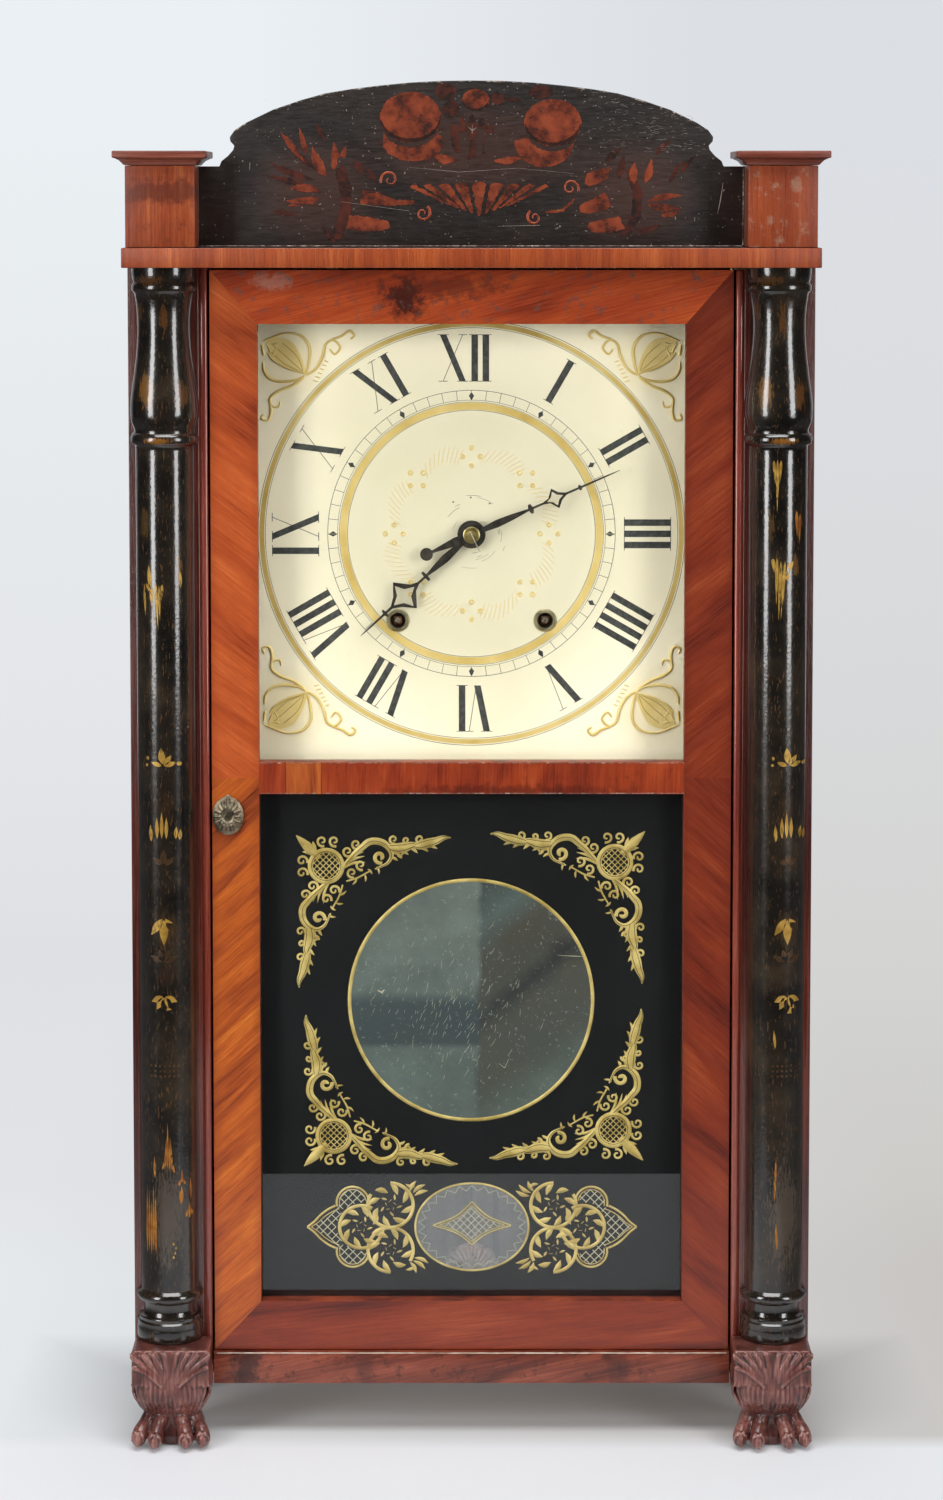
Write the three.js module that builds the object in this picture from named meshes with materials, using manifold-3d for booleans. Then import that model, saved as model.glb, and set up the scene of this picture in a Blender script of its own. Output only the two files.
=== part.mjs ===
// Column and splat shelf clock with a thirty-hour, weight-driven wooden movement.
// Millimetres, +Z up, the front looks towards -Y, and the floor is at zero height.
// "Depth" is measured backwards from the front face of the case's stiles.

import * as THREE from "three";
import { mergeVertices } from "three/addons/utils/BufferGeometryUtils.js";
import Module from "manifold-3d";

const wasm = await Module();
wasm.setup();

// Clearances and cuts
const GAP = 0.3;
const OVERRUN = 2;

// Case
const CASE_HALF_WIDTH = 222.3;
const CASE_LIFT = 41.7;
const STILE_WIDTH = 51.3;
const STILE_THICKNESS = 18;
const STILE_BEAD_WIDTH = 5;
const STILE_BEAD_RISE = 1.4;
const STILE_BEAD_QUIRK = 0.8;
const SIDE_THICKNESS = 12.7;
const BACKBOARD_THICKNESS = 8;
const BACK_ROOM = 12;
const HEAD_ROOM = 24.7;
const BOTTOM_BOARD_THICKNESS = 12.7;
const BASE_RAIL_HEIGHT = 20.7;
const BASE_RAIL_REACH = 5;
const BASE_RAIL_DROP = 7.7;

// Top board with its pulley slots
const TOP_BOARD_THICKNESS = 12.7;
const TOP_BOARD_REACH = 34;
const TOP_BOARD_OVERHANG = 0.7;

// Splat, corner plinths and their caps
const PLINTH_WIDTH = 44.3;
const PLINTH_DEPTH = 50;
const PLINTH_HEIGHT = 52;
const PLINTH_REACH = 33;
const PLINTH_INSET = 2;
const CAP_HEIGHT = 9;
const CAP_OVERHANG = 7.5;
const SPLAT_RISE = 55;
const SPLAT_LOBE_INSET = 21;
const SPLAT_THICKNESS = 9;
const SPLAT_REACH = 3;

// Half columns
const COLUMN_RADIUS = 19.1;
const COLUMN_INSET = 23.5;
const CAPITAL_HEIGHT = 116;
const COLUMN_BASE_HEIGHT = 34;
const COLUMN_SIDES = 24;

// Paw feet and turned rear feet
const FOOT_WIDTH = 52.2;
const FOOT_BLOCK_RISE = 23.2;
const FOOT_REACH = 41.5;
const FOOT_BLOCK_REACH = 33;
const FOOT_TAIL = 22;
const TOE_RADIUS = 7.2;
const REAR_FOOT_RADIUS = 19;
const REAR_FOOT_SIDE_INSET = 24.3;
const REAR_FOOT_BACK_INSET = 30;

// Door
const DOOR_SIDE_GAP = 1.6;
const DOOR_FOOT_GAP = 1;
const DOOR_HEAD_GAP = 2.1;
const DOOR_STILE_WIDTH = 30.6;
const TOP_RAIL_HEIGHT = 34.8;
const MIDDLE_RAIL_HEIGHT = 21;
const BOTTOM_RAIL_HEIGHT = 32.4;
const TABLET_HEIGHT = 338.3;
const RABBET_WIDTH = 6;
const RABBET_DEPTH = 11;
const GLASS_THICKNESS = 2;
const HINGE_INSET = 1.4;
const HINGE_WIRE_RADIUS = 0.7;
const HINGE_PIN_LENGTH = 20;
const HINGE_TAIL = 6;
const KNOB_WIDTH = 20.8;
const KNOB_HEIGHT = 25.7;
const KNOB_THICKNESS = 4.5;
const KNOB_HEIGHT_ON_CASE = 370.3;
const KNOB_SHAFT_RADIUS = 1.8;
const LATCH_LENGTH = 18;
const LATCH_WIDTH = 5;
const LATCH_THICKNESS = 2;

// Dial and hands
const DIAL_HALF_WIDTH = 150;
const DIAL_RISE = 151;
const DIAL_DROP = 157;
const DIAL_STAND_BACK = 11;
const DIAL_THICKNESS = 6.5;
const DIAL_HOLE_ROOM = 1;
const EYELET_FLANGE_WIDTH = 1.8;
const EYELET_WALL = 0.7;
const EYELET_BORE_RADIUS = 5.2;
const EYELET_FLANGE_THICKNESS = 0.8;
const MINUTE_HAND_LENGTH = 106;
const MINUTE_HAND_TAIL = 32.2;
const MINUTE_BALL_RADIUS = 4.3;
const MINUTE_BOSS_RADIUS = 7.4;
const MINUTE_HAND_ANGLE = 66.4;
const HOUR_HAND_LENGTH = 99;
const HOUR_BOSS_RADIUS = 9.3;
const HOUR_HAND_ANGLE = 227.4;
const HAND_THICKNESS = 0.9;
const HAND_SPACING = 2.4;
const HAND_STAND_OFF = 7;
const COLLAR_RADIUS = 5.2;
const COLLAR_THICKNESS = 1.3;
const HOUR_PIPE_WALL = 1.7;
const HOUR_PIPE_LENGTH = 15;

// Movement plates and arbors
const WINDING_SPREAD = 97;
const WINDING_DROP = 57.3;
const PLATE_THICKNESS = 6;
const PLATE_SPACING = 39;
const PLATE_MARGIN = 3.4;
const PLATE_HEAD_MARGIN = 20;
const PILLAR_RADIUS = 4.5;
const CHUTE_BOARD_THICKNESS = 6.5;
const CORD_WINDOW_HEIGHT = 42;
const CORD_WINDOW_WIDTH = 14;
const DRUM_RADIUS = 11;
const DRUM_FLANGE_RADIUS = 14;
const WINDING_ARBOR_RADIUS = 3;
const WINDING_SQUARE = 4.6;
const WINDING_SQUARE_RECESS = 2.4;
const PIPE_WALL = 1.7;
const ARBOR_RADIUS = 2;
const FINE_ARBOR_RADIUS = 1.5;
const PIVOT_REACH = 4.7;
const GREAT_TEETH = 48;
const STRIKE_GREAT_TEETH = 52;
const SECOND_TEETH = 48;
const THIRD_TEETH = 52;
const CENTRE_TEETH = 72;
const COUNT_TEETH = 78;
const COUNT_PINION_LEAVES = 26;
const PINION_LEAVES = 8;
const ESCAPE_TEETH = 40;
const ESCAPE_RADIUS = 20;
const ESCAPE_TOOTH = 3;
const ESCAPE_THICKNESS = 1.2;
const FRONT_WORK_GAP = 3;
const COUNT_WHEEL_THICKNESS = 3;

// Verge and pendulum
const VERGE_ROOM = 6;
const VERGE_WIDTH = 1.8;
const CRUTCH_LENGTH = 34;
const CRUTCH_THICKNESS = 1.2;
const CRUTCH_ROOM = 1.1;
const ESCAPE_ROOM = 1.6;
const STUD_RISE = 16;
const STUD_RADIUS = 2.5;
const PENDULUM_ROOM = 2;
const PENDULUM_WIRE = 1.4;
const PENDULUM_LENGTH = 575;
const PENDULUM_BOW = 13;
const PENDULUM_BOW_HALF_HEIGHT = 24;
const PENDULUM_END = 31;
const BOB_RISE = 55.3;
const BOB_RADIUS = 19;
const BOB_THICKNESS = 10;

// Strike work
const LIFT_PIN_RADIUS = 1.2;
const FLY_RADIUS = 17.5;
const FLY_THICKNESS = 1.2;
const HAMMER_ARM_WIDTH = 3;
const HAMMER_HEAD_RADIUS = 6;
const HAMMER_HEAD_LENGTH = 10;
const BELL_RADIUS = 34;
const BELL_DEPTH = 22;
const BELL_WALL = 2.2;
const BELL_POST_RADIUS = 4;
const BELL_X = -7;
const BELL_DROP = 155.4;
const STRIKE_ANGLE = 160.5;

// Weights, cords and pulleys
const WEIGHT_RADIUS = 23;
const WEIGHT_HEIGHT = 105;
const WEIGHT_NECK_RADIUS = 5;
const WEIGHT_NECK_HEIGHT = 6;
const WEIGHT_EYE_RADIUS = 6;
const WEIGHT_EYE_WIRE = 1.6;
const CORD_RADIUS = 1;
const PULLEY_PITCH_RADIUS = 7.5;
const PULLEY_FLANGE = 1.5;
const PULLEY_THICKNESS = 6.4;
const PULLEY_AXLE_RADIUS = 1;
const PULLEY_AXLE_LENGTH = 22;

// Finishes
const finish = (color, roughness, metalness = 0) =>
  new THREE.MeshStandardMaterial({ color, roughness, metalness });
const MAHOGANY = finish("#9c4526", 0.35);
const DARK_MAHOGANY = finish("#4a231d", 0.35);
const PINE = finish("#b98d5c", 0.75);
const OAK = finish("#a9804e", 0.7);
const CHERRY = finish("#8e5230", 0.65);
const BLACK_LACQUER = finish("#1f1b19", 0.2);
const CARVED_WOOD = finish("#5c312a", 0.3);
const DIAL_PAINT = finish("#eee8ce", 0.6);
const CLEAR_GLASS = finish("#dfe8e4", 0.05);
const TABLET_GLASS = finish("#17181a", 0.08);
const BRASS = finish("#b39653", 0.35, 1);
const OLD_BRASS = finish("#a59c8b", 0.45, 1);
const BRONZED_STEEL = finish("#4b4845", 0.45, 1);
const IRON = finish("#3a3836", 0.7, 1);
const LINEN = finish("#b7a88a", 0.9);

// Arbor places, as shares of the winding arbors' half spread and of their drop below the dial centre
const TIME_DRUM_SHARES = [1, -1];
const SECOND_SHARES = [0.895, -0.272];
const THIRD_SHARES = [0.635, 0.325];
const ESCAPE_SHARES = [0, 0.628];
const CENTRE_SHARES = [0, 0];
const STRIKE_DRUM_SHARES = [-1, -1];
const PIN_WHEEL_SHARES = [-0.895, -0.272];
const FLY_SHARES = [-1.196, 0.314];
const COUNT_SHARES = [-1.072, -0.375];
const HAMMER_SHARES = [-0.165, -1.379];

// Depths, from the door back to the backboard
const DOOR_THICKNESS = STILE_THICKNESS;
const DIAL_DEPTH = DOOR_THICKNESS + DIAL_STAND_BACK;
const MINUTE_HAND_DEPTH = DIAL_DEPTH - HAND_STAND_OFF;
const PENDULUM_DEPTH = DIAL_DEPTH + DIAL_THICKNESS + PENDULUM_ROOM;
const CRUTCH_DEPTH = PENDULUM_DEPTH + PENDULUM_WIRE + CRUTCH_ROOM;
const ESCAPE_DEPTH = CRUTCH_DEPTH + CRUTCH_THICKNESS + ESCAPE_ROOM;
const PLATE_DEPTH = ESCAPE_DEPTH + ESCAPE_THICKNESS + FRONT_WORK_GAP;
const PLATE_INNER_DEPTH = PLATE_DEPTH + PLATE_THICKNESS;
const BACK_PLATE_DEPTH = PLATE_INNER_DEPTH + PLATE_SPACING;
const BACKBOARD_DEPTH = BACK_PLATE_DEPTH + PLATE_THICKNESS + BACK_ROOM;
const CASE_DEPTH = BACKBOARD_DEPTH + BACKBOARD_THICKNESS;
const FACE_Y = (FOOT_REACH - CASE_DEPTH) / 2;

// Levels, from the pendulum's bob up to the dial and the top of the case
const STUD_Z = CASE_LIFT + BOB_RISE + PENDULUM_LENGTH;
const VERGE_Z = STUD_Z - STUD_RISE;
const ESCAPE_Z = VERGE_Z - VERGE_ROOM - ESCAPE_RADIUS;
const DIAL_Z = ESCAPE_Z - ESCAPE_SHARES[1] * WINDING_DROP;
const CASE_TOP = DIAL_Z + DIAL_RISE + HEAD_ROOM;
const CASE_HEIGHT = CASE_TOP - CASE_LIFT;
const BOARD_TOP = CASE_TOP + GAP + TOP_BOARD_THICKNESS;
const STILE_INNER = CASE_HALF_WIDTH - STILE_WIDTH;
const SIDE_INNER = CASE_HALF_WIDTH - SIDE_THICKNESS;
const FLOOR_TOP = CASE_LIFT + BOTTOM_BOARD_THICKNESS;
const FOOT_CENTRE = CASE_HALF_WIDTH + GAP - FOOT_WIDTH / 2;
const FOOT_TOP = CASE_LIFT + FOOT_BLOCK_RISE;
const PIVOT_FRONT = PLATE_INNER_DEPTH - PIVOT_REACH;
const PIVOT_BACK = BACK_PLATE_DEPTH + PIVOT_REACH;
const SIDES = [["left", -1], ["right", 1]];

const ascending = (a, b) => a - b;
const behind = (depth) => FACE_Y + depth;
const between = (share) => PLATE_INNER_DEPTH + share * PLATE_SPACING;

const clock = new THREE.Group();

function place(name, geometry, material, x = 0, y = 0, z = 0, parent = clock) {
  const mesh = new THREE.Mesh(geometry, material);
  mesh.name = name;
  mesh.position.set(x, y, z);
  parent.add(mesh);
  return mesh;
}

// Solids: closed geometry in and out of the boolean library

function solid(geometry) {
  const bare = geometry.index ? geometry.toNonIndexed() : geometry.clone();
  bare.deleteAttribute("normal");
  bare.deleteAttribute("uv");
  const merged = mergeVertices(bare);
  const triVerts = new Uint32Array(merged.index.array);
  const vertProperties = merged.attributes.position.array;
  return new wasm.Manifold(new wasm.Mesh({ numProp: 3, vertProperties, triVerts }));
}

function shapeOf(manifold) {
  const mesh = manifold.getMesh();
  const geometry = new THREE.BufferGeometry();
  geometry.setAttribute("position", new THREE.BufferAttribute(mesh.vertProperties, 3));
  geometry.setIndex(new THREE.BufferAttribute(mesh.triVerts, 1));
  geometry.computeVertexNormals();
  return geometry;
}

const join = (...pieces) => shapeOf(pieces.map(solid).reduce((a, b) => a.add(b)));
const cut = (body, ...tools) =>
  shapeOf(tools.map(solid).reduce((a, b) => a.subtract(b), solid(body)));

// Plain shapes, in the case's own directions

function block(x0, x1, depth0, depth1, z0, z1) {
  const geometry = new THREE.BoxGeometry(x1 - x0, depth1 - depth0, z1 - z0);
  return geometry.translate((x0 + x1) / 2, behind((depth0 + depth1) / 2), (z0 + z1) / 2);
}

// A flat shape drawn in X and Z, running back from depth0 to depth1.
function panel(shape, depth0, depth1) {
  const geometry = new THREE.ExtrudeGeometry(shape, {
    depth: depth1 - depth0,
    bevelEnabled: false,
  });
  return geometry.rotateX(Math.PI / 2).translate(0, behind(depth1), 0);
}

// A shape drawn in depth and Z, running from x0 to x1.
function rail(shape, x0, x1) {
  const geometry = new THREE.ExtrudeGeometry(shape, { depth: x1 - x0, bevelEnabled: false });
  const turn = new THREE.Matrix4().makeBasis(
    new THREE.Vector3(0, 1, 0),
    new THREE.Vector3(0, 0, 1),
    new THREE.Vector3(1, 0, 0),
  );
  return geometry.applyMatrix4(turn).translate(x0, behind(0), 0);
}

// A round bar along the depth.
function bar(x, z, radius, depth0, depth1, sides = 12) {
  const geometry = new THREE.CylinderGeometry(radius, radius, depth1 - depth0, sides);
  return geometry.translate(x, behind((depth0 + depth1) / 2), z);
}

// A turned body about a line along the depth, from [radius, depth] pairs.
function turnedBack(profile, x, z, sides) {
  const points = profile.map(([radius, depth]) => new THREE.Vector2(radius, depth));
  return new THREE.LatheGeometry(points, sides).translate(x, behind(0), z);
}

// A turned body about a vertical line, from [radius, height] pairs.
function turnedUp(profile, sides) {
  const points = profile.map(([radius, height]) => new THREE.Vector2(radius, -height));
  points.reverse();
  return new THREE.LatheGeometry(points, sides).rotateX(-Math.PI / 2);
}

// A skin over rings of equal count, closed by a flat face at each end.
function loft(rings) {
  const count = rings[0].length;
  const index = [];
  for (let ring = 0; ring + 1 < rings.length; ring += 1) {
    for (let i = 0; i < count; i += 1) {
      const next = (i + 1) % count;
      const low = ring * count;
      const high = low + count;
      index.push(low + i, low + next, high + next, low + i, high + next, high + i);
    }
  }
  const last = (rings.length - 1) * count;
  for (let i = 1; i + 1 < count; i += 1) {
    index.push(0, i + 1, i, last, last + i, last + i + 1);
  }
  const geometry = new THREE.BufferGeometry();
  geometry.setAttribute("position", new THREE.Float32BufferAttribute(rings.flat(2), 3));
  geometry.setIndex(index);
  return geometry;
}

function polygon(points) {
  return new THREE.Shape(points.map(([x, z]) => new THREE.Vector2(x, z)));
}

function circle(x, z, radius, sides = 12) {
  const turn = (i) => (2 * Math.PI * (i + 0.5)) / sides;
  const around = Array.from({ length: sides }, (_, i) => i);
  return around.map((i) => [x + radius * Math.cos(turn(i)), z + radius * Math.sin(turn(i))]);
}

function pierce(shape, outline) {
  shape.holes.push(new THREE.Path(outline.map(([x, z]) => new THREE.Vector2(x, z))));
  return shape;
}

const rectangle = (x0, x1, z0, z1) => [[x0, z0], [x1, z0], [x1, z1], [x0, z1]];

// A strip of even width along a chain of points, with mitred corners.
function strip(points, width) {
  const normals = points.slice(1).map(([x, z], i) => {
    const [dx, dz] = [x - points[i][0], z - points[i][1]];
    const length = Math.hypot(dx, dz);
    return [-dz / length, dx / length];
  });
  const edge = (side) =>
    points.map(([x, z], i) => {
      const a = normals[Math.max(i - 1, 0)];
      const b = normals[Math.min(i, normals.length - 1)];
      const [mx, mz] = [a[0] + b[0], a[1] + b[1]];
      const reach = (side * width) / (mx * mx + mz * mz);
      return [x + mx * reach, z + mz * reach];
    });
  return polygon([...edge(-1), ...edge(1).reverse()]);
}

// Case: boards, stiles and base rail

function makeCase() {
  place(
    "backboard",
    block(-CASE_HALF_WIDTH, CASE_HALF_WIDTH, BACKBOARD_DEPTH, CASE_DEPTH, CASE_LIFT, CASE_TOP),
    PINE,
  );
  const sideFront = STILE_THICKNESS + GAP;
  const sideBack = BACKBOARD_DEPTH - GAP;
  const bottomHalf = SIDE_INNER - GAP;
  place(
    "bottom_board",
    block(-bottomHalf, bottomHalf, sideFront, sideBack, CASE_LIFT, FLOOR_TOP),
    PINE,
  );
  const railHalf = FOOT_CENTRE - FOOT_WIDTH / 2 - GAP;
  const railTop = FLOOR_TOP + GAP;
  place(
    "base_rail",
    cut(
      block(-railHalf, railHalf, -BASE_RAIL_REACH, STILE_THICKNESS, railTop - BASE_RAIL_HEIGHT, railTop),
      hingeBore(railTop - HINGE_PIN_LENGTH / 2 - GAP, railTop + OVERRUN),
    ),
    MAHOGANY,
  );
  for (const [word, side] of SIDES) {
    const [inner, outer] = [SIDE_INNER, CASE_HALF_WIDTH].map((x) => side * x).sort(ascending);
    place(`side_${word}`, block(inner, outer, sideFront, sideBack, CASE_LIFT, CASE_TOP), MAHOGANY);
    place(`stile_${word}`, stile(side), DARK_MAHOGANY);
  }
}

// A front stile: a flat board with a flush bead and its quirk run along the inner edge.
function stile(side) {
  const beadSteps = 6;
  const bead = Array.from({ length: beadSteps + 1 }, (_, i) => {
    const turn = (Math.PI * i) / beadSteps;
    const x = STILE_INNER + (STILE_BEAD_WIDTH * (1 - Math.cos(turn))) / 2;
    return [side * x, behind(STILE_BEAD_RISE * (1 - Math.sin(turn)))];
  });
  const outline = [
    ...bead,
    [side * (STILE_INNER + STILE_BEAD_WIDTH + STILE_BEAD_QUIRK), FACE_Y],
    [side * CASE_HALF_WIDTH, FACE_Y],
    [side * CASE_HALF_WIDTH, behind(STILE_THICKNESS)],
    [side * STILE_INNER, behind(STILE_THICKNESS)],
  ];
  const shape = polygon(outline);
  const geometry = new THREE.ExtrudeGeometry(shape, { depth: CASE_HEIGHT, bevelEnabled: false });
  geometry.translate(0, 0, CASE_LIFT);
  if (side < 0) return geometry;
  const wireRoom = HINGE_WIRE_RADIUS + GAP;
  const slotEnd = STILE_INNER + HINGE_TAIL + GAP;
  return cut(
    geometry,
    block(
      STILE_INNER - OVERRUN,
      slotEnd,
      -OVERRUN,
      HINGE_INSET + wireRoom,
      CASE_TOP - DOOR_HEAD_GAP,
      CASE_TOP + OVERRUN,
    ),
  );
}

// Top board, plinths, caps and splat

function makeTop() {
  const half = CASE_HALF_WIDTH + TOP_BOARD_OVERHANG;
  const slotHalfLength = PULLEY_RADIUS + CORD_RADIUS + GAP;
  const slotHalfWidth = PULLEY_THICKNESS / 2 + 2 * GAP;
  const axleHalf = PULLEY_AXLE_LENGTH / 2 + GAP;
  const axleRoom = PULLEY_AXLE_RADIUS + GAP;
  const cuts = SIDES.flatMap(([, side]) => {
    const x = side * PULLEY_X;
    return [
      block(
        x - slotHalfLength,
        x + slotHalfLength,
        CORD_DEPTH - slotHalfWidth,
        CORD_DEPTH + slotHalfWidth,
        CASE_TOP - OVERRUN,
        BOARD_TOP + OVERRUN,
      ),
      block(
        x - axleRoom,
        x + axleRoom,
        CORD_DEPTH - axleHalf,
        CORD_DEPTH + axleHalf,
        PULLEY_Z - axleRoom,
        BOARD_TOP + OVERRUN,
      ),
    ];
  });
  const board = block(-half, half, -TOP_BOARD_REACH, CASE_DEPTH, CASE_TOP + GAP, BOARD_TOP);
  place("top_board", cut(board, ...cuts), MAHOGANY);

  const plinthZ = BOARD_TOP + GAP;
  const plinthX = CASE_HALF_WIDTH - PLINTH_INSET - PLINTH_WIDTH / 2;
  const plinthY = behind(PLINTH_DEPTH / 2 - PLINTH_REACH);
  for (const [word, side] of SIDES) {
    const body = new THREE.BoxGeometry(PLINTH_WIDTH, PLINTH_DEPTH, PLINTH_HEIGHT);
    place(`plinth_${word}`, body, MAHOGANY, side * plinthX, plinthY, plinthZ + PLINTH_HEIGHT / 2);
    const capZ = plinthZ + PLINTH_HEIGHT + GAP;
    place(`cap_${word}`, cap(), DARK_MAHOGANY, side * plinthX, plinthY, capZ);
  }
  place("splat", splat(plinthX - PLINTH_WIDTH / 2 - GAP, plinthZ), BLACK_LACQUER);
}

// A cap: a cove that opens from the plinth to a square-edged rim.
function cap() {
  const CAP_PROFILE_SHARES = [[0, 0.1], [0.12, 0.2], [0.34, 0.46], [0.48, 0.8], [0.52, 1], [0.94, 1], [1, 0.94]];
  const rings = CAP_PROFILE_SHARES.map(([rise, spread]) => {
    const x = PLINTH_WIDTH / 2 + spread * CAP_OVERHANG;
    const y = PLINTH_DEPTH / 2 + spread * CAP_OVERHANG;
    const z = rise * CAP_HEIGHT;
    return [[-x, -y, z], [x, -y, z], [x, y, z], [-x, y, z]];
  });
  return loft(rings);
}

// The splat: a low arch that falls in three lobes to a notch and a shoulder at each plinth.
function splat(half, floor) {
  const shoulder = PLINTH_HEIGHT - GAP;
  const top = PLINTH_HEIGHT + SPLAT_RISE - GAP;
  const lobe = half - SPLAT_LOBE_INSET;
  const SHOULDER_SHARE = 0.36;
  const NECK_SHARES = [[0.3, 0.06], [0.1, 0.12], [-0.06, 0.19], [-0.1, 0.24], [0.02, 0.29], [0.04, 0.34]];
  const ARCH_SHARES = [
    [0.985, 0.42],
    [0.936, 0.51],
    [0.825, 0.66],
    [0.71, 0.77],
    [0.608, 0.85],
    [0.5, 0.9],
    [0.385, 0.94],
    [0.26, 0.975],
    [0.13, 0.995],
  ];
  const rise = top - shoulder;
  const right = [
    [half, 0],
    [half, shoulder],
    [lobe + SHOULDER_SHARE * SPLAT_LOBE_INSET, shoulder],
    ...NECK_SHARES.map(([out, up]) => [lobe + out * SPLAT_LOBE_INSET, shoulder + up * rise]),
    ...ARCH_SHARES.map(([out, up]) => [lobe * out, shoulder + up * rise]),
  ];
  const left = right.map(([x, z]) => [-x, z]).reverse();
  const outline = [...right, [0, top], ...left].map(([x, z]) => [x, floor + z]);
  return panel(polygon(outline), -SPLAT_REACH, SPLAT_THICKNESS - SPLAT_REACH);
}

// Half columns: turned whole and split, so the flat lies on the stile

function makeColumns() {
  const bottom = FOOT_TOP + GAP;
  const height = CASE_TOP - bottom;
  const BASE_SHARES = [
    [0, 1.09],
    [0.07, 1.147],
    [0.24, 1.147],
    [0.3, 1.12],
    [0.36, 1.14],
    [0.4, 1.08],
    [0.46, 1.1],
    [0.5, 0.96],
    [0.6, 0.91],
    [0.74, 0.95],
    [0.79, 1.1],
    [0.87, 1.147],
    [0.95, 1.1],
    [1, 1],
  ];
  const CAPITAL_SHARES = [
    [0, 1.01],
    [0.02, 1.13],
    [0.05, 1.162],
    [0.08, 1.07],
    [0.1, 1.04],
    [0.14, 1.13],
    [0.2, 1.167],
    [0.28, 1.15],
    [0.41, 1.03],
    [0.57, 0.92],
    [0.68, 0.895],
    [0.78, 0.93],
    [0.86, 1.0],
    [0.875, 1.09],
    [0.9, 1.09],
    [0.915, 1.035],
    [0.94, 1.08],
    [1, 1.094],
  ];
  const profile = [
    [0, 0],
    ...BASE_SHARES.map(([up, out]) => [out * COLUMN_RADIUS, up * COLUMN_BASE_HEIGHT]),
    ...CAPITAL_SHARES.map(([up, out]) => [
      out * COLUMN_RADIUS,
      height - CAPITAL_HEIGHT * (1 - up),
    ]),
    [0, height],
  ];
  const whole = turnedUp(profile, COLUMN_SIDES);
  const widest = 2 * COLUMN_RADIUS;
  const rear = new THREE.BoxGeometry(2 * widest, widest, height + 2 * OVERRUN);
  rear.translate(0, widest / 2, height / 2);
  const half = cut(whole, rear);
  const columnX = CASE_HALF_WIDTH - COLUMN_INSET;
  for (const [word, side] of SIDES) {
    place(`column_${word}`, half.clone(), BLACK_LACQUER, side * columnX, behind(-GAP), bottom);
  }
}

// Feet: a carved paw under each front corner, a turned foot at each rear corner

function makeFeet() {
  for (const [word, side] of SIDES) {
    place(`paw_foot_${word}`, pawFoot(), CARVED_WOOD, side * FOOT_CENTRE);
    place(
      `rear_foot_${word}`,
      rearFoot(),
      BLACK_LACQUER,
      side * (CASE_HALF_WIDTH - REAR_FOOT_SIDE_INSET),
      behind(CASE_DEPTH - REAR_FOOT_BACK_INSET),
    );
  }
}

function pawFoot() {
  const half = FOOT_WIDTH / 2;
  const legTop = CASE_LIFT - GAP;
  // Height, half width, reach in front and reach behind, each a share of its full size.
  const LEG_SHARES = [
    [0, 0.95, 0.93, 0.7],
    [0.1, 0.99, 0.97, 0.76],
    [0.28, 0.93, 0.93, 0.8],
    [0.46, 0.74, 0.68, 0.82],
    [0.58, 0.69, 0.58, 0.85],
    [0.74, 0.85, 0.7, 0.95],
    [0.88, 0.95, 0.77, 1],
    [1, 0.99, 0.795, 1],
  ];
  const corners = [[1, 0.5], [0.94, 0.8], [0.72, 0.97], [0.4, 1]];
  const ring = ([up, wide, front, back]) => {
    const middle = (back * FOOT_TAIL - front * FOOT_REACH) / 2;
    const reach = (back * FOOT_TAIL + front * FOOT_REACH) / 2;
    const quarter = corners.map(([x, y]) => [x * wide * half, y * reach]);
    const mirrored = quarter.map(([x, y]) => [-x, y]).reverse();
    const rear = [...quarter, ...mirrored];
    const whole = [...rear, ...rear.map(([x, y]) => [-x, -y])];
    return whole.map(([x, y]) => [x, behind(middle + y), up * legTop]);
  };
  const leg = loft(LEG_SHARES.map(ring));
  const cheek = block(-half, half, -FOOT_BLOCK_REACH, -GAP, legTop - OVERRUN, FOOT_TOP);
  const TOE_WIDTH_SHARE = 0.9;
  const TOE_PLACE_SHARES = [[-0.7, 0.86], [-0.25, 1], [0.25, 1], [0.7, 0.86]];
  const toes = TOE_PLACE_SHARES.map(([across, reach]) => {
    const toe = new THREE.SphereGeometry(TOE_RADIUS, 12, 6);
    const length = TOE_RADIUS * (1 + reach);
    toe.rotateX(Math.PI / 2).scale(TOE_WIDTH_SHARE, length / TOE_RADIUS, 1);
    const y = behind(length - FOOT_REACH * reach);
    return toe.translate(across * half, y, TOE_RADIUS);
  });
  return join(leg, cheek, ...toes);
}

function rearFoot() {
  const top = CASE_LIFT - GAP;
  const REAR_FOOT_SHARES = [[0, 0.6], [0.12, 0.84], [0.35, 1], [0.55, 0.94], [0.7, 0.68], [0.78, 0.5], [0.86, 0.74], [1, 0.78]];
  const profile = REAR_FOOT_SHARES.map(([up, out]) => [out * REAR_FOOT_RADIUS, up * top]);
  return turnedUp([[0, 0], ...profile, [0, top]], 16);
}

// Door: a mitred-looking frame round two glasses, hung on wire pins at the right

const DOOR_HALF_WIDTH = STILE_INNER - DOOR_SIDE_GAP;
const DOOR_BOTTOM = FLOOR_TOP + DOOR_FOOT_GAP;
const DOOR_TOP = CASE_TOP + GAP - DOOR_HEAD_GAP;
const DOOR_LIGHT_HALF = DOOR_HALF_WIDTH - DOOR_STILE_WIDTH;
const TABLET_BOTTOM = DOOR_BOTTOM + BOTTOM_RAIL_HEIGHT;
const MIDDLE_RAIL_BOTTOM = TABLET_BOTTOM + TABLET_HEIGHT;
const MIDDLE_RAIL_TOP = MIDDLE_RAIL_BOTTOM + MIDDLE_RAIL_HEIGHT;
const TOP_RAIL_BOTTOM = DOOR_TOP - TOP_RAIL_HEIGHT;
const HINGE_X = DOOR_HALF_WIDTH - HINGE_INSET;
const KNOB_X = -DOOR_HALF_WIDTH + KNOB_WIDTH / 2;
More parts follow.
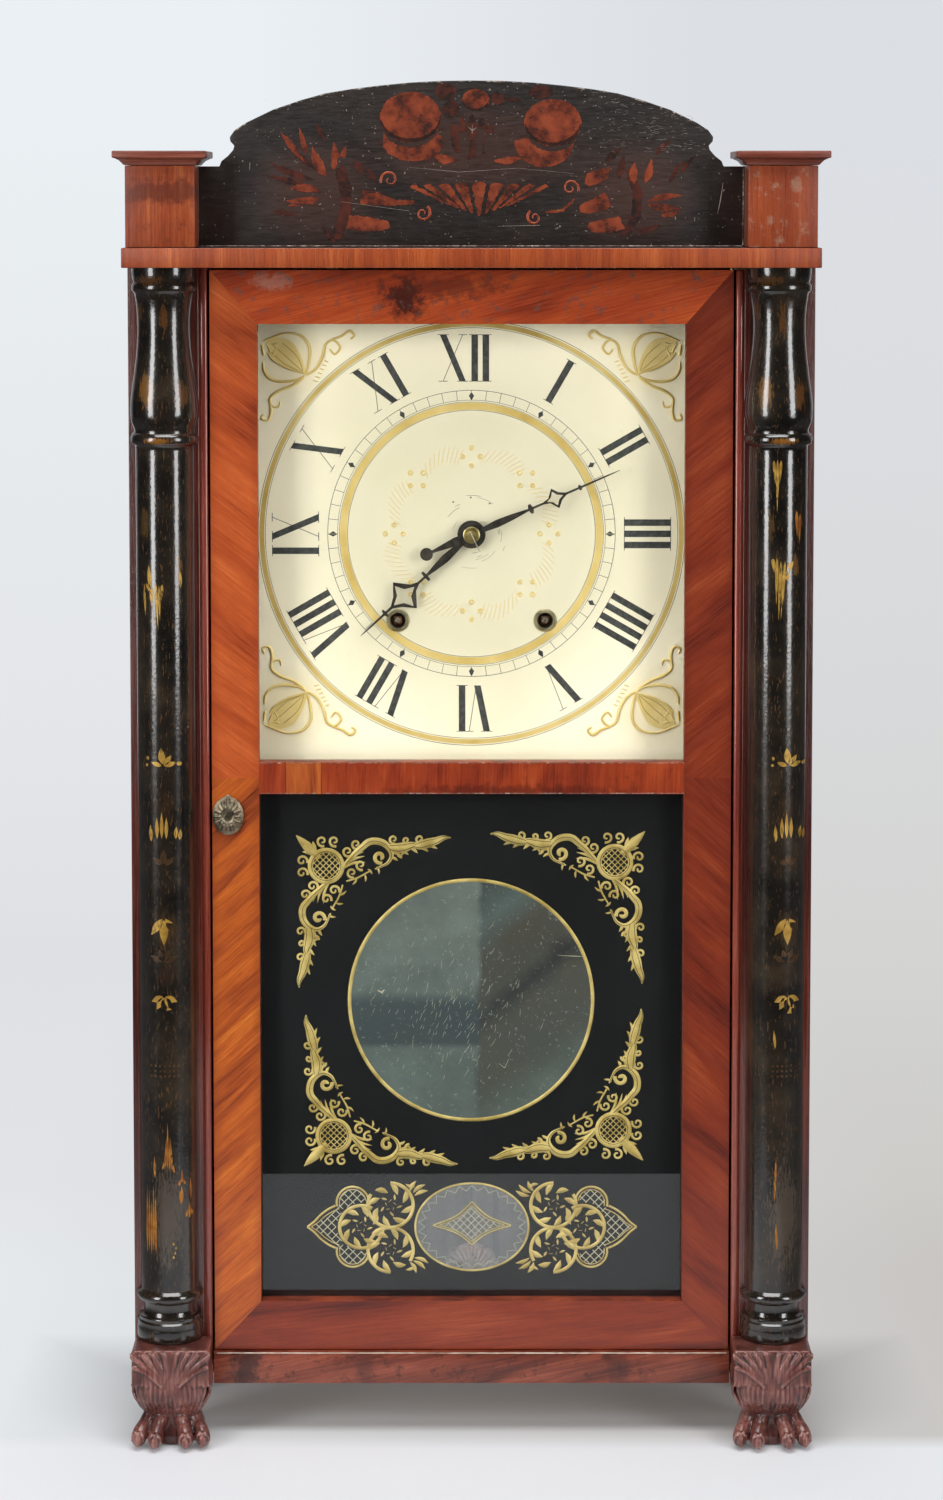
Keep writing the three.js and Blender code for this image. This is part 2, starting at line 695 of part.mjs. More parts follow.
const KNOB_Z = CASE_LIFT + KNOB_HEIGHT_ON_CASE;

function hingeBore(z0, z1) {
  const radius = HINGE_WIRE_RADIUS + GAP;
  const bore = new THREE.CylinderGeometry(radius, radius, z1 - z0, 8).rotateX(Math.PI / 2);
  return bore.translate(HINGE_X, behind(HINGE_INSET), (z0 + z1) / 2);
}

function doorStile(side) {
  const [a, b] = [side * DOOR_LIGHT_HALF, side * DOOR_HALF_WIDTH].sort(ascending);
  const rabbetEdge = side * (DOOR_LIGHT_HALF + RABBET_WIDTH);
  const [c, d] = [side * (DOOR_LIGHT_HALF - OVERRUN), rabbetEdge].sort(ascending);
  const body = block(a, b, 0, DOOR_THICKNESS, DOOR_BOTTOM, DOOR_TOP);
  const past = DOOR_THICKNESS + OVERRUN;
  const rabbet = block(c, d, RABBET_DEPTH, past, DOOR_BOTTOM - OVERRUN, DOOR_TOP + OVERRUN);
  if (side < 0) {
    const shaftRoom = KNOB_SHAFT_RADIUS + GAP;
    return cut(body, rabbet, bar(KNOB_X, KNOB_Z, shaftRoom, -OVERRUN, past));
  }
  const reach = HINGE_PIN_LENGTH + GAP;
  return cut(
    body,
    rabbet,
    hingeBore(DOOR_TOP - reach, DOOR_TOP + OVERRUN),
    hingeBore(DOOR_BOTTOM - OVERRUN, DOOR_BOTTOM + reach),
  );
}

// A rail's front part stops at the stiles; its rear part runs on into their rabbets.
function doorRail(z0, z1, rabbetBelow, rabbetAbove) {
  const half = DOOR_LIGHT_HALF - GAP;
  const longHalf = half + RABBET_WIDTH;
  const rear0 = rabbetBelow ? z0 + RABBET_WIDTH : z0;
  const rear1 = rabbetAbove ? z1 - RABBET_WIDTH : z1;
  return join(
    block(-half, half, 0, RABBET_DEPTH, z0, z1),
    block(-half, half, 0, DOOR_THICKNESS, rear0, rear1),
    block(-longHalf, longHalf, RABBET_DEPTH + GAP, DOOR_THICKNESS, rear0, rear1),
  );
}

function doorGlass(z0, z1) {
  const half = DOOR_LIGHT_HALF + RABBET_WIDTH - GAP;
  const front = RABBET_DEPTH + GAP;
  return block(-half, half, front, front + GLASS_THICKNESS, z0 + GAP, z1 - GAP);
}

function hingePin(top) {
  const wire = (length) =>
    new THREE.CylinderGeometry(HINGE_WIRE_RADIUS, HINGE_WIRE_RADIUS, length, 8);
  const y = behind(HINGE_INSET);
  if (!top) {
    const low = FLOOR_TOP + GAP - HINGE_PIN_LENGTH / 2;
    const length = HINGE_PIN_LENGTH / 2 + HINGE_PIN_LENGTH;
    return wire(length).rotateX(Math.PI / 2).translate(HINGE_X, y, low + length / 2);
  }
  const level = DOOR_TOP + GAP + HINGE_WIRE_RADIUS;
  const drop = wire(HINGE_PIN_LENGTH).rotateX(Math.PI / 2);
  const run = STILE_INNER + HINGE_TAIL - HINGE_X;
  const across = wire(run + HINGE_WIRE_RADIUS).rotateZ(Math.PI / 2);
  return join(
    drop.translate(HINGE_X, y, level - HINGE_PIN_LENGTH / 2 + HINGE_WIRE_RADIUS),
    across.translate(HINGE_X + (run - HINGE_WIRE_RADIUS) / 2, y, level),
  );
}

// Pressed rosette knob, its shaft through the door and the latch behind it.
const KNOB_POINT_SHARE = 1.12;
function knob() {
  const rim = Array.from({ length: 24 }, (_, i) => {
    const turn = (2 * Math.PI * i) / 24;
    const point = i === 6 ? KNOB_POINT_SHARE : 1;
    return [(Math.cos(turn) * KNOB_WIDTH) / 2, (Math.sin(turn) * point * KNOB_HEIGHT) / 2];
  });
  const KNOB_SHARES = [[0, 0.9], [0.3, 1], [0.62, 0.8], [0.85, 0.45], [1, 0.15]];
  const rings = KNOB_SHARES.map(([rise, spread]) =>
    rim.map(([x, z]) => [KNOB_X + x * spread, behind(-GAP - rise * KNOB_THICKNESS), KNOB_Z + z * spread]),
  );
  const latchDepth = DOOR_THICKNESS + GAP;
  const latchX = LATCH_WIDTH / 2;
  return join(
    loft(rings),
    bar(KNOB_X, KNOB_Z, KNOB_SHAFT_RADIUS, -2 * GAP, latchDepth + LATCH_THICKNESS),
    block(
      KNOB_X - latchX,
      KNOB_X + latchX,
      latchDepth,
      latchDepth + LATCH_THICKNESS,
      KNOB_Z - latchX,
      KNOB_Z + LATCH_LENGTH,
    ),
  );
}

function makeDoor() {
  const door = new THREE.Group();
  clock.add(door);
  const put = (name, geometry, material) => place(name, geometry, material, 0, 0, 0, door);
  put("door_stile_left", doorStile(-1), MAHOGANY);
  put("door_stile_right", doorStile(1), MAHOGANY);
  put("door_top_rail", doorRail(TOP_RAIL_BOTTOM, DOOR_TOP, true, false), MAHOGANY);
  put("door_middle_rail", doorRail(MIDDLE_RAIL_BOTTOM, MIDDLE_RAIL_TOP, true, true), MAHOGANY);
  put("door_bottom_rail", doorRail(DOOR_BOTTOM, TABLET_BOTTOM, false, true), MAHOGANY);
  const upperBottom = MIDDLE_RAIL_TOP - RABBET_WIDTH;
  put("upper_glass", doorGlass(upperBottom, TOP_RAIL_BOTTOM + RABBET_WIDTH), CLEAR_GLASS);
  const tabletTop = MIDDLE_RAIL_BOTTOM + RABBET_WIDTH;
  put("tablet_glass", doorGlass(TABLET_BOTTOM - RABBET_WIDTH, tabletTop), TABLET_GLASS);
  put("door_knob", knob(), OLD_BRASS);
  place("hinge_pin_top", hingePin(true), BRASS);
  place("hinge_pin_bottom", hingePin(false), BRASS);
}

// Arbor places in the frame

const arborAt = ([acrossShare, upShare]) => ({
  x: (acrossShare * WINDING_SPREAD) / 2,
  z: DIAL_Z + upShare * WINDING_DROP,
});
const TIME_DRUM = arborAt(TIME_DRUM_SHARES);
const SECOND = arborAt(SECOND_SHARES);
const THIRD = arborAt(THIRD_SHARES);
const ESCAPE = arborAt(ESCAPE_SHARES);
const CENTRE = arborAt(CENTRE_SHARES);
const STRIKE_DRUM = arborAt(STRIKE_DRUM_SHARES);
const PIN_WHEEL = arborAt(PIN_WHEEL_SHARES);
const FLY = arborAt(FLY_SHARES);
const COUNT = arborAt(COUNT_SHARES);
const HAMMER = arborAt(HAMMER_SHARES);
const VERGE = { x: 0, z: VERGE_Z };
const STUD = { x: 0, z: STUD_Z };

const reachOf = (a, b) => Math.hypot(a.x - b.x, a.z - b.z);
const bearing = (a, b) => Math.atan2(b.z - a.z, b.x - a.x);

// Two wheels in mesh: pitch radii from the tooth counts, a tooth of the first in a gap of the second.
function meshing(a, aTeeth, b, bTeeth) {
  const module = (2 * reachOf(a, b)) / (aTeeth + bTeeth);
  const wheel = (teeth, phase) => ({ teeth, phase, module, radius: (module * teeth) / 2 });
  return [
    wheel(aTeeth, bearing(a, b)),
    wheel(bTeeth, bearing(b, a) + Math.PI / bTeeth),
  ];
}

const ADDENDUM_SHARE = 0.5;
const DEDENDUM_SHARE = 0.85;

function gear(at, wheel, depth0, depth1, bore) {
  const tip = wheel.radius + ADDENDUM_SHARE * wheel.module;
  const root = wheel.radius - DEDENDUM_SHARE * wheel.module;
  const outline = Array.from({ length: 2 * wheel.teeth }, (_, i) => {
    const turn = wheel.phase + (Math.PI * i) / wheel.teeth;
    const radius = i % 2 ? root : tip;
    return [at.x + radius * Math.cos(turn), at.z + radius * Math.sin(turn)];
  });
  const shape = polygon(outline);
  if (bore) pierce(shape, circle(at.x, at.z, bore));
  return panel(shape, depth0, depth1);
}

const [TIME_GREAT_GEAR, SECOND_PINION] = meshing(TIME_DRUM, GREAT_TEETH, SECOND, PINION_LEAVES);
const [SECOND_GEAR, THIRD_PINION] = meshing(SECOND, SECOND_TEETH, THIRD, PINION_LEAVES);
const [THIRD_GEAR, ESCAPE_PINION] = meshing(THIRD, THIRD_TEETH, ESCAPE, PINION_LEAVES);
const [CENTRE_GEAR, CENTRE_PINION] = meshing(CENTRE, CENTRE_TEETH, THIRD, PINION_LEAVES);
const [STRIKE_GREAT_GEAR, PIN_PINION] = meshing(
  STRIKE_DRUM,
  STRIKE_GREAT_TEETH,
  PIN_WHEEL,
  PINION_LEAVES,
);
const [PIN_GEAR, FLY_PINION] = meshing(PIN_WHEEL, SECOND_TEETH, FLY, PINION_LEAVES);
const [COUNT_GEAR, COUNT_PINION] = meshing(COUNT, COUNT_TEETH, STRIKE_DRUM, COUNT_PINION_LEAVES);

// Where each wheel stands between the plates, as shares of the space between them.
const GREAT_SPAN_SHARES = [0.05, 0.18];
const GREAT_PINION_SPAN_SHARES = [0.03, 0.2];
const DRUM_FLANGE_SHARE = 0.03;
const CENTRE_SPAN_SHARES = [0.23, 0.34];
const CENTRE_PINION_SPAN_SHARES = [0.21, 0.36];
const THIRD_SPAN_SHARES = [0.44, 0.54];
const ESCAPE_PINION_SPAN_SHARES = [0.42, 0.56];
const SECOND_SPAN_SHARES = [0.81, 0.92];
const SECOND_PINION_SPAN_SHARES = [0.79, 0.94];
const HAMMER_ARM_SPAN_SHARES = [0.5, 0.58];
const HAMMER_TAIL_SPAN_SHARES = [0.7, 0.76];
const LIFT_PIN_SPAN_SHARES = [0.69, 0.82];
const FLY_SPAN_SHARES = [0.23, 0.66];
const PIN_CIRCLE_SHARE = 0.76;

const geared = (at, wheel, spanShares, bore) =>
  gear(at, wheel, between(spanShares[0]), between(spanShares[1]), bore);
const arbor = (at, radius) => bar(at.x, at.z, radius, PIVOT_FRONT, PIVOT_BACK);

// Movement plates and the chute boards that carry them

const GREAT_TIP = Math.max(TIME_GREAT_GEAR.radius, STRIKE_GREAT_GEAR.radius) + PLATE_MARGIN;
const PLATE_HALF = WINDING_SPREAD / 2 + GREAT_TIP;
const PLATE_BOTTOM = TIME_DRUM.z - GREAT_TIP;
const PLATE_TOP = STUD_Z + PLATE_HEAD_MARGIN;
const PIPE_RADIUS = WINDING_ARBOR_RADIUS + PIPE_WALL;
const WINDOW_WIDTH_SHARES = [0.42, 0.82];
const WINDOW_HEIGHT_SHARES = [0.7, 0.91];

// Each weight hangs midway between its chute board and the case's side.
const CHUTE_INNER = PLATE_HALF + GAP;
const CHUTE_OUTER = CHUTE_INNER + CHUTE_BOARD_THICKNESS;
const WEIGHT_OFFSET = (CHUTE_OUTER + SIDE_INNER) / 2;
const PULLEY_RADIUS = PULLEY_PITCH_RADIUS + PULLEY_FLANGE;
const PULLEY_X = WEIGHT_OFFSET - PULLEY_PITCH_RADIUS;
const PULLEY_Z = BOARD_TOP - PULLEY_RADIUS - GAP;
const DRUM_SPAN_SHARES = [0.23, 0.75];
const CORD_DEPTH = (between(DRUM_SPAN_SHARES[0]) + between(DRUM_SPAN_SHARES[1])) / 2;

function makePlates() {
  const pivots = [
    [SECOND, ARBOR_RADIUS],
    [THIRD, ARBOR_RADIUS],
    [CENTRE, ARBOR_RADIUS],
    [ESCAPE, ARBOR_RADIUS],
    [PIN_WHEEL, ARBOR_RADIUS],
    [HAMMER, ARBOR_RADIUS],
    [FLY, FINE_ARBOR_RADIUS],
    [TIME_DRUM, WINDING_ARBOR_RADIUS],
  ];
  const frontPivots = [
    [STRIKE_DRUM, PIPE_RADIUS],
    [VERGE, FINE_ARBOR_RADIUS],
    [COUNT, FINE_ARBOR_RADIUS],
  ];
  const plate = (depth, list, windows) => {
    const end = depth + PLATE_THICKNESS;
    const holes = list.map(([at, radius]) =>
      bar(at.x, at.z, radius + GAP, depth - OVERRUN, end + OVERRUN, 10),
    );
    const board = block(-PLATE_HALF, PLATE_HALF, depth, end, PLATE_BOTTOM, PLATE_TOP);
    return cut(board, ...holes, ...windows);
  };
  const height = PLATE_TOP - PLATE_BOTTOM;
  const windows = [-1, 1].map((side) => {
    const [a, b] = WINDOW_WIDTH_SHARES.map((share) => side * share * PLATE_HALF).sort(ascending);
    const [low, high] = WINDOW_HEIGHT_SHARES.map((share) => PLATE_BOTTOM + share * height);
    return block(a, b, PLATE_DEPTH - OVERRUN, PLATE_INNER_DEPTH + OVERRUN, low, high);
  });
  place(
    "front_plate",
    join(
      plate(PLATE_DEPTH, [...pivots, ...frontPivots], windows),
      bar(STUD.x, STUD.z, STUD_RADIUS, PENDULUM_DEPTH - 3 * GAP, PLATE_DEPTH + OVERRUN),
    ),
    OAK,
  );
  const inset = PILLAR_RADIUS + GAP;
  const pillars = [-1, 1].flatMap((side) =>
    [PLATE_BOTTOM + inset, PLATE_TOP - inset].map((z) =>
      bar(
        side * (PLATE_HALF - inset),
        z,
        PILLAR_RADIUS,
        PLATE_INNER_DEPTH + GAP,
        BACK_PLATE_DEPTH + OVERRUN,
        10,
      ),
    ),
  );
  const back = plate(BACK_PLATE_DEPTH, [...pivots, [STRIKE_DRUM, WINDING_ARBOR_RADIUS]], []);
  place("back_plate", join(back, ...pillars), OAK);
}

// The cord's run from the drum's outer side to the pulley's inner side, as a crossed tangent.
const CORD_WIND_RADIUS = DRUM_RADIUS + CORD_RADIUS + GAP;
function cordTangent() {
  const pulley = { x: PULLEY_X, z: PULLEY_Z };
  const reach = reachOf(TIME_DRUM, pulley);
  const lean = bearing(TIME_DRUM, pulley);
  const turn = lean - Math.acos((CORD_WIND_RADIUS + PULLEY_PITCH_RADIUS) / reach);
  const [c, s] = [Math.cos(turn), Math.sin(turn)];
  return {
    turn,
    drum: [TIME_DRUM.x + CORD_WIND_RADIUS * c, TIME_DRUM.z + CORD_WIND_RADIUS * s],
    pulley: [PULLEY_X - PULLEY_PITCH_RADIUS * c, PULLEY_Z - PULLEY_PITCH_RADIUS * s],
  };
}

function makeChutes() {
  const front = DIAL_DEPTH + DIAL_THICKNESS + GAP;
  const back = BACKBOARD_DEPTH - GAP;
  const { drum, pulley } = cordTangent();
  const share = ((CHUTE_INNER + CHUTE_OUTER) / 2 - drum[0]) / (pulley[0] - drum[0]);
  const crossing = drum[1] + share * (pulley[1] - drum[1]);
  const low = FLOOR_TOP + GAP;
  for (const [word, side] of SIDES) {
    const shape = polygon(rectangle(front, back, low, CASE_TOP));
    const window = [
      CORD_DEPTH - CORD_WINDOW_WIDTH / 2,
      CORD_DEPTH + CORD_WINDOW_WIDTH / 2,
      crossing - CORD_WINDOW_HEIGHT / 2,
      crossing + CORD_WINDOW_HEIGHT / 2,
    ];
    pierce(shape, rectangle(...window));
    const x = side > 0 ? CHUTE_INNER : -CHUTE_OUTER;
    place(`chute_board_${word}`, rail(shape, x, x + CHUTE_BOARD_THICKNESS), PINE);
  }
}

// Trains: time on the right, strike on the left

function drum(at) {
  const [d0, d1] = DRUM_SPAN_SHARES.map(between);
  const flange = DRUM_FLANGE_SHARE * PLATE_SPACING;
  const squareFront = DIAL_DEPTH + WINDING_SQUARE_RECESS;
  const squareBack = PLATE_DEPTH - 2 * FRONT_WORK_GAP;
  const half = WINDING_SQUARE / 2;
  const square = block(-half, half, squareFront, squareBack, -half, half);
  return join(
    square.translate(at.x, 0, at.z),
    bar(at.x, at.z, WINDING_ARBOR_RADIUS, squareBack - OVERRUN, PIVOT_BACK),
    bar(at.x, at.z, DRUM_RADIUS, d0, d1, 20),
    bar(at.x, at.z, DRUM_FLANGE_RADIUS, d0 - flange, d0, 20),
    bar(at.x, at.z, DRUM_FLANGE_RADIUS, d1, d1 + flange, 20),
  );
}

function escapeWheel() {
  const outline = Array.from({ length: ESCAPE_TEETH }, (_, i) => {
    const turn = (2 * Math.PI * i) / ESCAPE_TEETH;
    const lean = (0.7 * Math.PI) / ESCAPE_TEETH;
    const root = ESCAPE_RADIUS - ESCAPE_TOOTH;
    return [
      [ESCAPE.x + ESCAPE_RADIUS * Math.cos(turn), ESCAPE.z + ESCAPE_RADIUS * Math.sin(turn)],
      [ESCAPE.x + root * Math.cos(turn + lean), ESCAPE.z + root * Math.sin(turn + lean)],
    ];
  }).flat();
  return join(
    panel(polygon(outline), ESCAPE_DEPTH, ESCAPE_DEPTH + ESCAPE_THICKNESS),
    bar(ESCAPE.x, ESCAPE.z, ARBOR_RADIUS, ESCAPE_DEPTH - GAP, PIVOT_BACK),
    geared(ESCAPE, ESCAPE_PINION, ESCAPE_PINION_SPAN_SHARES),
  );
}

function makeTimeTrain() {
  place("time_drum", drum(TIME_DRUM), CHERRY);
  const bore = WINDING_ARBOR_RADIUS + GAP;
  place("time_great_wheel", geared(TIME_DRUM, TIME_GREAT_GEAR, GREAT_SPAN_SHARES, bore), CHERRY);
  place(
    "time_second_wheel",
    join(
      arbor(SECOND, ARBOR_RADIUS),
      geared(SECOND, SECOND_PINION, GREAT_PINION_SPAN_SHARES),
      geared(SECOND, SECOND_GEAR, SECOND_SPAN_SHARES),
    ),
    CHERRY,
  );
  place(
    "time_third_wheel",
    join(
      arbor(THIRD, ARBOR_RADIUS),
      geared(THIRD, THIRD_PINION, SECOND_PINION_SPAN_SHARES),
      geared(THIRD, CENTRE_PINION, CENTRE_PINION_SPAN_SHARES),
      geared(THIRD, THIRD_GEAR, THIRD_SPAN_SHARES),
    ),
    CHERRY,
  );
  place("escape_wheel", escapeWheel(), BRASS);
  const collarFront = MINUTE_HAND_DEPTH - GAP - COLLAR_THICKNESS;
  place(
    "centre_arbor",
    join(
      bar(0, DIAL_Z, COLLAR_RADIUS, collarFront, collarFront + COLLAR_THICKNESS, 20),
      bar(0, DIAL_Z, ARBOR_RADIUS, collarFront, PIVOT_BACK),
      geared(CENTRE, CENTRE_GEAR, CENTRE_SPAN_SHARES),
    ),
    BRASS,
  );
}

function makeStrikeTrain() {
  place("strike_drum", drum(STRIKE_DRUM), CHERRY);
  const bore = WINDING_ARBOR_RADIUS + GAP;
  const workBack = PLATE_DEPTH - FRONT_WORK_GAP / 2;
  const workFront = workBack - COUNT_WHEEL_THICKNESS;
  const pipe = pierce(
    polygon(circle(STRIKE_DRUM.x, STRIKE_DRUM.z, PIPE_RADIUS)),
    circle(STRIKE_DRUM.x, STRIKE_DRUM.z, bore),
  );
  place(
    "strike_great_wheel",
    join(
      geared(STRIKE_DRUM, STRIKE_GREAT_GEAR, GREAT_SPAN_SHARES, bore),
      gear(STRIKE_DRUM, COUNT_PINION, workFront, workBack, bore),
      panel(pipe, workFront, between(GREAT_SPAN_SHARES[1])),
    ),
    CHERRY,
  );
  const pinCircle = PIN_CIRCLE_SHARE * PIN_GEAR.radius;
  const pins = [45, 135, 225, 315].map((angle) => {
    const turn = THREE.MathUtils.degToRad(angle);
    const [x, z] = [pinCircle * Math.cos(turn), pinCircle * Math.sin(turn)];
    const [d0, d1] = LIFT_PIN_SPAN_SHARES.map(between);
    return bar(PIN_WHEEL.x + x, PIN_WHEEL.z + z, LIFT_PIN_RADIUS, d0, d1, 8);
  });
  place(
    "pin_wheel",
    join(
      arbor(PIN_WHEEL, ARBOR_RADIUS),
      geared(PIN_WHEEL, PIN_PINION, GREAT_PINION_SPAN_SHARES),
      geared(PIN_WHEEL, PIN_GEAR, SECOND_SPAN_SHARES),
      ...pins,
    ),
    CHERRY,
  );
  const [f0, f1] = FLY_SPAN_SHARES.map(between);
  const vane = block(-FLY_RADIUS, FLY_RADIUS, f0, f1, -FLY_THICKNESS / 2, FLY_THICKNESS / 2);
  place(
    "fly",
    join(
      arbor(FLY, FINE_ARBOR_RADIUS),
      geared(FLY, FLY_PINION, SECOND_PINION_SPAN_SHARES),
      vane.translate(FLY.x, 0, FLY.z),
    ),
    CHERRY,
  );
  place(
    "count_wheel",
    join(
      gear(COUNT, COUNT_GEAR, workFront, workBack),
      bar(COUNT.x, COUNT.z, FINE_ARBOR_RADIUS, workFront - GAP, PLATE_INNER_DEPTH - GAP),
    ),
    CHERRY,
  );
  place("hammer", hammer(pinCircle), IRON);
  place("bell", bell(), IRON);
}

// The hammer's arm hangs to the bell's rim and its tail stands just clear of the lifting pins.
function hammer(pinCircle) {
  const strike = THREE.MathUtils.degToRad(STRIKE_ANGLE);
  const fromBell = BELL_RADIUS + HAMMER_HEAD_RADIUS + GAP;
  const headX = BELL_X + fromBell * Math.cos(strike);
  const headZ = BELL_Z + fromBell * Math.sin(strike);
  const [a0, a1] = HAMMER_ARM_SPAN_SHARES.map(between);
  const [t0, t1] = HAMMER_TAIL_SPAN_SHARES.map(between);
  const middle = (a0 + a1) / 2;
  const tailReach = reachOf(HAMMER, PIN_WHEEL) - pinCircle - 2 * LIFT_PIN_RADIUS;
  const lean = bearing(HAMMER, PIN_WHEEL);
  const tailEnd = [HAMMER.x + tailReach * Math.cos(lean), HAMMER.z + tailReach * Math.sin(lean)];
  const start = [HAMMER.x, HAMMER.z];
  return join(
    arbor(HAMMER, ARBOR_RADIUS),
    panel(strip([start, [headX, headZ]], HAMMER_ARM_WIDTH), a0, a1),
    panel(strip([start, tailEnd], HAMMER_ARM_WIDTH), t0, t1),
    bar(headX, headZ, HAMMER_HEAD_RADIUS, middle - HAMMER_HEAD_LENGTH / 2, middle + HAMMER_HEAD_LENGTH / 2),
  );
}

// A cast bell, open to the front, on a post from the backboard.
const BELL_Z = DIAL_Z - BELL_DROP;
const BELL_MOUTH_SPAN_SHARE = 0.436;

function bell() {
  const mouth = between(BELL_MOUTH_SPAN_SHARE);
  const back = mouth + BELL_DEPTH;
  const BELL_SHARES = [[1, 0], [0.93, 0.3], [0.84, 0.62], [0.6, 0.9]];
  const outside = BELL_SHARES.map(([out, deep]) => [
    out * BELL_RADIUS,
    mouth + deep * BELL_DEPTH,
  ]);
  const inside = outside.map(([radius, depth], i) => [radius - BELL_WALL, i ? depth - BELL_WALL : depth]);
  const profile = [
    [0, back - BELL_WALL],
    ...inside.reverse(),
    ...outside,
    [BELL_POST_RADIUS, back],
    [BELL_POST_RADIUS, BACKBOARD_DEPTH - GAP],
    [0, BACKBOARD_DEPTH - GAP],
  ];
  return turnedBack(profile, BELL_X, BELL_Z, 24);
}

// Verge and pendulum, in front of the front plate

function makePendulum() {
  const PALLET_SHARES = [[-0.66, -0.36], [-0.47, -0.08], [0, 0.08], [0.47, -0.08], [0.66, -0.36]];
  const arch = PALLET_SHARES.map(([x, z]) => [x * ESCAPE_RADIUS, VERGE.z + z * ESCAPE_RADIUS]);
  const crutchBack = CRUTCH_DEPTH + CRUTCH_THICKNESS;
  const prongInner = PENDULUM_WIRE / 2 + GAP;
  const prongOuter = prongInner + CRUTCH_THICKNESS;
  const crutchEnd = VERGE.z - CRUTCH_LENGTH;
  const prong = (side) => {
    const [a, b] = [side * prongInner, side * prongOuter].sort(ascending);
    return block(a, b, PENDULUM_DEPTH, crutchBack, crutchEnd - CRUTCH_THICKNESS, crutchEnd + CRUTCH_THICKNESS);
  };
  place(
    "verge",
    join(
      panel(strip(arch, VERGE_WIDTH), ESCAPE_DEPTH, ESCAPE_DEPTH + ESCAPE_THICKNESS),
      bar(0, VERGE.z, FINE_ARBOR_RADIUS, CRUTCH_DEPTH, PLATE_INNER_DEPTH - GAP),
      block(
        -prongOuter,
        prongOuter,
        CRUTCH_DEPTH,
        crutchBack,
        crutchEnd - CRUTCH_THICKNESS,
        VERGE.z,
      ),
      prong(-1),
      prong(1),
    ),
    BRONZED_STEEL,
  );

  const rodBack = PENDULUM_DEPTH + PENDULUM_WIRE;
  const loopInner = STUD_RADIUS + GAP;
  const loopOuter = loopInner + PENDULUM_WIRE;
  const bobZ = STUD.z - PENDULUM_LENGTH;
  const bowTop = DIAL_Z + PENDULUM_BOW_HALF_HEIGHT;
  const bowBottom = DIAL_Z - PENDULUM_BOW_HALF_HEIGHT;
  const bowInner = PENDULUM_BOW_HALF_HEIGHT / 2;
  const wire = [
    [0, STUD.z - loopInner - PENDULUM_WIRE / 2],
    [0, bowTop],
    [PENDULUM_BOW, DIAL_Z + bowInner],
    [PENDULUM_BOW, DIAL_Z - bowInner],
    [0, bowBottom],
    [0, bobZ - PENDULUM_END],
  ];
  const loop = pierce(
    polygon(circle(0, STUD.z, loopOuter, 16)),
    circle(0, STUD.z, loopInner, 16),
  );
  place(
    "pendulum_rod",
    join(
      panel(strip(wire, PENDULUM_WIRE), PENDULUM_DEPTH, rodBack),
      panel(loop, PENDULUM_DEPTH, rodBack),
    ),
    BRASS,
  );

  const middle = PENDULUM_DEPTH + PENDULUM_WIRE / 2;
  const BOB_SHARES = [[0, -0.5], [0.45, -0.46], [0.8, -0.3], [0.97, -0.12], [1, 0]];
  const half = BOB_SHARES.map(([out, deep]) => [out * BOB_RADIUS, middle + deep * BOB_THICKNESS]);
  const rear = half.slice(0, -1).reverse().map(([radius, depth]) => [radius, 2 * middle - depth]);
  const room = PENDULUM_WIRE / 2 + GAP;
  const bore = block(
    -room,
    room,
    middle - room,
    middle + room,
    bobZ - BOB_RADIUS - OVERRUN,
    bobZ + BOB_RADIUS + OVERRUN,
  );
  place("pendulum_bob", cut(turnedBack([...half, ...rear], 0, bobZ, 24), bore), BRASS);
}

// Dial, eyelets and hands

const EYELET_RADIUS = EYELET_BORE_RADIUS + EYELET_WALL;
const HOUR_PIPE_RADIUS = ARBOR_RADIUS + GAP + HOUR_PIPE_WALL;

function makeDial() {
  const board = polygon(
    rectangle(-DIAL_HALF_WIDTH, DIAL_HALF_WIDTH, DIAL_Z - DIAL_DROP, DIAL_Z + DIAL_RISE),
  );
  pierce(board, circle(0, DIAL_Z, HOUR_PIPE_RADIUS + DIAL_HOLE_ROOM, 16));
  for (const at of [TIME_DRUM, STRIKE_DRUM]) {
    pierce(board, circle(at.x, at.z, EYELET_RADIUS + GAP, 20));
  }
  place("dial_board", panel(board, DIAL_DEPTH, DIAL_DEPTH + DIAL_THICKNESS), DIAL_PAINT);
  const flangeBack = DIAL_DEPTH - GAP;
  const flangeFront = flangeBack - EYELET_FLANGE_THICKNESS;
  const end = DIAL_DEPTH + DIAL_THICKNESS - GAP;
  const flangeRadius = EYELET_RADIUS + EYELET_FLANGE_WIDTH;
  const profile = [
    [EYELET_BORE_RADIUS, flangeFront],
    [flangeRadius - EYELET_FLANGE_THICKNESS, flangeFront],
    [flangeRadius, flangeBack],
    [EYELET_RADIUS, flangeBack],
    [EYELET_RADIUS, end],
    [EYELET_BORE_RADIUS, end],
    [EYELET_BORE_RADIUS, flangeFront],
  ];
  for (const [word, side] of SIDES) {
    const at = side > 0 ? TIME_DRUM : STRIKE_DRUM;
    place(`winding_eyelet_${word}`, turnedBack(profile, at.x, at.z, 20), BRASS);
  }
}

// A hand drawn along +Z: half widths down its length, and the open diamond, as shares of its length.
function hand(length, boss, widthShares, diamond, extras) {
  const right = widthShares.map(([along, half]) => [half * length, along * length]);
  const left = right.map(([x, z]) => [-x, z]).reverse();
  const blade = polygon([...right, ...left]);
  pierce(blade, diamond.map(([half, along]) => [half * length, along * length]));
  const disc = polygon(circle(0, 0, boss, 20));
  const pieces = [blade, disc, ...extras].map((shape) => panel(shape, 0, HAND_THICKNESS));
  return join(...pieces);
}

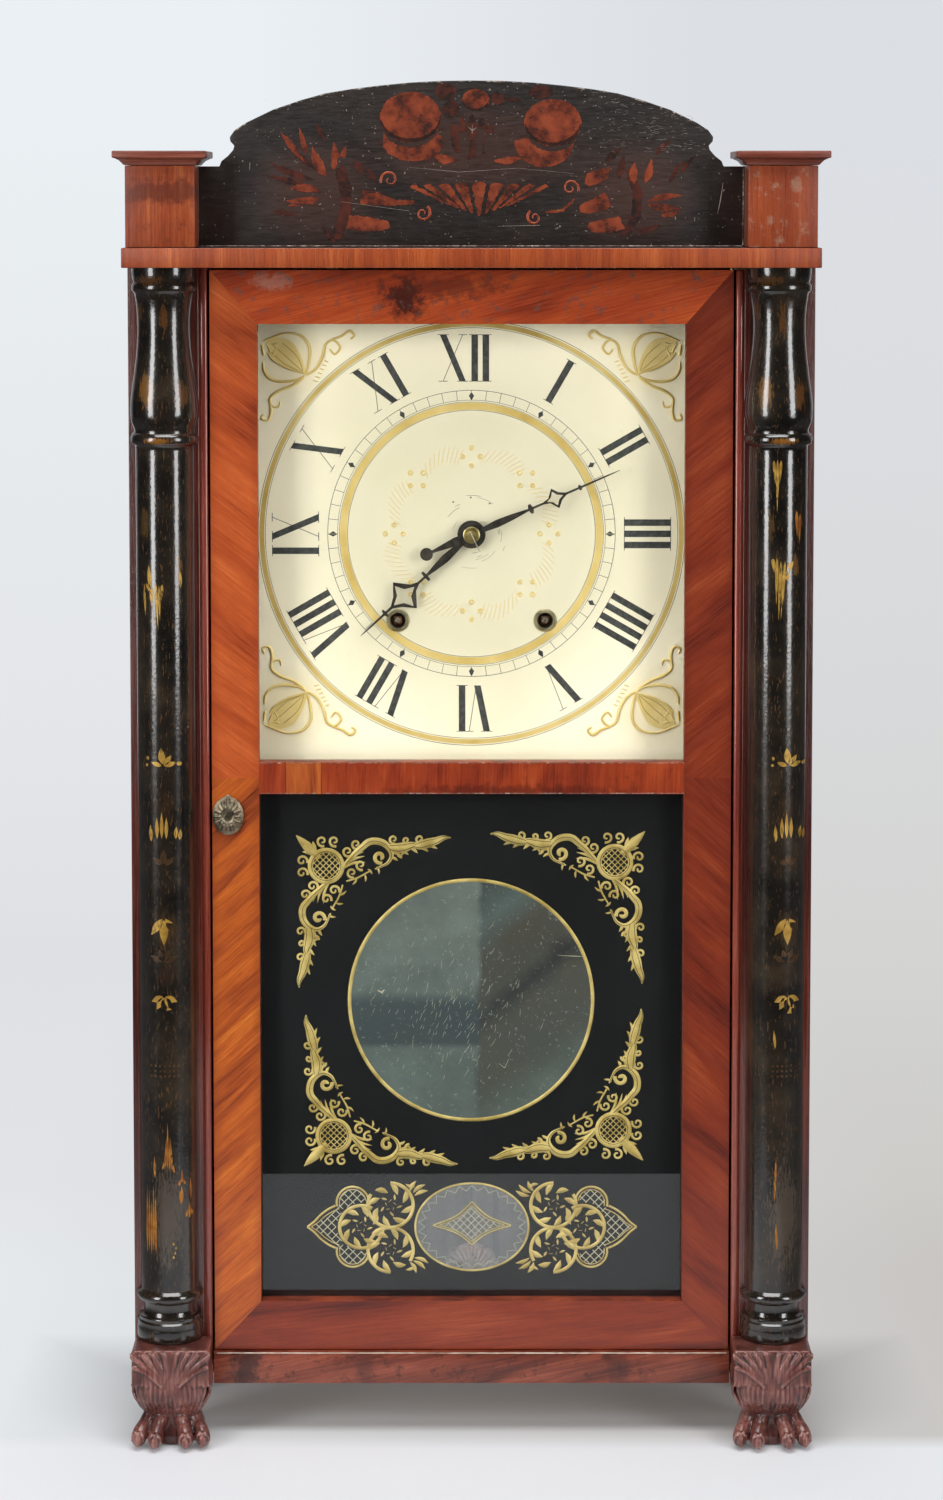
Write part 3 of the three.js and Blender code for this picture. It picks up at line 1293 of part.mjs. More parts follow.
// A diamond with hollow sides between two points on the hand's middle line.
function diamondHole(low, high, half, hollow) {
  const middle = (low + high) / 2;
  const quarter = (high - low) / 4;
  return [
    [0, low],
    [half / 2 - hollow, middle - quarter + hollow],
    [half, middle],
    [half / 2 - hollow, middle + quarter - hollow],
    [0, high],
    [hollow - half / 2, middle + quarter - hollow],
    [-half, middle],
    [hollow - half / 2, middle - quarter + hollow],
  ];
}

const MINUTE_SHARES = [
  [0.05, 0.012],
  [0.1, 0.017],
  [0.17, 0.024],
  [0.28, 0.018],
  [0.385, 0.007],
  [0.393, 0.03],
  [0.409, 0.03],
  [0.417, 0.007],
  [0.485, 0.0065],
  [0.525, 0.016],
  [0.565, 0.066],
  [0.6, 0.026],
  [0.64, 0.007],
  [0.722, 0.0065],
  [0.726, 0.017],
  [0.738, 0.017],
  [0.742, 0.0065],
  [0.9, 0.005],
  [1, 0.0015],
];
const MINUTE_DIAMOND_SHARES = diamondHole(0.51, 0.617, 0.046, 0.006);
const HOUR_SHARES = [
  [0.07, 0.014],
  [0.15, 0.022],
  [0.24, 0.028],
  [0.33, 0.018],
  [0.4, 0.008],
  [0.404, 0.037],
  [0.42, 0.037],
  [0.424, 0.008],
  [0.48, 0.008],
  [0.525, 0.028],
  [0.6, 0.117],
  [0.665, 0.045],
  [0.72, 0.009],
  [0.768, 0.008],
  [0.772, 0.028],
  [0.785, 0.028],
  [0.79, 0.008],
  [0.93, 0.006],
  [1, 0.002],
];
const HOUR_DIAMOND_SHARES = diamondHole(0.515, 0.7, 0.092, 0.013);

// The tail of the minute hand: a short leaf and a round ball.
function minuteTail() {
  const TAIL_SHARES = [[0.1, 0.06], [0.35, 0.09], [0.6, 0.06], [0.85, 0.03], [1, 0.03]];
  const right = TAIL_SHARES.map(([along, half]) => [half * MINUTE_HAND_TAIL, -along * MINUTE_HAND_TAIL]);
  const left = right.map(([x, z]) => [-x, z]).reverse();
  return [
    polygon([...right, ...left].reverse()),
    polygon(circle(0, -MINUTE_HAND_TAIL, MINUTE_BALL_RADIUS, 16)),
  ];
}

function makeHands() {
  const room = ARBOR_RADIUS + GAP;
  const turned = (geometry, angle, depth) =>
    geometry
      .translate(0, -FACE_Y, 0)
      .rotateY(THREE.MathUtils.degToRad(angle))
      .translate(0, behind(depth), DIAL_Z);
  const bore = (depth0, depth1) => bar(0, DIAL_Z, room, depth0 - OVERRUN, depth1 + OVERRUN);
  const minute = hand(
    MINUTE_HAND_LENGTH,
    MINUTE_BOSS_RADIUS,
    MINUTE_SHARES,
    MINUTE_DIAMOND_SHARES,
    minuteTail(),
  );
  const minuteBack = MINUTE_HAND_DEPTH + HAND_THICKNESS;
  place(
    "minute_hand",
    cut(turned(minute, MINUTE_HAND_ANGLE, MINUTE_HAND_DEPTH), bore(MINUTE_HAND_DEPTH, minuteBack)),
    BRONZED_STEEL,
  );
  const hour = hand(HOUR_HAND_LENGTH, HOUR_BOSS_RADIUS, HOUR_SHARES, HOUR_DIAMOND_SHARES, []);
  const hourDepth = MINUTE_HAND_DEPTH + HAND_SPACING;
  const pipeBack = hourDepth + HOUR_PIPE_LENGTH;
  const whole = join(
    turned(hour, HOUR_HAND_ANGLE, hourDepth),
    bar(0, DIAL_Z, HOUR_PIPE_RADIUS, hourDepth, pipeBack),
  );
  place("hour_hand", cut(whole, bore(hourDepth, pipeBack)), BRONZED_STEEL);
}

// Weights, cords and pulleys

function makeDrive() {
  const weightZ = FLOOR_TOP + GAP;
  const eyeTop = WEIGHT_HEIGHT + WEIGHT_NECK_HEIGHT + 2 * WEIGHT_EYE_RADIUS + WEIGHT_EYE_WIRE;
  for (const [word, side] of SIDES) {
    place(`weight_${word}`, weight(), IRON, side * WEIGHT_OFFSET, behind(CORD_DEPTH), weightZ);
    const cordEnd = weightZ + eyeTop + GAP;
    place(`cord_${word}`, cord(side, cordEnd), LINEN);
    place(
      `pulley_${word}`,
      join(
        turnedBack(pulleyProfile(), side * PULLEY_X, PULLEY_Z, 16),
        bar(
          side * PULLEY_X,
          PULLEY_Z,
          PULLEY_AXLE_RADIUS,
          CORD_DEPTH - PULLEY_AXLE_LENGTH / 2,
          CORD_DEPTH + PULLEY_AXLE_LENGTH / 2,
          8,
        ),
      ),
      BRASS,
    );
  }
}

function weight() {
  const chamfer = WEIGHT_RADIUS / 10;
  const neckTop = WEIGHT_HEIGHT + WEIGHT_NECK_HEIGHT;
  const body = turnedUp(
    [
      [0, 0],
      [WEIGHT_RADIUS - chamfer, 0],
      [WEIGHT_RADIUS, chamfer],
      [WEIGHT_RADIUS, WEIGHT_HEIGHT - chamfer],
      [WEIGHT_RADIUS - chamfer, WEIGHT_HEIGHT],
      [WEIGHT_NECK_RADIUS, WEIGHT_HEIGHT],
      [WEIGHT_NECK_RADIUS, neckTop],
      [0, neckTop],
    ],
    20,
  );
  const eye = new THREE.TorusGeometry(WEIGHT_EYE_RADIUS, WEIGHT_EYE_WIRE, 6, 14);
  eye.rotateX(Math.PI / 2).translate(0, 0, neckTop + WEIGHT_EYE_RADIUS);
  return join(body, eye);
}

function pulleyProfile() {
  const half = PULLEY_THICKNESS / 2;
  const groove = PULLEY_PITCH_RADIUS - CORD_RADIUS - GAP;
  const lip = CORD_RADIUS + GAP;
  return [
    [0, CORD_DEPTH - half],
    [PULLEY_RADIUS, CORD_DEPTH - half],
    [PULLEY_RADIUS, CORD_DEPTH - lip - GAP],
    [groove, CORD_DEPTH - lip / 2],
    [groove, CORD_DEPTH + lip / 2],
    [PULLEY_RADIUS, CORD_DEPTH + lip + GAP],
    [PULLEY_RADIUS, CORD_DEPTH + half],
    [0, CORD_DEPTH + half],
  ];
}

// The whole cord: up from the weight, over the pulley and down to the drum.
function cord(side, end) {
  const { turn, drum: drumEnd } = cordTangent();
  const steps = 10;
  const stop = turn + Math.PI;
  const over = Array.from({ length: steps + 1 }, (_, i) => {
    const angle = (stop * i) / steps;
    return [
      PULLEY_X + PULLEY_PITCH_RADIUS * Math.cos(angle),
      PULLEY_Z + PULLEY_PITCH_RADIUS * Math.sin(angle),
    ];
  });
  const route = [[WEIGHT_OFFSET, end], ...over, drumEnd];
  const sides = 8;
  const rings = route.map(([x, z], i) => {
    const [bx, bz] = route[Math.max(i - 1, 0)];
    const [ax, az] = route[Math.min(i + 1, route.length - 1)];
    const length = Math.hypot(ax - bx, az - bz);
    const [nx, nz] = [-(az - bz) / length, (ax - bx) / length];
    return Array.from({ length: sides }, (_, j) => {
      const angle = (-side * 2 * Math.PI * j) / sides;
      const [out, back] = [CORD_RADIUS * Math.cos(angle), CORD_RADIUS * Math.sin(angle)];
      return [side * (x + nx * out), behind(CORD_DEPTH) + back, z + nz * out];
    });
  });
  return loft(rings);
}

makeCase();
makeTop();
makeColumns();
makeFeet();
makeDoor();
makePlates();
makeChutes();
makeTimeTrain();
makeStrikeTrain();
makePendulum();
makeDial();
makeHands();
makeDrive();

export default clock;
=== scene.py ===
# Looks for a column and splat shelf clock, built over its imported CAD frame.
# Sizes are written in millimetres and turned to metres where they reach Blender.

import math
import random

import bpy
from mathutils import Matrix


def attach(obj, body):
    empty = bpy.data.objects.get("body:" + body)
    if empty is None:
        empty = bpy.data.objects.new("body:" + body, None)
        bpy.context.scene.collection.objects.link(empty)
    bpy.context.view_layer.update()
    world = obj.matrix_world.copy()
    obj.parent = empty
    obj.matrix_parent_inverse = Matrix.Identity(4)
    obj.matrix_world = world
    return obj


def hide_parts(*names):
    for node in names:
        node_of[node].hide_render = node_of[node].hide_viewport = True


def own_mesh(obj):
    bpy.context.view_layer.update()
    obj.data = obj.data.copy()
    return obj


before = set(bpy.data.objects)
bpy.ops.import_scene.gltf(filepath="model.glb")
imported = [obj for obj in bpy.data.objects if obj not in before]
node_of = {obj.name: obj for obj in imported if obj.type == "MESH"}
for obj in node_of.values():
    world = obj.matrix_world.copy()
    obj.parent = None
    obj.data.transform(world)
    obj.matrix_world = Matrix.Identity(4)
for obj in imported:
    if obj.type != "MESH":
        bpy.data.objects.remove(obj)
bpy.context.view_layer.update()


# Camera
# A long lens stands level with the dial and tips down a little; its shift stands for the crop of
# the picture, which keeps the clock's uprights where they fall in it.

bpy.ops.object.camera_add(location=(0, -2.28825, 0.8194), rotation=(math.radians(85.73), 0, 0))
camera = bpy.context.object
camera.name = "camera"
camera.data.lens = 83.52
camera.data.shift_y = -0.2
bpy.context.scene.camera = camera


# Weight cords
# Each weight hangs on a hard-twisted two-ply linen cord that rises to a pulley in the top board,
# passes over it and runs down across the case to the winding drum. It is always drawn tight.

MM = 0.001
SIDES = (("left", -1), ("right", 1))
CORD_Y = 33.86
CORD_HANG_X = 152.36
CORD_FOOT = 179.6
PULLEY_X, PULLEY_Z, PULLEY_PITCH = 144.86, 773.4, 7.5
CORD_PULLEY_END, CORD_DRUM_END = (137.72, 775.7), (60.2, 533.0)
CORD_RADIUS, PLY_RADIUS, PLY_LAY = 1.0, 0.55, 7.0
PLY_STEP, YARN_SLANT = 0.9, 0.5
LINEN_LIGHT, LINEN_MIDDLE, LINEN_DARK = "#C9BC9C", "#A8987A", "#7C6C50"


def colour(code):
    """The linear colour of an sRGB hex value."""
    parts = [int(code[i : i + 2], 16) / 255 for i in (1, 3, 5)]
    return [p / 12.92 if p <= 0.04045 else ((p + 0.055) / 1.055) ** 2.4 for p in parts] + [1.0]


def add(finish, kind, sockets=None, stops=None, **settings):
    """One shader node with its settings, its values and the nodes that feed it."""
    node = finish.node_tree.nodes.new("ShaderNode" + kind)
    for key, value in settings.items():
        setattr(node, key, value)
    for key, value in (sockets or {}).items():
        if isinstance(value, bpy.types.Node):
            value = value.outputs[0]
        if isinstance(value, bpy.types.NodeSocket):
            finish.node_tree.links.new(value, node.inputs[key])
        else:
            node.inputs[key].default_value = colour(value) if isinstance(value, str) else value
    if stops:
        band = node.color_ramp.elements
        while len(band) < len(stops):
            band.new(0.5)
        for mark, (place, shade) in zip(band, stops):
            mark.position = place
            mark.color = colour(shade) if isinstance(shade, str) else (shade, shade, shade, 1)
    return node


def new_finish(name):
    """A finish without nodes yet, and the coordinates that its patterns follow."""
    finish = bpy.data.materials.new(name)
    finish.use_nodes = True
    finish.node_tree.nodes.clear()
    return finish, add(finish, "TexCoord").outputs["Object"]


def surface(finish, sockets):
    """Ends a finish with one skin that has these values."""
    skin = add(finish, "BsdfPrincipled", sockets)
    add(finish, "OutputMaterial", {"Surface": skin})
    return finish


def streaks(finish, here, size, turn=(0, 0, 0), shift=(0, 0, 0), **sockets):
    """Noise drawn out along Z before it is turned; size is (across, along) in millimetres."""
    stretch = (size[0] * MM, size[0] * MM, size[1] * MM)
    at = {"Vector": here, "Location": shift, "Rotation": turn, "Scale": stretch}
    laid = add(finish, "Mapping", at, vector_type="TEXTURE")
    return add(finish, "TexNoise", {"Vector": laid, "Scale": 1.0, **sockets})


def let_go():
    """Goes to object mode with nothing selected."""
    if bpy.context.mode != "OBJECT":
        bpy.ops.object.mode_set(mode="OBJECT")
    bpy.ops.object.select_all(action="DESELECT")


def take(piece):
    """Selects one piece and nothing else."""
    let_go()
    piece.select_set(True)
    bpy.context.view_layer.objects.active = piece
    return piece


def rods(runs, round_steps=2):
    """Round rods along runs of (x, y, z, radius) points, as one mesh."""
    line = bpy.data.curves.new("rods", "CURVE")
    line.dimensions = "3D"
    line.bevel_depth = MM
    line.bevel_resolution = round_steps
    line.use_fill_caps = True
    for run in runs:
        spline = line.splines.new("POLY")
        spline.points.add(len(run) - 1)
        for point, (x, y, z, radius) in zip(spline.points, run):
            point.co = (x * MM, y * MM, z * MM, 1)
            point.radius = radius
    piece = bpy.data.objects.new("rods", line)
    bpy.context.collection.objects.link(piece)
    take(piece)
    bpy.ops.object.convert(target="MESH")
    return bpy.context.object


def settle(piece, name, body, finish, stands_for=(), smooth=35):
    """Puts a piece's place into its mesh, names and paints it, and hangs it on its body."""
    take(piece)
    bpy.ops.object.transform_apply(location=True, rotation=True, scale=True)
    if smooth:
        bpy.ops.object.shade_smooth_by_angle(angle=math.radians(smooth))
    piece.name = piece.data.name = name
    if finish:
        piece.data.materials.clear()
        piece.data.materials.append(finish)
    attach(piece, body)
    if stands_for:
        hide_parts(*stands_for)
    return piece


# Linen: pale, dull and fibrous. The two plies are modelled; the finish adds the yarn's own streaks.
linen, linen_at = new_finish("twisted linen cord")
yarn = streaks(linen, linen_at, (0.3, 1.8), (0, YARN_SLANT, 0), Detail=2.0)
shades = add(
    linen, "ValToRGB", {"Fac": yarn}, stops=[(0.38, LINEN_DARK), (0.5, LINEN_MIDDLE), (0.62, LINEN_LIGHT)])
bump = add(linen, "Bump", {"Height": yarn, "Strength": 0.5, "Distance": 0.0001})
surface(linen, {"Base Color": shades, "Roughness": 0.9, "Normal": bump})


def twisted(path):
    """Two plies wound round a path in the X-Z plane."""
    gone, runs = 0.0, ([], [])
    for (x0, z0), (x1, z1) in zip(path, path[1:]):
        length = math.hypot(x1 - x0, z1 - z0)
        steps = max(1, round(length / PLY_STEP))
        nx, nz = -(z1 - z0) / length, (x1 - x0) / length
        for i in range(steps + (x1 == path[-1][0] and z1 == path[-1][1])):
            share = i / steps
            turn = 2 * math.pi * (gone + share * length) / PLY_LAY
            for ply, run in enumerate(runs):
                out = (CORD_RADIUS - PLY_RADIUS) * math.cos(turn + ply * math.pi)
                back = (CORD_RADIUS - PLY_RADIUS) * math.sin(turn + ply * math.pi)
                run.append((x0 + share * (x1 - x0) + nx * out, CORD_Y + back,
                            z0 + share * (z1 - z0) + nz * out, PLY_RADIUS))
        gone += length
    return list(runs), gone


def sweep(x, z, wide, high, start, end, count):
    """Points along part of an oval about (x, z), from one angle to another in degrees."""
    turns = [math.radians(start + (end - start) * i / count) for i in range(count + 1)]
    return [(x + wide * math.cos(t), z + high * math.sin(t)) for t in turns]


def between(start, end, count):
    """Evenly spaced points from one place to another."""
    return [tuple(a + (b - a) * i / count for a, b in zip(start, end)) for i in range(count + 1)]


leaves_pulley = math.degrees(math.atan2(CORD_PULLEY_END[1] - PULLEY_Z, CORD_PULLEY_END[0] - PULLEY_X))
bend = sweep(PULLEY_X, PULLEY_Z, PULLEY_PITCH, PULLEY_PITCH, 0, leaves_pulley, 14)
hanging = between((CORD_HANG_X, CORD_FOOT), (CORD_HANG_X, PULLEY_Z), 24)
fixed = bend + between(CORD_PULLEY_END, CORD_DRUM_END, 12)[1:]
for word, side in SIDES:
    for part, line in (("hanging", hanging), ("fixed", fixed)):
        path = [(side * x, z) for x, z in line]
        plies, length = twisted(path)
        run = settle(rods(plies, 1), f"cord_{part}_{word}", "case", linen, [f"cord_{word}"],
                     smooth=60)
        x, z = path[0]
        if part == "hanging":
            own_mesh(run)


# Studio
# A white table runs back to a pale backdrop. Their tints hold painted shade: darker to the right,
# darker on the paper behind the clock than on the table before it, and lighter up the backdrop.
# Two tall softboxes stand at the left and right and one broad light hangs in front, at a level
# that leaves colours be.

TABLE_FRONT, PAPER_END, WALL_Y, WALL_HEIGHT, PAPER_WIDTH = -0.62, -3.2, 3.2, 5, 8
CASE_HALF, CASE_BACK, CASE_FRONT = 0.205, 0.05, 0.2
TINT_REACH, OWN_TINT_FROM, OWN_TINT_TO = 0.36, 0.005, 0.11
# Painted shade: the right, the sweep behind the clock and the table's front are tinted darker.
WALL_LEFT, WALL_RIGHT_SHADED = ("#E4E6EA", "#E7EBEE", "#EBF0F4"), ("#D8D9DA", "#DCDDE0", "#DCDFE4")
SWEEP_LEFT_SHADED = ("#E5E9EC", "#E2E3E7", "#DFE0E4", "#E2E3E7")
SWEEP_RIGHT_SHADED = ("#C8C5C2", "#CDCCC9", "#D4D4D3", "#D6D6D6")
NEAR_LEFT, NEAR_RIGHT, TABLE_FRONT_PAINTED_SHADE = "#ECEDF1", "#E7E9EC", "#C4C6CA"
ROOM_SOFT, ROOM_DARK = ("#E9ECEF", 0.17), ("#4A4A4E", 0.3)


def paper(name, own_light, along, marks, left, right, gleam):
    """Paper whose tint runs along an axis at marks, from its left tints to its right ones; the tints hold
    painted shade.

    Under the clock it shows its shadow; away from it it turns to an even tint of its own. Gleams see
    the table only in front of the clock and as far aside as gleam, as if the room began there.
    """
    finish, here = new_finish(name)
    apart = add(finish, "SeparateXYZ", {"Vector": here})
    share = add(
        finish, "MapRange", {"Value": apart.outputs[along], "From Min": marks[0], "From Max": marks[-1]})
    places = [(mark - marks[0]) / (marks[-1] - marks[0]) for mark in marks]
    ends = [add(finish, "ValToRGB", {"Fac": share}, stops=list(zip(places, tints)))
            for tints in (left, right)]
    across = add(
        finish, "MapRange", {"Value": apart.outputs["X"], "From Min": -TINT_REACH, "From Max": TINT_REACH})
    tint = add(finish, "MixRGB", {"Fac": across, "Color1": ends[0], "Color2": ends[1]})
    ray = add(finish, "LightPath")
    aside = add(finish, "Math", {0: apart.outputs["X"]}, operation="ABSOLUTE")
    aside = add(finish, "Math", {0: aside, 1: CASE_HALF}, operation="SUBTRACT")
    behind = add(finish, "Math", {0: apart.outputs["Y"], 1: CASE_BACK}, operation="SUBTRACT")
    forward = add(finish, "Math", {0: apart.outputs["Y"], 1: -1.0}, operation="MULTIPLY")
    ahead = add(finish, "Math", {0: forward, 1: CASE_FRONT}, operation="SUBTRACT")
    off = add(finish, "Math", {0: aside, 1: behind}, operation="MAXIMUM")
    off = add(finish, "Math", {0: off, 1: ahead}, operation="MAXIMUM")
    far = add(finish, "MapRange", {"Value": off, "From Min": OWN_TINT_FROM, "From Max": OWN_TINT_TO,
                                   "To Min": own_light, "To Max": 1.0})
    seen = add(finish, "Math", {0: ray.outputs["Is Camera Ray"], 1: far}, operation="MULTIPLY")
    # The table's front is tinted darker for the lamps only: painted shade, seen in the glass's reflection.
    front_painted_shade = add(finish, "MapRange", {"Value": forward, "From Min": 0.18, "From Max": 0.3})
    matt_tint_with_painted_shade = add(finish, "MixRGB", {"Fac": front_painted_shade, "Color1": tint, "Color2": TABLE_FRONT_PAINTED_SHADE})
    glow = add(finish, "Emission", {"Color": tint, "Strength": 1.0})
    matt = add(finish, "BsdfDiffuse", {"Color": matt_tint_with_painted_shade})
    mixed = add(finish, "MixShader", {0: seen, 1: matt, 2: glow})
    beyond = add(
        finish, "MapRange", {"Value": aside, "From Min": gleam - 0.2, "From Max": gleam, "To Max": 0.85})
    beyond = add(finish, "Math", {0: ray.outputs["Is Glossy Ray"], 1: beyond}, operation="MULTIPLY")
    past_table = add(finish, "Math", {0: forward, 1: -TABLE_FRONT}, operation="GREATER_THAN")
    unseen = add(finish, "Math", {0: 1.0, 1: ray.outputs["Is Camera Ray"]}, operation="SUBTRACT")
    past_table = add(finish, "Math", {0: past_table, 1: unseen}, operation="MULTIPLY")
    beyond = add(finish, "Math", {0: beyond, 1: past_table}, operation="MAXIMUM")
    soft, dark = (add(finish, "Emission", {"Color": shade, "Strength": level})
                  for shade, level in (ROOM_SOFT, ROOM_DARK))
    room = add(finish, "MixShader", {0: ray.outputs["Is Glossy Ray"], 1: soft, 2: dark})
    mixed = add(finish, "MixShader", {0: beyond, 1: mixed, 2: room})
    add(finish, "OutputMaterial", {"Surface": mixed})
    return finish


def sheet(name, finish, place, size, tip=0.0):
    """One flat sheet of the paper."""
    bpy.ops.mesh.primitive_plane_add(size=1, location=place, rotation=(tip, 0, 0))
    piece = take(bpy.context.object)
    piece.scale = (*size, 1)
    bpy.ops.object.transform_apply(scale=True, location=True, rotation=True)
    piece.name = name
    piece.data.materials.append(finish)
    return piece


SWEEP_MARKS = (-0.07, -0.045, 0.3, 0.54, 1.4, 2.0, WALL_Y)
wall_paper = paper("backdrop paper", 1.0, "Z", (0.0, 0.48, 0.95), WALL_LEFT, WALL_RIGHT_SHADED, gleam=4.0)
sweep_tints_with_painted_shade = [(near, tints[0], *tints, wall[0]) for near, tints, wall in (
    (NEAR_LEFT, SWEEP_LEFT_SHADED, WALL_LEFT), (NEAR_RIGHT, SWEEP_RIGHT_SHADED, WALL_RIGHT_SHADED))]
table_paper = paper("table paper", 0.08, "Y", SWEEP_MARKS, *sweep_tints_with_painted_shade, gleam=0.3)
table = sheet("table", table_paper, (0, (PAPER_END + WALL_Y) / 2, -0.0005), (PAPER_WIDTH, WALL_Y - PAPER_END))
backdrop = sheet("backdrop", wall_paper, (0, WALL_Y, WALL_HEIGHT / 2 - 0.1), (PAPER_WIDTH, WALL_HEIGHT),
                 math.pi / 2)

# The room in front is dark, so what gleams shows the softboxes and little else.
world = bpy.data.worlds.new("studio air")
bpy.context.scene.world = world
world.use_nodes = True
world.node_tree.nodes.clear()
ray = add(world, "LightPath")
soft, dark, pale = (add(world, "Background", {"Color": shade, "Strength": level})
                    for shade, level in (ROOM_SOFT, ROOM_DARK, (WALL_LEFT[0], 1.0)))
mixed = add(world, "MixShader", {0: ray.outputs["Is Glossy Ray"], 1: soft, 2: dark})
mixed = add(world, "MixShader", {0: ray.outputs["Is Camera Ray"], 1: mixed, 2: pale})
add(world, "OutputWorld", {"Surface": mixed})
bpy.context.scene.view_settings.view_transform = "Standard"


def softbox(name, place, aim, size, power):
    """A rectangular light at a place, turned to the point it aims at."""
    bpy.ops.object.light_add(type="AREA", location=place)
    lamp = bpy.context.object
    lamp.name = name
    lamp.data.shape = "RECTANGLE"
    lamp.data.size, lamp.data.size_y = size
    lamp.data.energy = power
    back = lamp.location.copy()
    for axis, value in enumerate(aim):
        back[axis] -= value
    lamp.rotation_euler = back.to_track_quat("Z", "Y").to_euler()


softbox("softbox_left", (-1.95, -1.85, 1.02), (0, 0, 0.7), (0.75, 1.8), 36)
softbox("softbox_right", (1.95, -1.85, 1.02), (0, 0, 0.7), (0.75, 1.8), 31)
softbox("overhead", (0, -0.75, 2.4), (0, -0.1, 0), (1.8, 1.0), 36)


# Case boards
# The box is pine and mahogany: a wide pine back, bottom and weight partitions straight off the
# plane, and stained mahogany sides, all nailed together and dark with age.

PINE_TONES = ("#8C6238", "#A87C4B", "#B98F5C", "#C9A26F")
SIDE_TONES = ("#3A1710", "#54231A", "#6B3020", "#7E3D28")
PORE = (0.35, 8)


def stained(finish, shade, tint, value, low, high, most):
    """A shade that turns towards a tint, by most at most, where a value rises from low to high."""
    share = add(finish, "MapRange", {"Value": value, "From Min": low, "From Max": high, "To Max": most})
    return add(finish, "MixRGB", {"Fac": share, "Color1": shade, "Color2": tint})


def round_spot(finish, here, middle, halves):
    """A value that is 1 in the middle of a round spot and falls to 0 at its edge."""
    at = {"Vector": here, "Location": [a * MM for a in middle],
          "Scale": (halves[0] * MM, 1.0, halves[1] * MM)}
    laid = add(finish, "Mapping", at, vector_type="TEXTURE")
    return add(finish, "TexGradient", {"Vector": laid}, gradient_type="SPHERICAL")


def timber(name, tones, turn=0, figure=(20, 260), streak=(1.5, 70), sheen=0.35, coat=0.0, polish=0.16,
           seed=0.0, swirl=0.5, fleck=0.5, spread=0.14, spots=(), edge_darkening=None):
    """Wood whose grain runs along Z before it is turned: broad figure, fine streaks and open pores.

    Sizes are (across, along) in millimetres; turn is in degrees about Y. A spot is
    (x, z, half width, half height, shade, strength). Edge darkening is (axis, middle, half width):
    a strip, mirrored left to right, that darkens to its two edges.
    """
    finish, here = new_finish(name)
    lay = {"turn": (0, math.radians(turn), 0), "shift": (seed, 0.7 * seed, 0.4 * seed)}
    broad = streaks(finish, here, figure, **lay, Detail=3.0, Distortion=swirl)
    fine = streaks(finish, here, streak, **lay, Detail=5.0, Roughness=0.6)
    pores = streaks(finish, here, PORE, **lay, Detail=1.0)
    half = add(finish, "Math", {0: broad, 1: 0.62}, operation="MULTIPLY")
    mixed = add(finish, "Math", {0: fine, 1: 0.38, 2: half}, operation="MULTIPLY_ADD")
    marks = (0.5 - spread, 0.5 - spread / 3, 0.5 + spread / 3, 0.5 + spread)
    shade = add(finish, "ValToRGB", {"Fac": mixed}, stops=list(zip(marks, tones)))
    if edge_darkening:
        axis, middle, half = edge_darkening
        apart = add(finish, "SeparateXYZ", {"Vector": here}).outputs[axis]
        level = add(finish, "Math", {0: apart}, operation="ABSOLUTE")
        level = add(finish, "Math", {0: level, 1: middle * MM}, operation="SUBTRACT")
        level = add(finish, "Math", {0: level}, operation="ABSOLUTE")
        level = add(finish, "MapRange", {"Value": level, "From Min": (half - 6) * MM, "From Max": half * MM,
                                         "To Max": 0.5})
        level = add(finish, "Math", {0: level, 1: broad}, operation="MULTIPLY")
        shade = add(finish, "MixRGB", {"Fac": level, "Color1": shade, "Color2": tones[0]})
    for x, z, wide, high, tint, strength in spots:
        ball = round_spot(finish, here, (x, 0, z), (wide, high))
        blot = add(finish, "TexNoise", {"Vector": here, "Scale": 150.0, "Detail": 6.0, "Roughness": 0.7})
        broken = add(finish, "Math", {0: ball, 1: 0.4, 2: blot}, operation="MULTIPLY_ADD")
        shade = stained(finish, shade, tint, broken, 0.56, 0.76, strength)
    holes = add(finish, "MapRange", {"Value": pores, "From Min": 0.56, "From Max": 0.7, "To Max": fleck})
    shade = add(finish, "MixRGB", {"Fac": holes, "Color1": shade, "Color2": tones[0]})
    rough = add(finish, "MapRange", {"Value": fine, "From Min": 0.3, "From Max": 0.7,
                                     "To Min": sheen - 0.05, "To Max": sheen + 0.1})
    height = add(finish, "Math", {0: fine, 1: holes}, operation="SUBTRACT")
    bump = add(finish, "Bump", {"Height": height, "Strength": 0.25, "Distance": 0.00015})
    return surface(finish, {"Base Color": shade, "Roughness": rough, "Normal": bump, "Coat Weight": coat,
                            "Coat Roughness": polish})


# Pine: knotless, yellowed by age, dull off the plane. Growth bands some 4 mm wide.
pine_upright = timber("planed pine, grain upright", PINE_TONES, figure=(9, 300), streak=(0.8, 60),
                      sheen=0.7, fleck=0.15)
pine_across = timber("planed pine, grain across", PINE_TONES, turn=90, figure=(9, 300), streak=(0.8, 60),
                     sheen=0.7, fleck=0.15)
# Mahogany stained nearly brown and varnished, so it shines softly over a dark straight grain.
side_mahogany = timber("stained mahogany sides", SIDE_TONES, figure=(24, 380), sheen=0.38, coat=0.25)


def dress(finish, *nodes):
    """Gives a finish to CAD solids that keep their own shapes."""
    for node in nodes:
        node_of[node].material_slots[0].material = finish


dress(pine_upright, "backboard", "chute_board_left", "chute_board_right")
dress(pine_across, "bottom_board")
dress(side_mahogany, "side_left", "side_right")


# Stiles and base rail
# Dark mahogany stiles carry a scratched bead along the door opening; their tones are kept dark as
# painted shade beside the columns, and the bead's lighter tones are a painted highlight. The base rail
# under the door is veneered pine whose top edge has been rubbed bare and pale by the door.

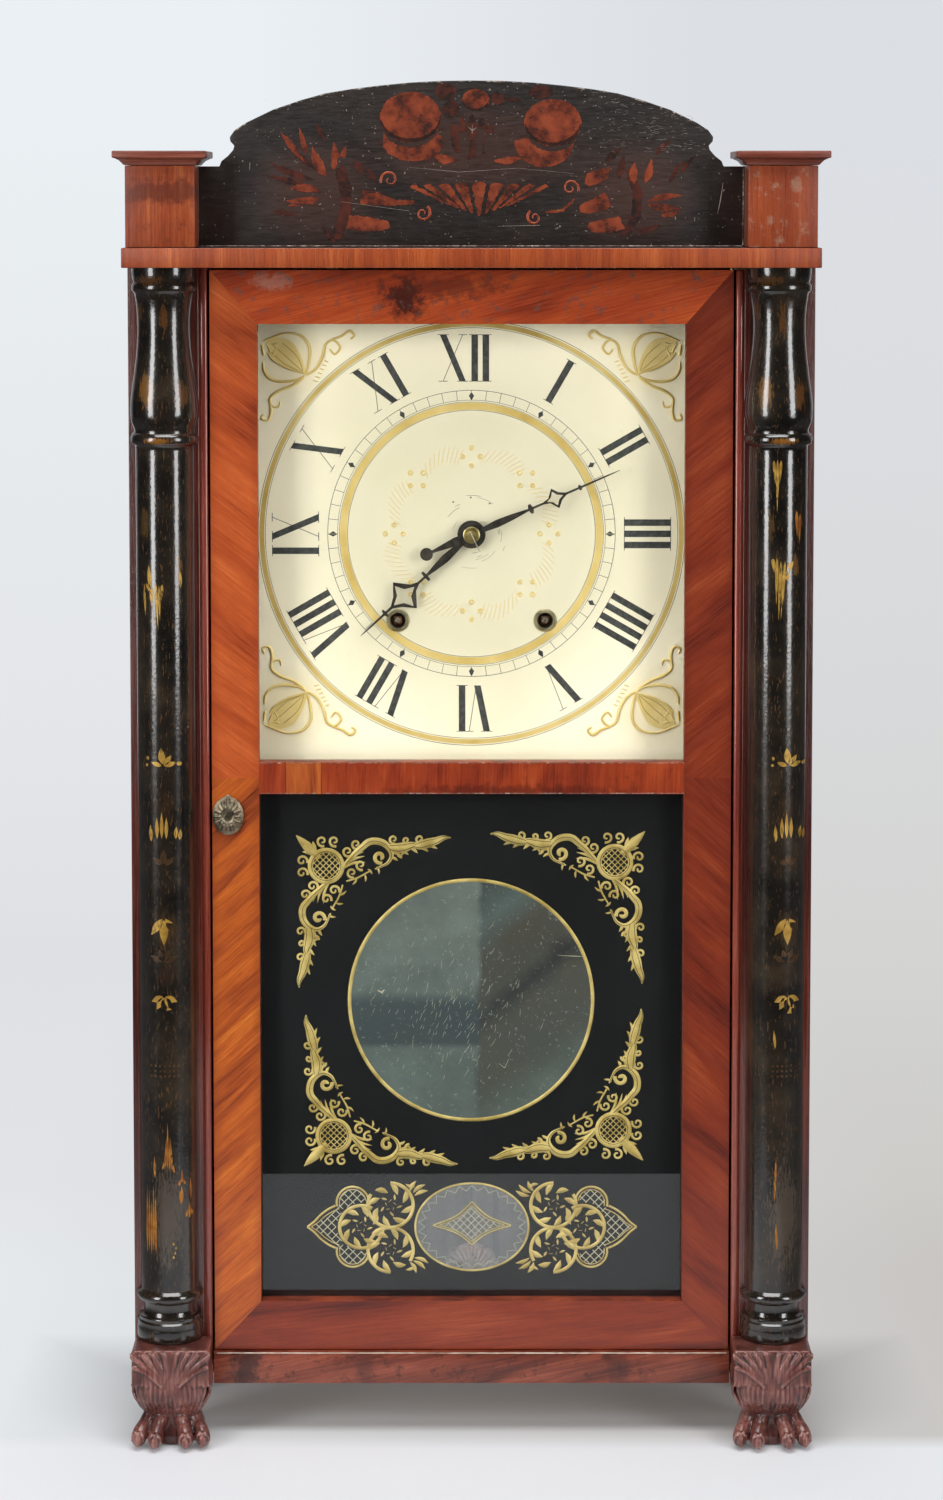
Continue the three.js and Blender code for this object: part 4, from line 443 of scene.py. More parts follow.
SHADED_STILE_TONES = ("#30110C", "#4A1C14", "#63291C", "#7A3827")
LIT_BEAD_TONES = ("#5A2015", "#85372A", "#9A4635", "#B05E4A")
BEAD_EDGE = 176.1
BASE_TONES = ("#4E1E15", "#70311F", "#87402C", "#9A5038")
RUBBED_TONES = ("#8C7866", "#B3A390", "#CFC3B2", "#E2DACC")


def open_all():
    """Opens the taken piece for editing with all of it selected."""
    bpy.ops.object.mode_set(mode="EDIT")
    bpy.ops.mesh.select_all(action="SELECT")


def eased(node, width, steps=2, merge_angle=1.0):
    """A copy of a CAD solid with its sharp edges eased, as a scraper leaves them."""
    piece = bpy.data.objects.new(node, node_of[node].data.copy())
    bpy.context.collection.objects.link(piece)
    take(piece)
    open_all()
    bpy.ops.mesh.remove_doubles(threshold=0.00001)
    bpy.ops.mesh.dissolve_limited(angle_limit=math.radians(merge_angle))
    bpy.ops.object.mode_set(mode="OBJECT")
    if width:
        press(piece, "BEVEL", width=width * MM, segments=steps, limit_method="ANGLE",
              angle_limit=math.radians(40))
    return piece


def faced(piece, woods, is_second):
    """Gives a piece two woods: the second one to the faces that is_second picks."""
    piece.data.materials.clear()
    for wood in woods:
        piece.data.materials.append(wood)
    for face in piece.data.polygons:
        face.material_index = 1 if is_second(face) else 0
    return piece


def press(piece, kind, **settings):
    """Adds a modifier and applies it."""
    take(piece)
    modifier = piece.modifiers.new(kind.lower(), kind)
    for key, value in settings.items():
        setattr(modifier, key, value)
    bpy.ops.object.modifier_apply(modifier=modifier.name)


# Painted shade and highlight: the stiles are toned dark beside the columns, the bead lighter where lit.
shaded_stile_mahogany = timber("varnished mahogany with painted shade", SHADED_STILE_TONES, figure=(18, 300), sheen=0.24, coat=1.0,
                        seed=0.31)
base_mahogany = timber(
    "base rail veneer", BASE_TONES, turn=78, figure=(14, 160), sheen=0.36, coat=0.25, seed=0.53, swirl=1.4,
    spots=((-148, 44, 14, 30, "#2E120D", 0.8), (-70, 44, 10, 26, "#3A1710", 0.5),
           (96, 44, 12, 26, "#3A1710", 0.5)))
lit_bead_mahogany = timber("bead with a painted highlight", LIT_BEAD_TONES, figure=(8, 200), sheen=0.2, coat=1.0,
                       polish=0.08, seed=0.77)
in_bead = lambda face: abs(face.center.x) < BEAD_EDGE * MM
for word, side in SIDES:
    stile = faced(eased(f"stile_{word}", 0.35), (shaded_stile_mahogany, lit_bead_mahogany), in_bead)
    settle(stile, f"front_stile_{word}", "case", None, [f"stile_{word}"])
settle(eased("base_rail", 0.5), "veneered_base_rail", "case", base_mahogany, ["base_rail"])

rubbed_wood = timber("rubbed bare edge", RUBBED_TONES, turn=90, figure=(2, 60), sheen=0.6)
random.seed(4)
edge_run = [(x, -43.15 + random.uniform(-0.1, 0.1), z, 0.42 + random.uniform(-0.16, 0.1))
            for x, z in between((-168, 54.35), (168, 54.35), 120)]
settle(rods([edge_run]), "rubbed_edge_of_base_rail", "case", rubbed_wood)


# Top board, plinths and caps
# A plain board lies over the case, its front edge faced with upright-grained mahogany. A square
# veneered plinth stands at each end of it under a moulded cap of darker wood.

EDGE_TONES = ("#642710", "#933E1C", "#AA4F22", "#C66C38")
PLINTH_TONES = ("#5C2212", "#87391C", "#9D4824", "#B56334")
CAP_TONES = ("#4E2218", "#6A3122", "#824232", "#9A5844")
BOARD_TONES = ("#2C130D", "#3D1C14", "#4D261B", "#5E3324")

edge_veneer = timber("upright-grained edge veneer", EDGE_TONES, figure=(12, 160), streak=(0.9, 60),
                     sheen=0.34, coat=0.25, seed=0.17, spread=0.22)
board_wood = timber("stained top board", BOARD_TONES, turn=90, figure=(20, 320), sheen=0.45, coat=0.1,
                    seed=0.9)
faces_front = lambda face: face.normal.y < -0.7
top = faced(eased("top_board", 0.6), (board_wood, edge_veneer), faces_front)
settle(top, "cornice_board", "case", None, ["top_board"])

plinth_woods = {
    "left": timber("plinth veneer left", PLINTH_TONES, figure=(26, 90), streak=(1.2, 60), sheen=0.36,
                   coat=0.25, seed=0.4, spread=0.2, spots=((-198, 818, 60, 12, "#5A2415", 0.75),)),
    "right": timber("plinth veneer right", PLINTH_TONES, figure=(9, 240), streak=(1.0, 60), sheen=0.36,
                    coat=0.25, seed=1.3, spread=0.26, spots=((206, 822, 5, 8, "#A98872", 0.55),
                                                             (190, 800, 4, 5, "#A98872", 0.45)))}
cap_mahogany = timber("cap mahogany", CAP_TONES, turn=90, figure=(12, 150), sheen=0.34, coat=0.3, seed=0.6)
for word, side in SIDES:
    settle(eased(f"plinth_{word}", 0.5), f"corner_plinth_{word}", "case", plinth_woods[word],
           [f"plinth_{word}"])
    settle(eased(f"cap_{word}", 0.45), f"plinth_cap_{word}", "case", cap_mahogany,
           [f"cap_{word}"])


# Splat
# The crest is a sawn board japanned black and stencilled in bronze powders with a bowl of fruit,
# cornucopias and sprays of leaves. The powder has worn to a dull brick red and the black is scuffed.

SPLAT_FRONT = -41.25
JAPAN_TONES = ("#171210", "#1E1815", "#251D19", "#30241F")
HAZE = "#3F261E"


def smooth_run(points, steps=6, closed=False):
    """Points on a smooth line through the given ones."""
    count, out = len(points), []
    pick = (lambda i: points[i % count]) if closed else (lambda i: points[min(max(i, 0), count - 1)])
    for i in range(count if closed else count - 1):
        a, b, c, d = (pick(i + k) for k in (-1, 0, 1, 2))
        for s in range(steps):
            t = s / steps
            out.append(tuple(0.5 * (2 * q + (r - p) * t + (2 * p - 5 * q + 4 * r - u) * t * t
                                    + (3 * q - p - 3 * r + u) * t ** 3) for p, q, r, u in zip(a, b, c, d)))
    return out if closed else out + [points[-1]]


def fills(outlines, y, thick=0.08):
    """Thin flat pieces cut to closed (x, z) outlines, lying across the depth at y."""
    line = bpy.data.curves.new("fills", "CURVE")
    line.dimensions = "2D"
    line.fill_mode = "BOTH"
    line.extrude = thick * MM / 2
    for outline in outlines:
        spline = line.splines.new("POLY")
        spline.points.add(len(outline) - 1)
        spline.use_cyclic_u = True
        for point, (x, z) in zip(spline.points, outline):
            point.co = (x * MM, z * MM, 0, 1)
    piece = bpy.data.objects.new("fills", line)
    bpy.context.collection.objects.link(piece)
    take(piece)
    bpy.ops.object.convert(target="MESH")
    piece = bpy.context.object
    piece.rotation_euler = (math.pi / 2, 0, 0)
    piece.location = (0, y * MM, 0)
    return piece


def oval(x, z, wide, high, count=40, tilt=0.0):
    """A closed oval outline with half width and half height."""
    c, s = math.cos(math.radians(tilt)), math.sin(math.radians(tilt))
    turns = [2 * math.pi * i / count for i in range(count)]
    return [(x + wide * math.cos(t) * c - high * math.sin(t) * s,
             z + wide * math.cos(t) * s + high * math.sin(t) * c) for t in turns]


def leaf(x0, z0, x1, z1, wide, hook=0.0, fullest=0.45):
    """A pointed leaf outline from stem to tip; hook bends it to one side."""
    dx, dz = x1 - x0, z1 - z0
    count, left, right = 10, [], []
    power = math.log(0.5) / math.log(fullest)
    for i in range(count + 1):
        t = i / count
        half = wide * math.sin(math.pi * t ** power) if 0 < t < 1 else 0.02 * wide
        bow = hook * 4 * t * (1 - t)
        cx, cz = x0 + dx * t - dz * bow, z0 + dz * t + dx * bow
        length = math.hypot(dx, dz)
        nx, nz = -dz / length, dx / length
        left.append((cx + nx * half, cz + nz * half))
        right.append((cx - nx * half, cz - nz * half))
    return left + right[::-1]


# Japanning: near-black varnish over a dark ground, thinned in long scuffs along the board.
def japanned(name, tones, hazes):
    """A haze of stray powder is (x, z, half width, half height, shade, strength)."""
    finish, here = new_finish(name)
    broad = add(finish, "TexNoise", {"Vector": here, "Scale": 22.0, "Detail": 4.0, "Roughness": 0.6})
    rubs = streaks(finish, here, (1.2, 9), (0, math.pi / 2, 0), Detail=6.0, Roughness=0.65)
    half = add(finish, "Math", {0: broad, 1: 0.7}, operation="MULTIPLY")
    mixed = add(finish, "Math", {0: rubs, 1: 0.3, 2: half}, operation="MULTIPLY_ADD")
    shade = add(finish, "ValToRGB", {"Fac": mixed}, stops=list(zip((0.3, 0.44, 0.56, 0.7), tones)))
    for x, z, wide, high, tint, strength in hazes:
        ball = round_spot(finish, here, (x, 0, z), (wide, high))
        thin = add(finish, "Math", {0: ball, 1: rubs}, operation="MULTIPLY")
        shade = stained(finish, shade, tint, thin, 0.0, 0.3, strength)
    dust = add(finish, "TexNoise", {"Vector": here, "Scale": 520.0, "Detail": 1.0})
    shade = stained(finish, shade, "#B8A999", dust, 0.735, 0.77, 0.4)
    rough = add(finish, "MapRange", {"Value": rubs, "From Min": 0.3, "From Max": 0.7, "To Min": 0.32,
                                     "To Max": 0.55})
    bump = add(finish, "Bump", {"Height": rubs, "Strength": 0.2, "Distance": 0.0002})
    return surface(finish, {"Base Color": shade, "Roughness": rough, "Normal": bump, "Coat Weight": 0.15,
                            "Coat Roughness": 0.3})


HAZES = ((-101, 818, 46, 40, HAZE, 0.8), (103, 816, 46, 38, HAZE, 0.8), (2, 846, 80, 34, HAZE, 0.7))
splat_black = japanned("japanned splat", JAPAN_TONES, HAZES)
settle(eased("splat", 0.5, steps=3, merge_angle=0.2), "stencilled_splat", "case",
       splat_black, ["splat"])

# The middle of the stencil: two large fruits over the crescents of those behind, small fruits
# above, a melon between, and a fluted bowl with a scroll at each side of its foot.
FRUITS = ((-39.2, 866.2, 19.6, 16.2), (52.3, 862.8, 18.3, 15.0), (2.6, 877.4, 8.6, 6.9))
CRESCENTS = ((-37.5, 20.0, 837.8, -39.2, 863.4, 19.0, 16.6), (46.75, 19.25, 834.0, 52.3, 859.6, 17.6, 15.4))
FRUIT_MIDDLE = 851
bright_red = [oval(*fruit) for fruit in FRUITS]
for middle, half, low, x, z, wide, high in CRESCENTS:
    under = sweep(middle, FRUIT_MIDDLE, half, FRUIT_MIDDLE - low, 0, -180, 20)
    bright_red.append(under + sweep(x, z, wide, high, -154.8, -25.2, 18))
bright_red += [leaf(-25, 841.5, -7.5, 839.5, 2.9, -0.08), leaf(14, 838.5, 34, 841, 2.2, -0.06)]
for k in range(-4, 5):
    lean, foot_z = abs(k), 803.2 + 1.5 * abs(k)
    top_x, foot_x, wide = 4.9 + k * (11.9 - 0.35 * lean), 4.9 + k * 4.4, 4.7 - 0.45 * lean
    rim = [(top_x + wide * share, 824.8 - 0.4 * lean - 1.6 * share * share)
           for share in (1, 0.5, 0, -0.5, -1)]
    bright_red.append([(foot_x + 0.9, foot_z)] + rim + [(foot_x - 0.9, foot_z)])
dull_red = [oval(-16.6, 882.6, 6.8, 5.6), oval(-13.0, 871.6, 5.4, 5.4), oval(26.3, 871.8, 7.4, 7.0),
            oval(16.6, 878.2, 4.2, 4.4), oval(44.5, 882.2, 8.0, 4.0)]
melon = [oval(0.4 + 10.6 * share, 852.6, 3.2, 15.2 - 5.6 * abs(share) ** 1.5, tilt=-10 * share)
         for share in (-1, -0.5, 0, 0.5, 1)]
# Horns of plenty at both sides: their mouths, their tails and what falls out of them.
HORNS = (
    ((-72, 810.5), (-70, 819.5), (-60, 818), (-50, 813.5), (-36, 812.6), (-37, 810.6), (-52, 809.2),
     (-62, 809.8)),
    ((-81, 794.6), (-78.5, 803.2), (-66, 802.2), (-54, 799.4), (-52.4, 795.8), (-57, 793.2), (-70, 793)),
    ((69.5, 809.5), (86, 818), (90, 810), (88, 806.8), (74, 804.2), (70, 805.4)),
    ((74, 795), (76.5, 799), (95, 802.4), (98.8, 794.6), (88, 791.6), (78, 792.4)),
    ((72.8, 824), (74.5, 830.4), (88.6, 834.2), (88.2, 827.6), (80, 823), (75, 822.2)),
    ((47, 806), (58, 807.2), (67.5, 815.2), (66, 812), (59, 805.6), (48, 804.4)),
)
bright_red += HORNS
# Sprays of narrow leaves, each a little different from the one beside it.
bright_red += [leaf(*place) for place in (
    (-93.4, 828, -102.6, 847.5, 3.2, 0.06), (-89, 832, -88.5, 850, 2.6, -0.06), (-86, 834, -80.6, 848, 2.0),
    (-108, 838, -123, 857, 2.0), (-106, 842, -111, 859.5, 1.8), (-97, 818.5, -118, 820.5, 2.6, -0.06),
    (-97, 814, -119.5, 812.6, 2.8, 0.05), (-106, 808.6, -118.5, 809.4, 2.0),
    (113, 812, 136, 816, 2.2, 0.05), (113, 810.5, 135, 807.6, 2.6, -0.05), (122, 803, 135.5, 806, 2.2),
    (104.6, 823, 105.4, 838, 2.6, 0.05), (112, 824, 115.6, 839.4, 2.4, -0.04))]
dull_red += [leaf(*place) for place in (
    (-101, 826, -131, 838, 2.2, 0.05), (-104, 822, -133, 829, 2.0), (-99, 832, -117, 846, 2.0),
    (-94, 851, -100, 862, 1.8), (-76, 838, -66, 828, 3.0), (-70, 834, -60, 824, 2.6),
    (127, 824, 137, 838.4, 2.2), (131, 828, 144, 842, 1.8), (95, 826, 98, 842, 2.4),
    (86, 838, 96, 846, 2.2), (118, 842, 128, 852, 1.8), (106, 792, 122, 797, 2.2),
    (-128, 806, -112, 803, 2.0), (-96, 796, -88, 786, 2.0))]
dull_red += [[(-92, 788), (-86, 800), (-84, 816), (-88, 832), (-82, 836), (-77, 820), (-78, 802), (-84, 788)],
             [(96, 790), (103, 804), (104, 818), (99, 832), (104, 834), (110, 818), (109, 802), (102, 790)]]
shades = [sweep(x, z, wide, high, -9, -171, 20) + sweep(
    x, z + 0.1 * high, 0.97 * wide, 0.94 * high, -171, -9, 20) for x, z, wide, high in FRUITS]


# Bronze powder rubbed into varnish: it has gone in flecks and lets the black through.
def gilding(name, gold, wear, hidden="#15130F", fleck=(0.7, 4.0), gloss=0.28):
    """Powder in two tones over black, worn off in flecks sized (across, along) in millimetres."""
    finish, here = new_finish(name)
    flecks = streaks(finish, here, fleck, Detail=5.0, Roughness=0.7)
    tone = add(finish, "TexNoise", {"Vector": here, "Scale": 110.0, "Detail": 4.0})
    half = add(finish, "Math", {0: tone, 1: 0.45}, operation="MULTIPLY")
    kept = add(finish, "Math", {0: flecks, 1: 0.55, 2: half}, operation="MULTIPLY_ADD")
    left = add(finish, "MapRange", {"Value": kept, "From Min": wear - 0.05, "From Max": wear + 0.05})
    shade = add(finish, "ValToRGB", {"Fac": tone}, stops=[(0.35, gold[0]), (0.65, gold[1])])
    powder = add(finish, "BsdfPrincipled", {"Base Color": shade, "Metallic": 0.35, "Roughness": 0.42})
    black = add(finish, "BsdfPrincipled", {"Base Color": hidden, "Roughness": gloss})
    add(finish, "OutputMaterial", {"Surface": add(finish, "MixShader", {0: left, 1: black, 2: powder})})
    return finish


BRIGHT_POWDER, DULL_POWDER = ("#6A2C1C", "#9E4A2E"), ("#3E211A", "#5C2D22")
SHADED_POWDER = ("#2E1A15", "#4C261C")
stencil_bright = gilding("bronze powder, red with age", BRIGHT_POWDER, 0.43, hidden="#2A1C17",
                         fleck=(2.6, 1.1), gloss=0.4)
stencil_dull = gilding("bronze powder, nearly gone", DULL_POWDER, 0.47, hidden="#1E1715", fleck=(2.8, 1.3),
                       gloss=0.4)
stencil_shade = gilding("thin bronze shading", SHADED_POWDER, 0.44, hidden="#221815", fleck=(2.4, 1.2),
                        gloss=0.4)


def nibbled(outlines, bite=0.4):
    """Outlines cut into short steps whose points stray, as powder does at the edge of a stencil."""
    out = []
    for outline in outlines:
        steps = []
        for (x0, z0), (x1, z1) in zip(outline, outline[1:] + outline[:1]):
            count = max(1, round(math.hypot(x1 - x0, z1 - z0) / 1.3))
            steps += between((x0, z0), (x1, z1), count)[:-1]
        out.append([(x + random.uniform(-bite, bite), z + random.uniform(-bite, bite)) for x, z in steps])
    return out


random.seed(11)
STENCIL_Y = SPLAT_FRONT - 0.04
# Each stencil: its name, its outlines, how far it lies in front of the black, its bite, its powder.
STENCILS = (
    ("dull", dull_red, 0.03, 0.5, stencil_dull), ("melon", melon, 0.05, 0.4, stencil_dull),
    ("bright", bright_red, 0.07, 0.4, stencil_bright), ("shading", shades, 0.1, 0.3, stencil_shade),
)
for name, outlines, y, bite, finish in STENCILS:
    settle(fills(nibbled(outlines, bite), STENCIL_Y - y, 0.02), f"stencil_{name}", "case",
           finish, smooth=0)


def spiral(x, z, radius, turns, start, way=1, thick=(1.0, 0.4), count=22):
    """A scroll that curls inwards, as (x, z, half width) points."""
    out = []
    for i in range(count + 1):
        t = i / count
        angle = math.radians(start) + way * 2 * math.pi * turns * t
        reach = radius * (1 - 0.82 * t)
        out.append((x + reach * math.cos(angle), z + reach * math.sin(angle),
                    thick[0] + (thick[1] - thick[0]) * t))
    return out


def drawn(strokes, y, flat=0.12):
    """Painted lines through (x, z, half width) points: rods pressed nearly flat at the depth y."""
    piece = rods([[(x, 0, z, half) for x, z, half in stroke] for stroke in strokes], 1)
    piece.scale = (1, flat, 1)
    piece.location = (0, y * MM, 0)
    return piece


scrolls = [spiral(-31.3, 804.4, 5.2, 1.25, 60, -1, (1.2, 0.6)),
           spiral(40.6, 801.6, 5.0, 1.25, 120, 1, (1.2, 0.6)),
           spiral(-52.7, 826.0, 6.0, 1.2, 200, -1, (1.1, 0.5)),
           spiral(63.6, 820.6, 5.6, 1.2, -20, 1, (1.1, 0.5))]
settle(drawn(scrolls, STENCIL_Y - 0.02, 0.06), "stencil_scrolls", "case", stencil_bright,
       smooth=0)

# Age: fine pale crazing at the upper right, scratches, and bare dusty wood along the edges.
random.seed(8)
crazing = []
for _ in range(190):
    x = random.gauss(112, 24)
    z = random.uniform(844, 885 - 0.3 * max(0, x - 80))
    run = random.uniform(1.0, 4.0)
    if 72 < x < 149:
        crazing.append([(x, z, 0.04), (x + run / 2, z + random.uniform(-0.3, 0.3), 0.1),
                        (x + run, z + random.uniform(-0.5, 0.4), 0.04)])
for _ in range(90):
    x, z = random.uniform(-168, 168), random.uniform(787, 880)
    if abs(x) < 140 or z < 830:
        crazing.append([(x, z, 0.12), (x + random.uniform(-0.5, 0.5), z + random.uniform(-0.4, 0.4), 0.2)])
crazing += [[(158.5, 804, 0.1), (160.2, 812, 0.45), (162, 824, 0.2)],
            [(-143, 832, 0.1), (-142.6, 837, 0.35)], [(17, 796.2, 0.1), (44, 796.8, 0.22)],
            [(-2, 860, 0.1), (0.5, 857.5, 0.5), (3.4, 859.6, 0.1)], [(0.5, 861.5, 0.1), (0.4, 856, 0.3)],
            [(-40, 834, 0.08), (-8, 831, 0.16), (30, 833.5, 0.1), (66, 830, 0.08)],
            [(-84, 812, 0.08), (-40, 806, 0.12)]]


def plain(name, shade, rough):
    """A finish of one even colour."""
    return surface(new_finish(name)[0], {"Base Color": shade, "Roughness": rough})


pale_scuff = plain("pale scuffs in varnish", "#857B70", 0.6)
settle(drawn(crazing, STENCIL_Y - 0.1, 0.1), "splat_crazing", "case", pale_scuff, smooth=0)
SPLAT_ARCH = [(x / MM, z / MM) for x, z in sorted({(v.co.x, v.co.z) for v in node_of["splat"].data.vertices
                                                   if v.co.z > 0.857})]
bare_edges, run = [], []
for (x0, z0), (x1, z1) in zip(SPLAT_ARCH, SPLAT_ARCH[1:]):
    steps = max(1, round((x1 - x0) / 1.6))
    for i in range(steps):
        half = random.uniform(-0.25, 0.5)
        if half > 0.05:
            run.append((x0 + (x1 - x0) * i / steps, z0 + (z1 - z0) * i / steps - 0.55, half))
        else:
            bare_edges += [run] if len(run) > 1 else []
            run = []
joint = [(x, z, random.uniform(0.1, 0.42)) for x, z in between((-174.5, 783.6), (174.5, 783.6), 150)]
side_joint = [(x, z, random.uniform(0.05, 0.45)) for x, z in between((175.0, 784), (175.0, 834), 40)]
dusty_wood = timber("bare dusty edge", ("#4A3A30", "#6E5A4C", "#A39384", "#CFC4B8"), figure=(3, 12),
                    sheen=0.7)
settle(drawn(bare_edges + [joint, side_joint], SPLAT_FRONT, 0.5), "splat_bare_edges", "case",
       dusty_wood, smooth=60)


# Half columns
# Each is a turned pine column sawn in half and glued to its stile, ebonised and thickly varnished.
# Gilt stencilling is worn to leaf tufts down the middle and a flame of rubbed gold near the foot.

COLUMN_AXIS_X, COLUMN_BACK, COLUMN_FOOT, COLUMN_FRONT = 198.8, -38.55, 65.2, -55
COLUMN_HEIGHT, COLUMN_RADIUS, COLUMN_BASE, COLUMN_CAPITAL = 704.52, 19.1, 34.0, 116.0
BASE_TURNING = (
    (0, 1.09), (0.03, 1.13), (0.08, 1.147), (0.2, 1.147), (0.25, 1.14), (0.3, 1.12), (0.34, 1.135),
    (0.37, 1.135), (0.4, 1.08), (0.43, 1.085), (0.46, 1.1), (0.48, 1.08), (0.5, 0.96), (0.55, 0.92),
    (0.6, 0.905), (0.67, 0.915), (0.74, 0.95), (0.78, 1.06), (0.8, 1.11), (0.85, 1.145), (0.89, 1.145),
    (0.93, 1.12), (0.96, 1.07), (1, 1))
CAPITAL_TURNING = (
    (0, 1.0), (0.012, 1.03), (0.02, 1.12), (0.03, 1.15), (0.045, 1.165), (0.06, 1.15), (0.072, 1.11),
    (0.08, 1.05), (0.1, 1.04), (0.115, 1.07), (0.14, 1.13), (0.17, 1.158), (0.2, 1.167), (0.24, 1.16),
    (0.28, 1.14), (0.35, 1.085), (0.41, 1.03), (0.49, 0.965), (0.57, 0.92), (0.63, 0.9), (0.68, 0.895),
    (0.73, 0.905), (0.78, 0.93), (0.82, 0.965), (0.855, 1.0), (0.868, 1.06), (0.875, 1.09), (0.9, 1.095),
    (0.912, 1.05), (0.918, 1.03), (0.935, 1.06), (0.96, 1.085), (1, 1.094))
EBONY_TONES = ("#12100D", "#1C1813", "#282119", "#382D1F")
GOLD_LEAF = "#D8AC50"


def turned(x, y, rings, count=64):
    """A turning on an upright axis, drawn up ring by ring.

    A ring is (z, radius), or (z, half width, reach forward, reach back) where it isn't round.
    """
    rings = [(z, *(sizes if len(sizes) == 3 else sizes * 3)) for z, *sizes in rings]
    (z, half, front, back), *rest = rings
    let_go()
    bpy.ops.mesh.primitive_circle_add(vertices=count, radius=MM, fill_type="NGON")
    piece = bpy.context.object
    piece.scale = (half, (front + back) / 2, 1)
    piece.location = (x * MM, (y + (back - front) / 2) * MM, z * MM)
    bpy.ops.object.transform_apply(location=True, rotation=True, scale=True)
    open_all()
    for next_z, next_half, next_front, next_back in rest:
        shift = (next_back - next_front - back + front) / 2
        bpy.ops.mesh.extrude_region_move(TRANSFORM_OT_translate={"value": (0, shift * MM, (next_z - z) * MM)})
        middle = (x * MM, (y + (next_back - next_front) / 2) * MM, next_z * MM)
        wider = (next_half / half, (next_front + next_back) / (front + back), 1)
        bpy.ops.transform.resize(value=wider, center_override=middle)
        z, half, front, back = next_z, next_half, next_front, next_back
    bpy.ops.mesh.select_all(action="SELECT")
    bpy.ops.mesh.normals_make_consistent(inside=False)
    bpy.ops.object.mode_set(mode="OBJECT")
    return piece


def again(piece, shift=(0, 0, 0)):
    """A copy of a piece with its own mesh, moved by millimetres."""
    copy = piece.copy()
    copy.data = piece.data.copy()
    bpy.context.collection.objects.link(copy)
    copy.location = [a + b * MM for a, b in zip(piece.location, shift)]
    return copy


def lacquer(name, tones, spots):
    """Varnished black: nearly even, orange-peeled, with brown wood showing at each worn spot.

    A spot is (x, z, half width, half height, shade, strength).
    """
    finish, here = new_finish(name)
    broad = add(finish, "TexNoise", {"Vector": here, "Scale": 28.0, "Detail": 5.0, "Roughness": 0.65})
    shade = add(finish, "ValToRGB", {"Fac": broad}, stops=list(zip((0.34, 0.46, 0.56, 0.68), tones)))
    flecks = streaks(finish, here, (1.1, 6), Detail=5.0, Roughness=0.7)
    for x, z, wide, high, tint, strength in spots:
        ball = round_spot(finish, here, (x, COLUMN_FRONT, z), (wide, high))
        broken = add(finish, "Math", {0: ball, 1: 0.4, 2: flecks}, operation="MULTIPLY_ADD")
        shade = stained(finish, shade, tint, broken, 0.6, 0.72, strength)
    rough = add(finish, "MapRange", {"Value": broad, "From Min": 0.3, "From Max": 0.7, "To Min": 0.16,
                                     "To Max": 0.26})
    fine = add(finish, "TexNoise", {"Vector": here, "Scale": 450.0, "Detail": 2.0})
    height = add(finish, "Math", {0: broad, 1: 2.0, 2: fine}, operation="MULTIPLY_ADD")
    bump = add(finish, "Bump", {"Height": height, "Strength": 0.3, "Distance": 0.0002})
    return surface(finish, {"Base Color": shade, "Roughness": rough, "Normal": bump, "Coat Weight": 1.0,
                            "Coat Roughness": 0.1, "Coat Normal": bump})


def column_spots(x, lean):
    """The worn places of a column about the axis x; lean moves them round to one side."""
    return ((x - 10, 690, 7, 16, "#7A5428", 0.85), (x + 12, 688, 6, 14, "#5E3B1C", 0.8),
            (x + 1, 737, 4, 14, "#5E3B1C", 0.75), (x - 15, 742, 3, 8, "#5E3B1C", 0.5),
            (x + lean - 4, 658.5, 12, 3, "#8A5A22", 0.9), (x - 8, 762, 12, 5, "#5E3B1C", 0.7),
            (x + lean - 12, 604, 4, 16, "#5E4420", 0.55), (x + 10, 578, 3, 10, "#7A5428", 0.6),
            (x + lean, 340, 12, 18, "#4A3520", 0.6), (x + lean, 310, 11, 12, "#3A2A1E", 0.5),
            (x + lean, 420, 9, 16, "#3F2C1A", 0.5), (x + lean, 150, 15, 50, "#4E4236", 0.75))


capital_foot = COLUMN_FOOT + COLUMN_HEIGHT - COLUMN_CAPITAL
base_line, capital_line = (
    [(foot_z + share * tall, COLUMN_RADIUS * radius) for share, radius in turning]
    for foot_z, tall, turning in (
        (COLUMN_FOOT, COLUMN_BASE, BASE_TURNING), (capital_foot, COLUMN_CAPITAL, CAPITAL_TURNING)))
# A ring close to each end of the shaft keeps its long sides shaded as straight ones.
shaft = [(COLUMN_FOOT + COLUMN_BASE + 2, COLUMN_RADIUS), (capital_foot - 2, COLUMN_RADIUS)]
column = turned(-COLUMN_AXIS_X, COLUMN_BACK, base_line + shaft + capital_line)
open_all()
bpy.ops.mesh.bisect(plane_co=(0, COLUMN_BACK * MM, 0), plane_no=(0, 1, 0), use_fill=True, clear_outer=True)
bpy.ops.object.mode_set(mode="OBJECT")
for word, side in SIDES:
    shape = again(column, (2 * COLUMN_AXIS_X, 0, 0)) if side > 0 else column
    finish = lacquer(f"ebonised column {word}", EBONY_TONES,
                     column_spots(side * COLUMN_AXIS_X, 0 if side < 0 else 6))
    settle(shape, f"turned_column_{word}", "case", finish, [f"column_{word}"], smooth=40)


def wrapped(piece, axis_x):
    """Bends flat work in front of a column round its shaft."""
    take(piece)
    bpy.ops.object.transform_apply(location=True, rotation=True, scale=True)
    open_all()
    bpy.ops.mesh.subdivide(number_cuts=2)
    bpy.ops.object.mode_set(mode="OBJECT")
    radius = COLUMN_RADIUS * MM
    for vert in piece.data.vertices:
        off = min(abs(vert.co.x - axis_x * MM), 0.97 * radius)
        vert.co.y += radius - math.sqrt(radius**2 - off**2)
    return piece


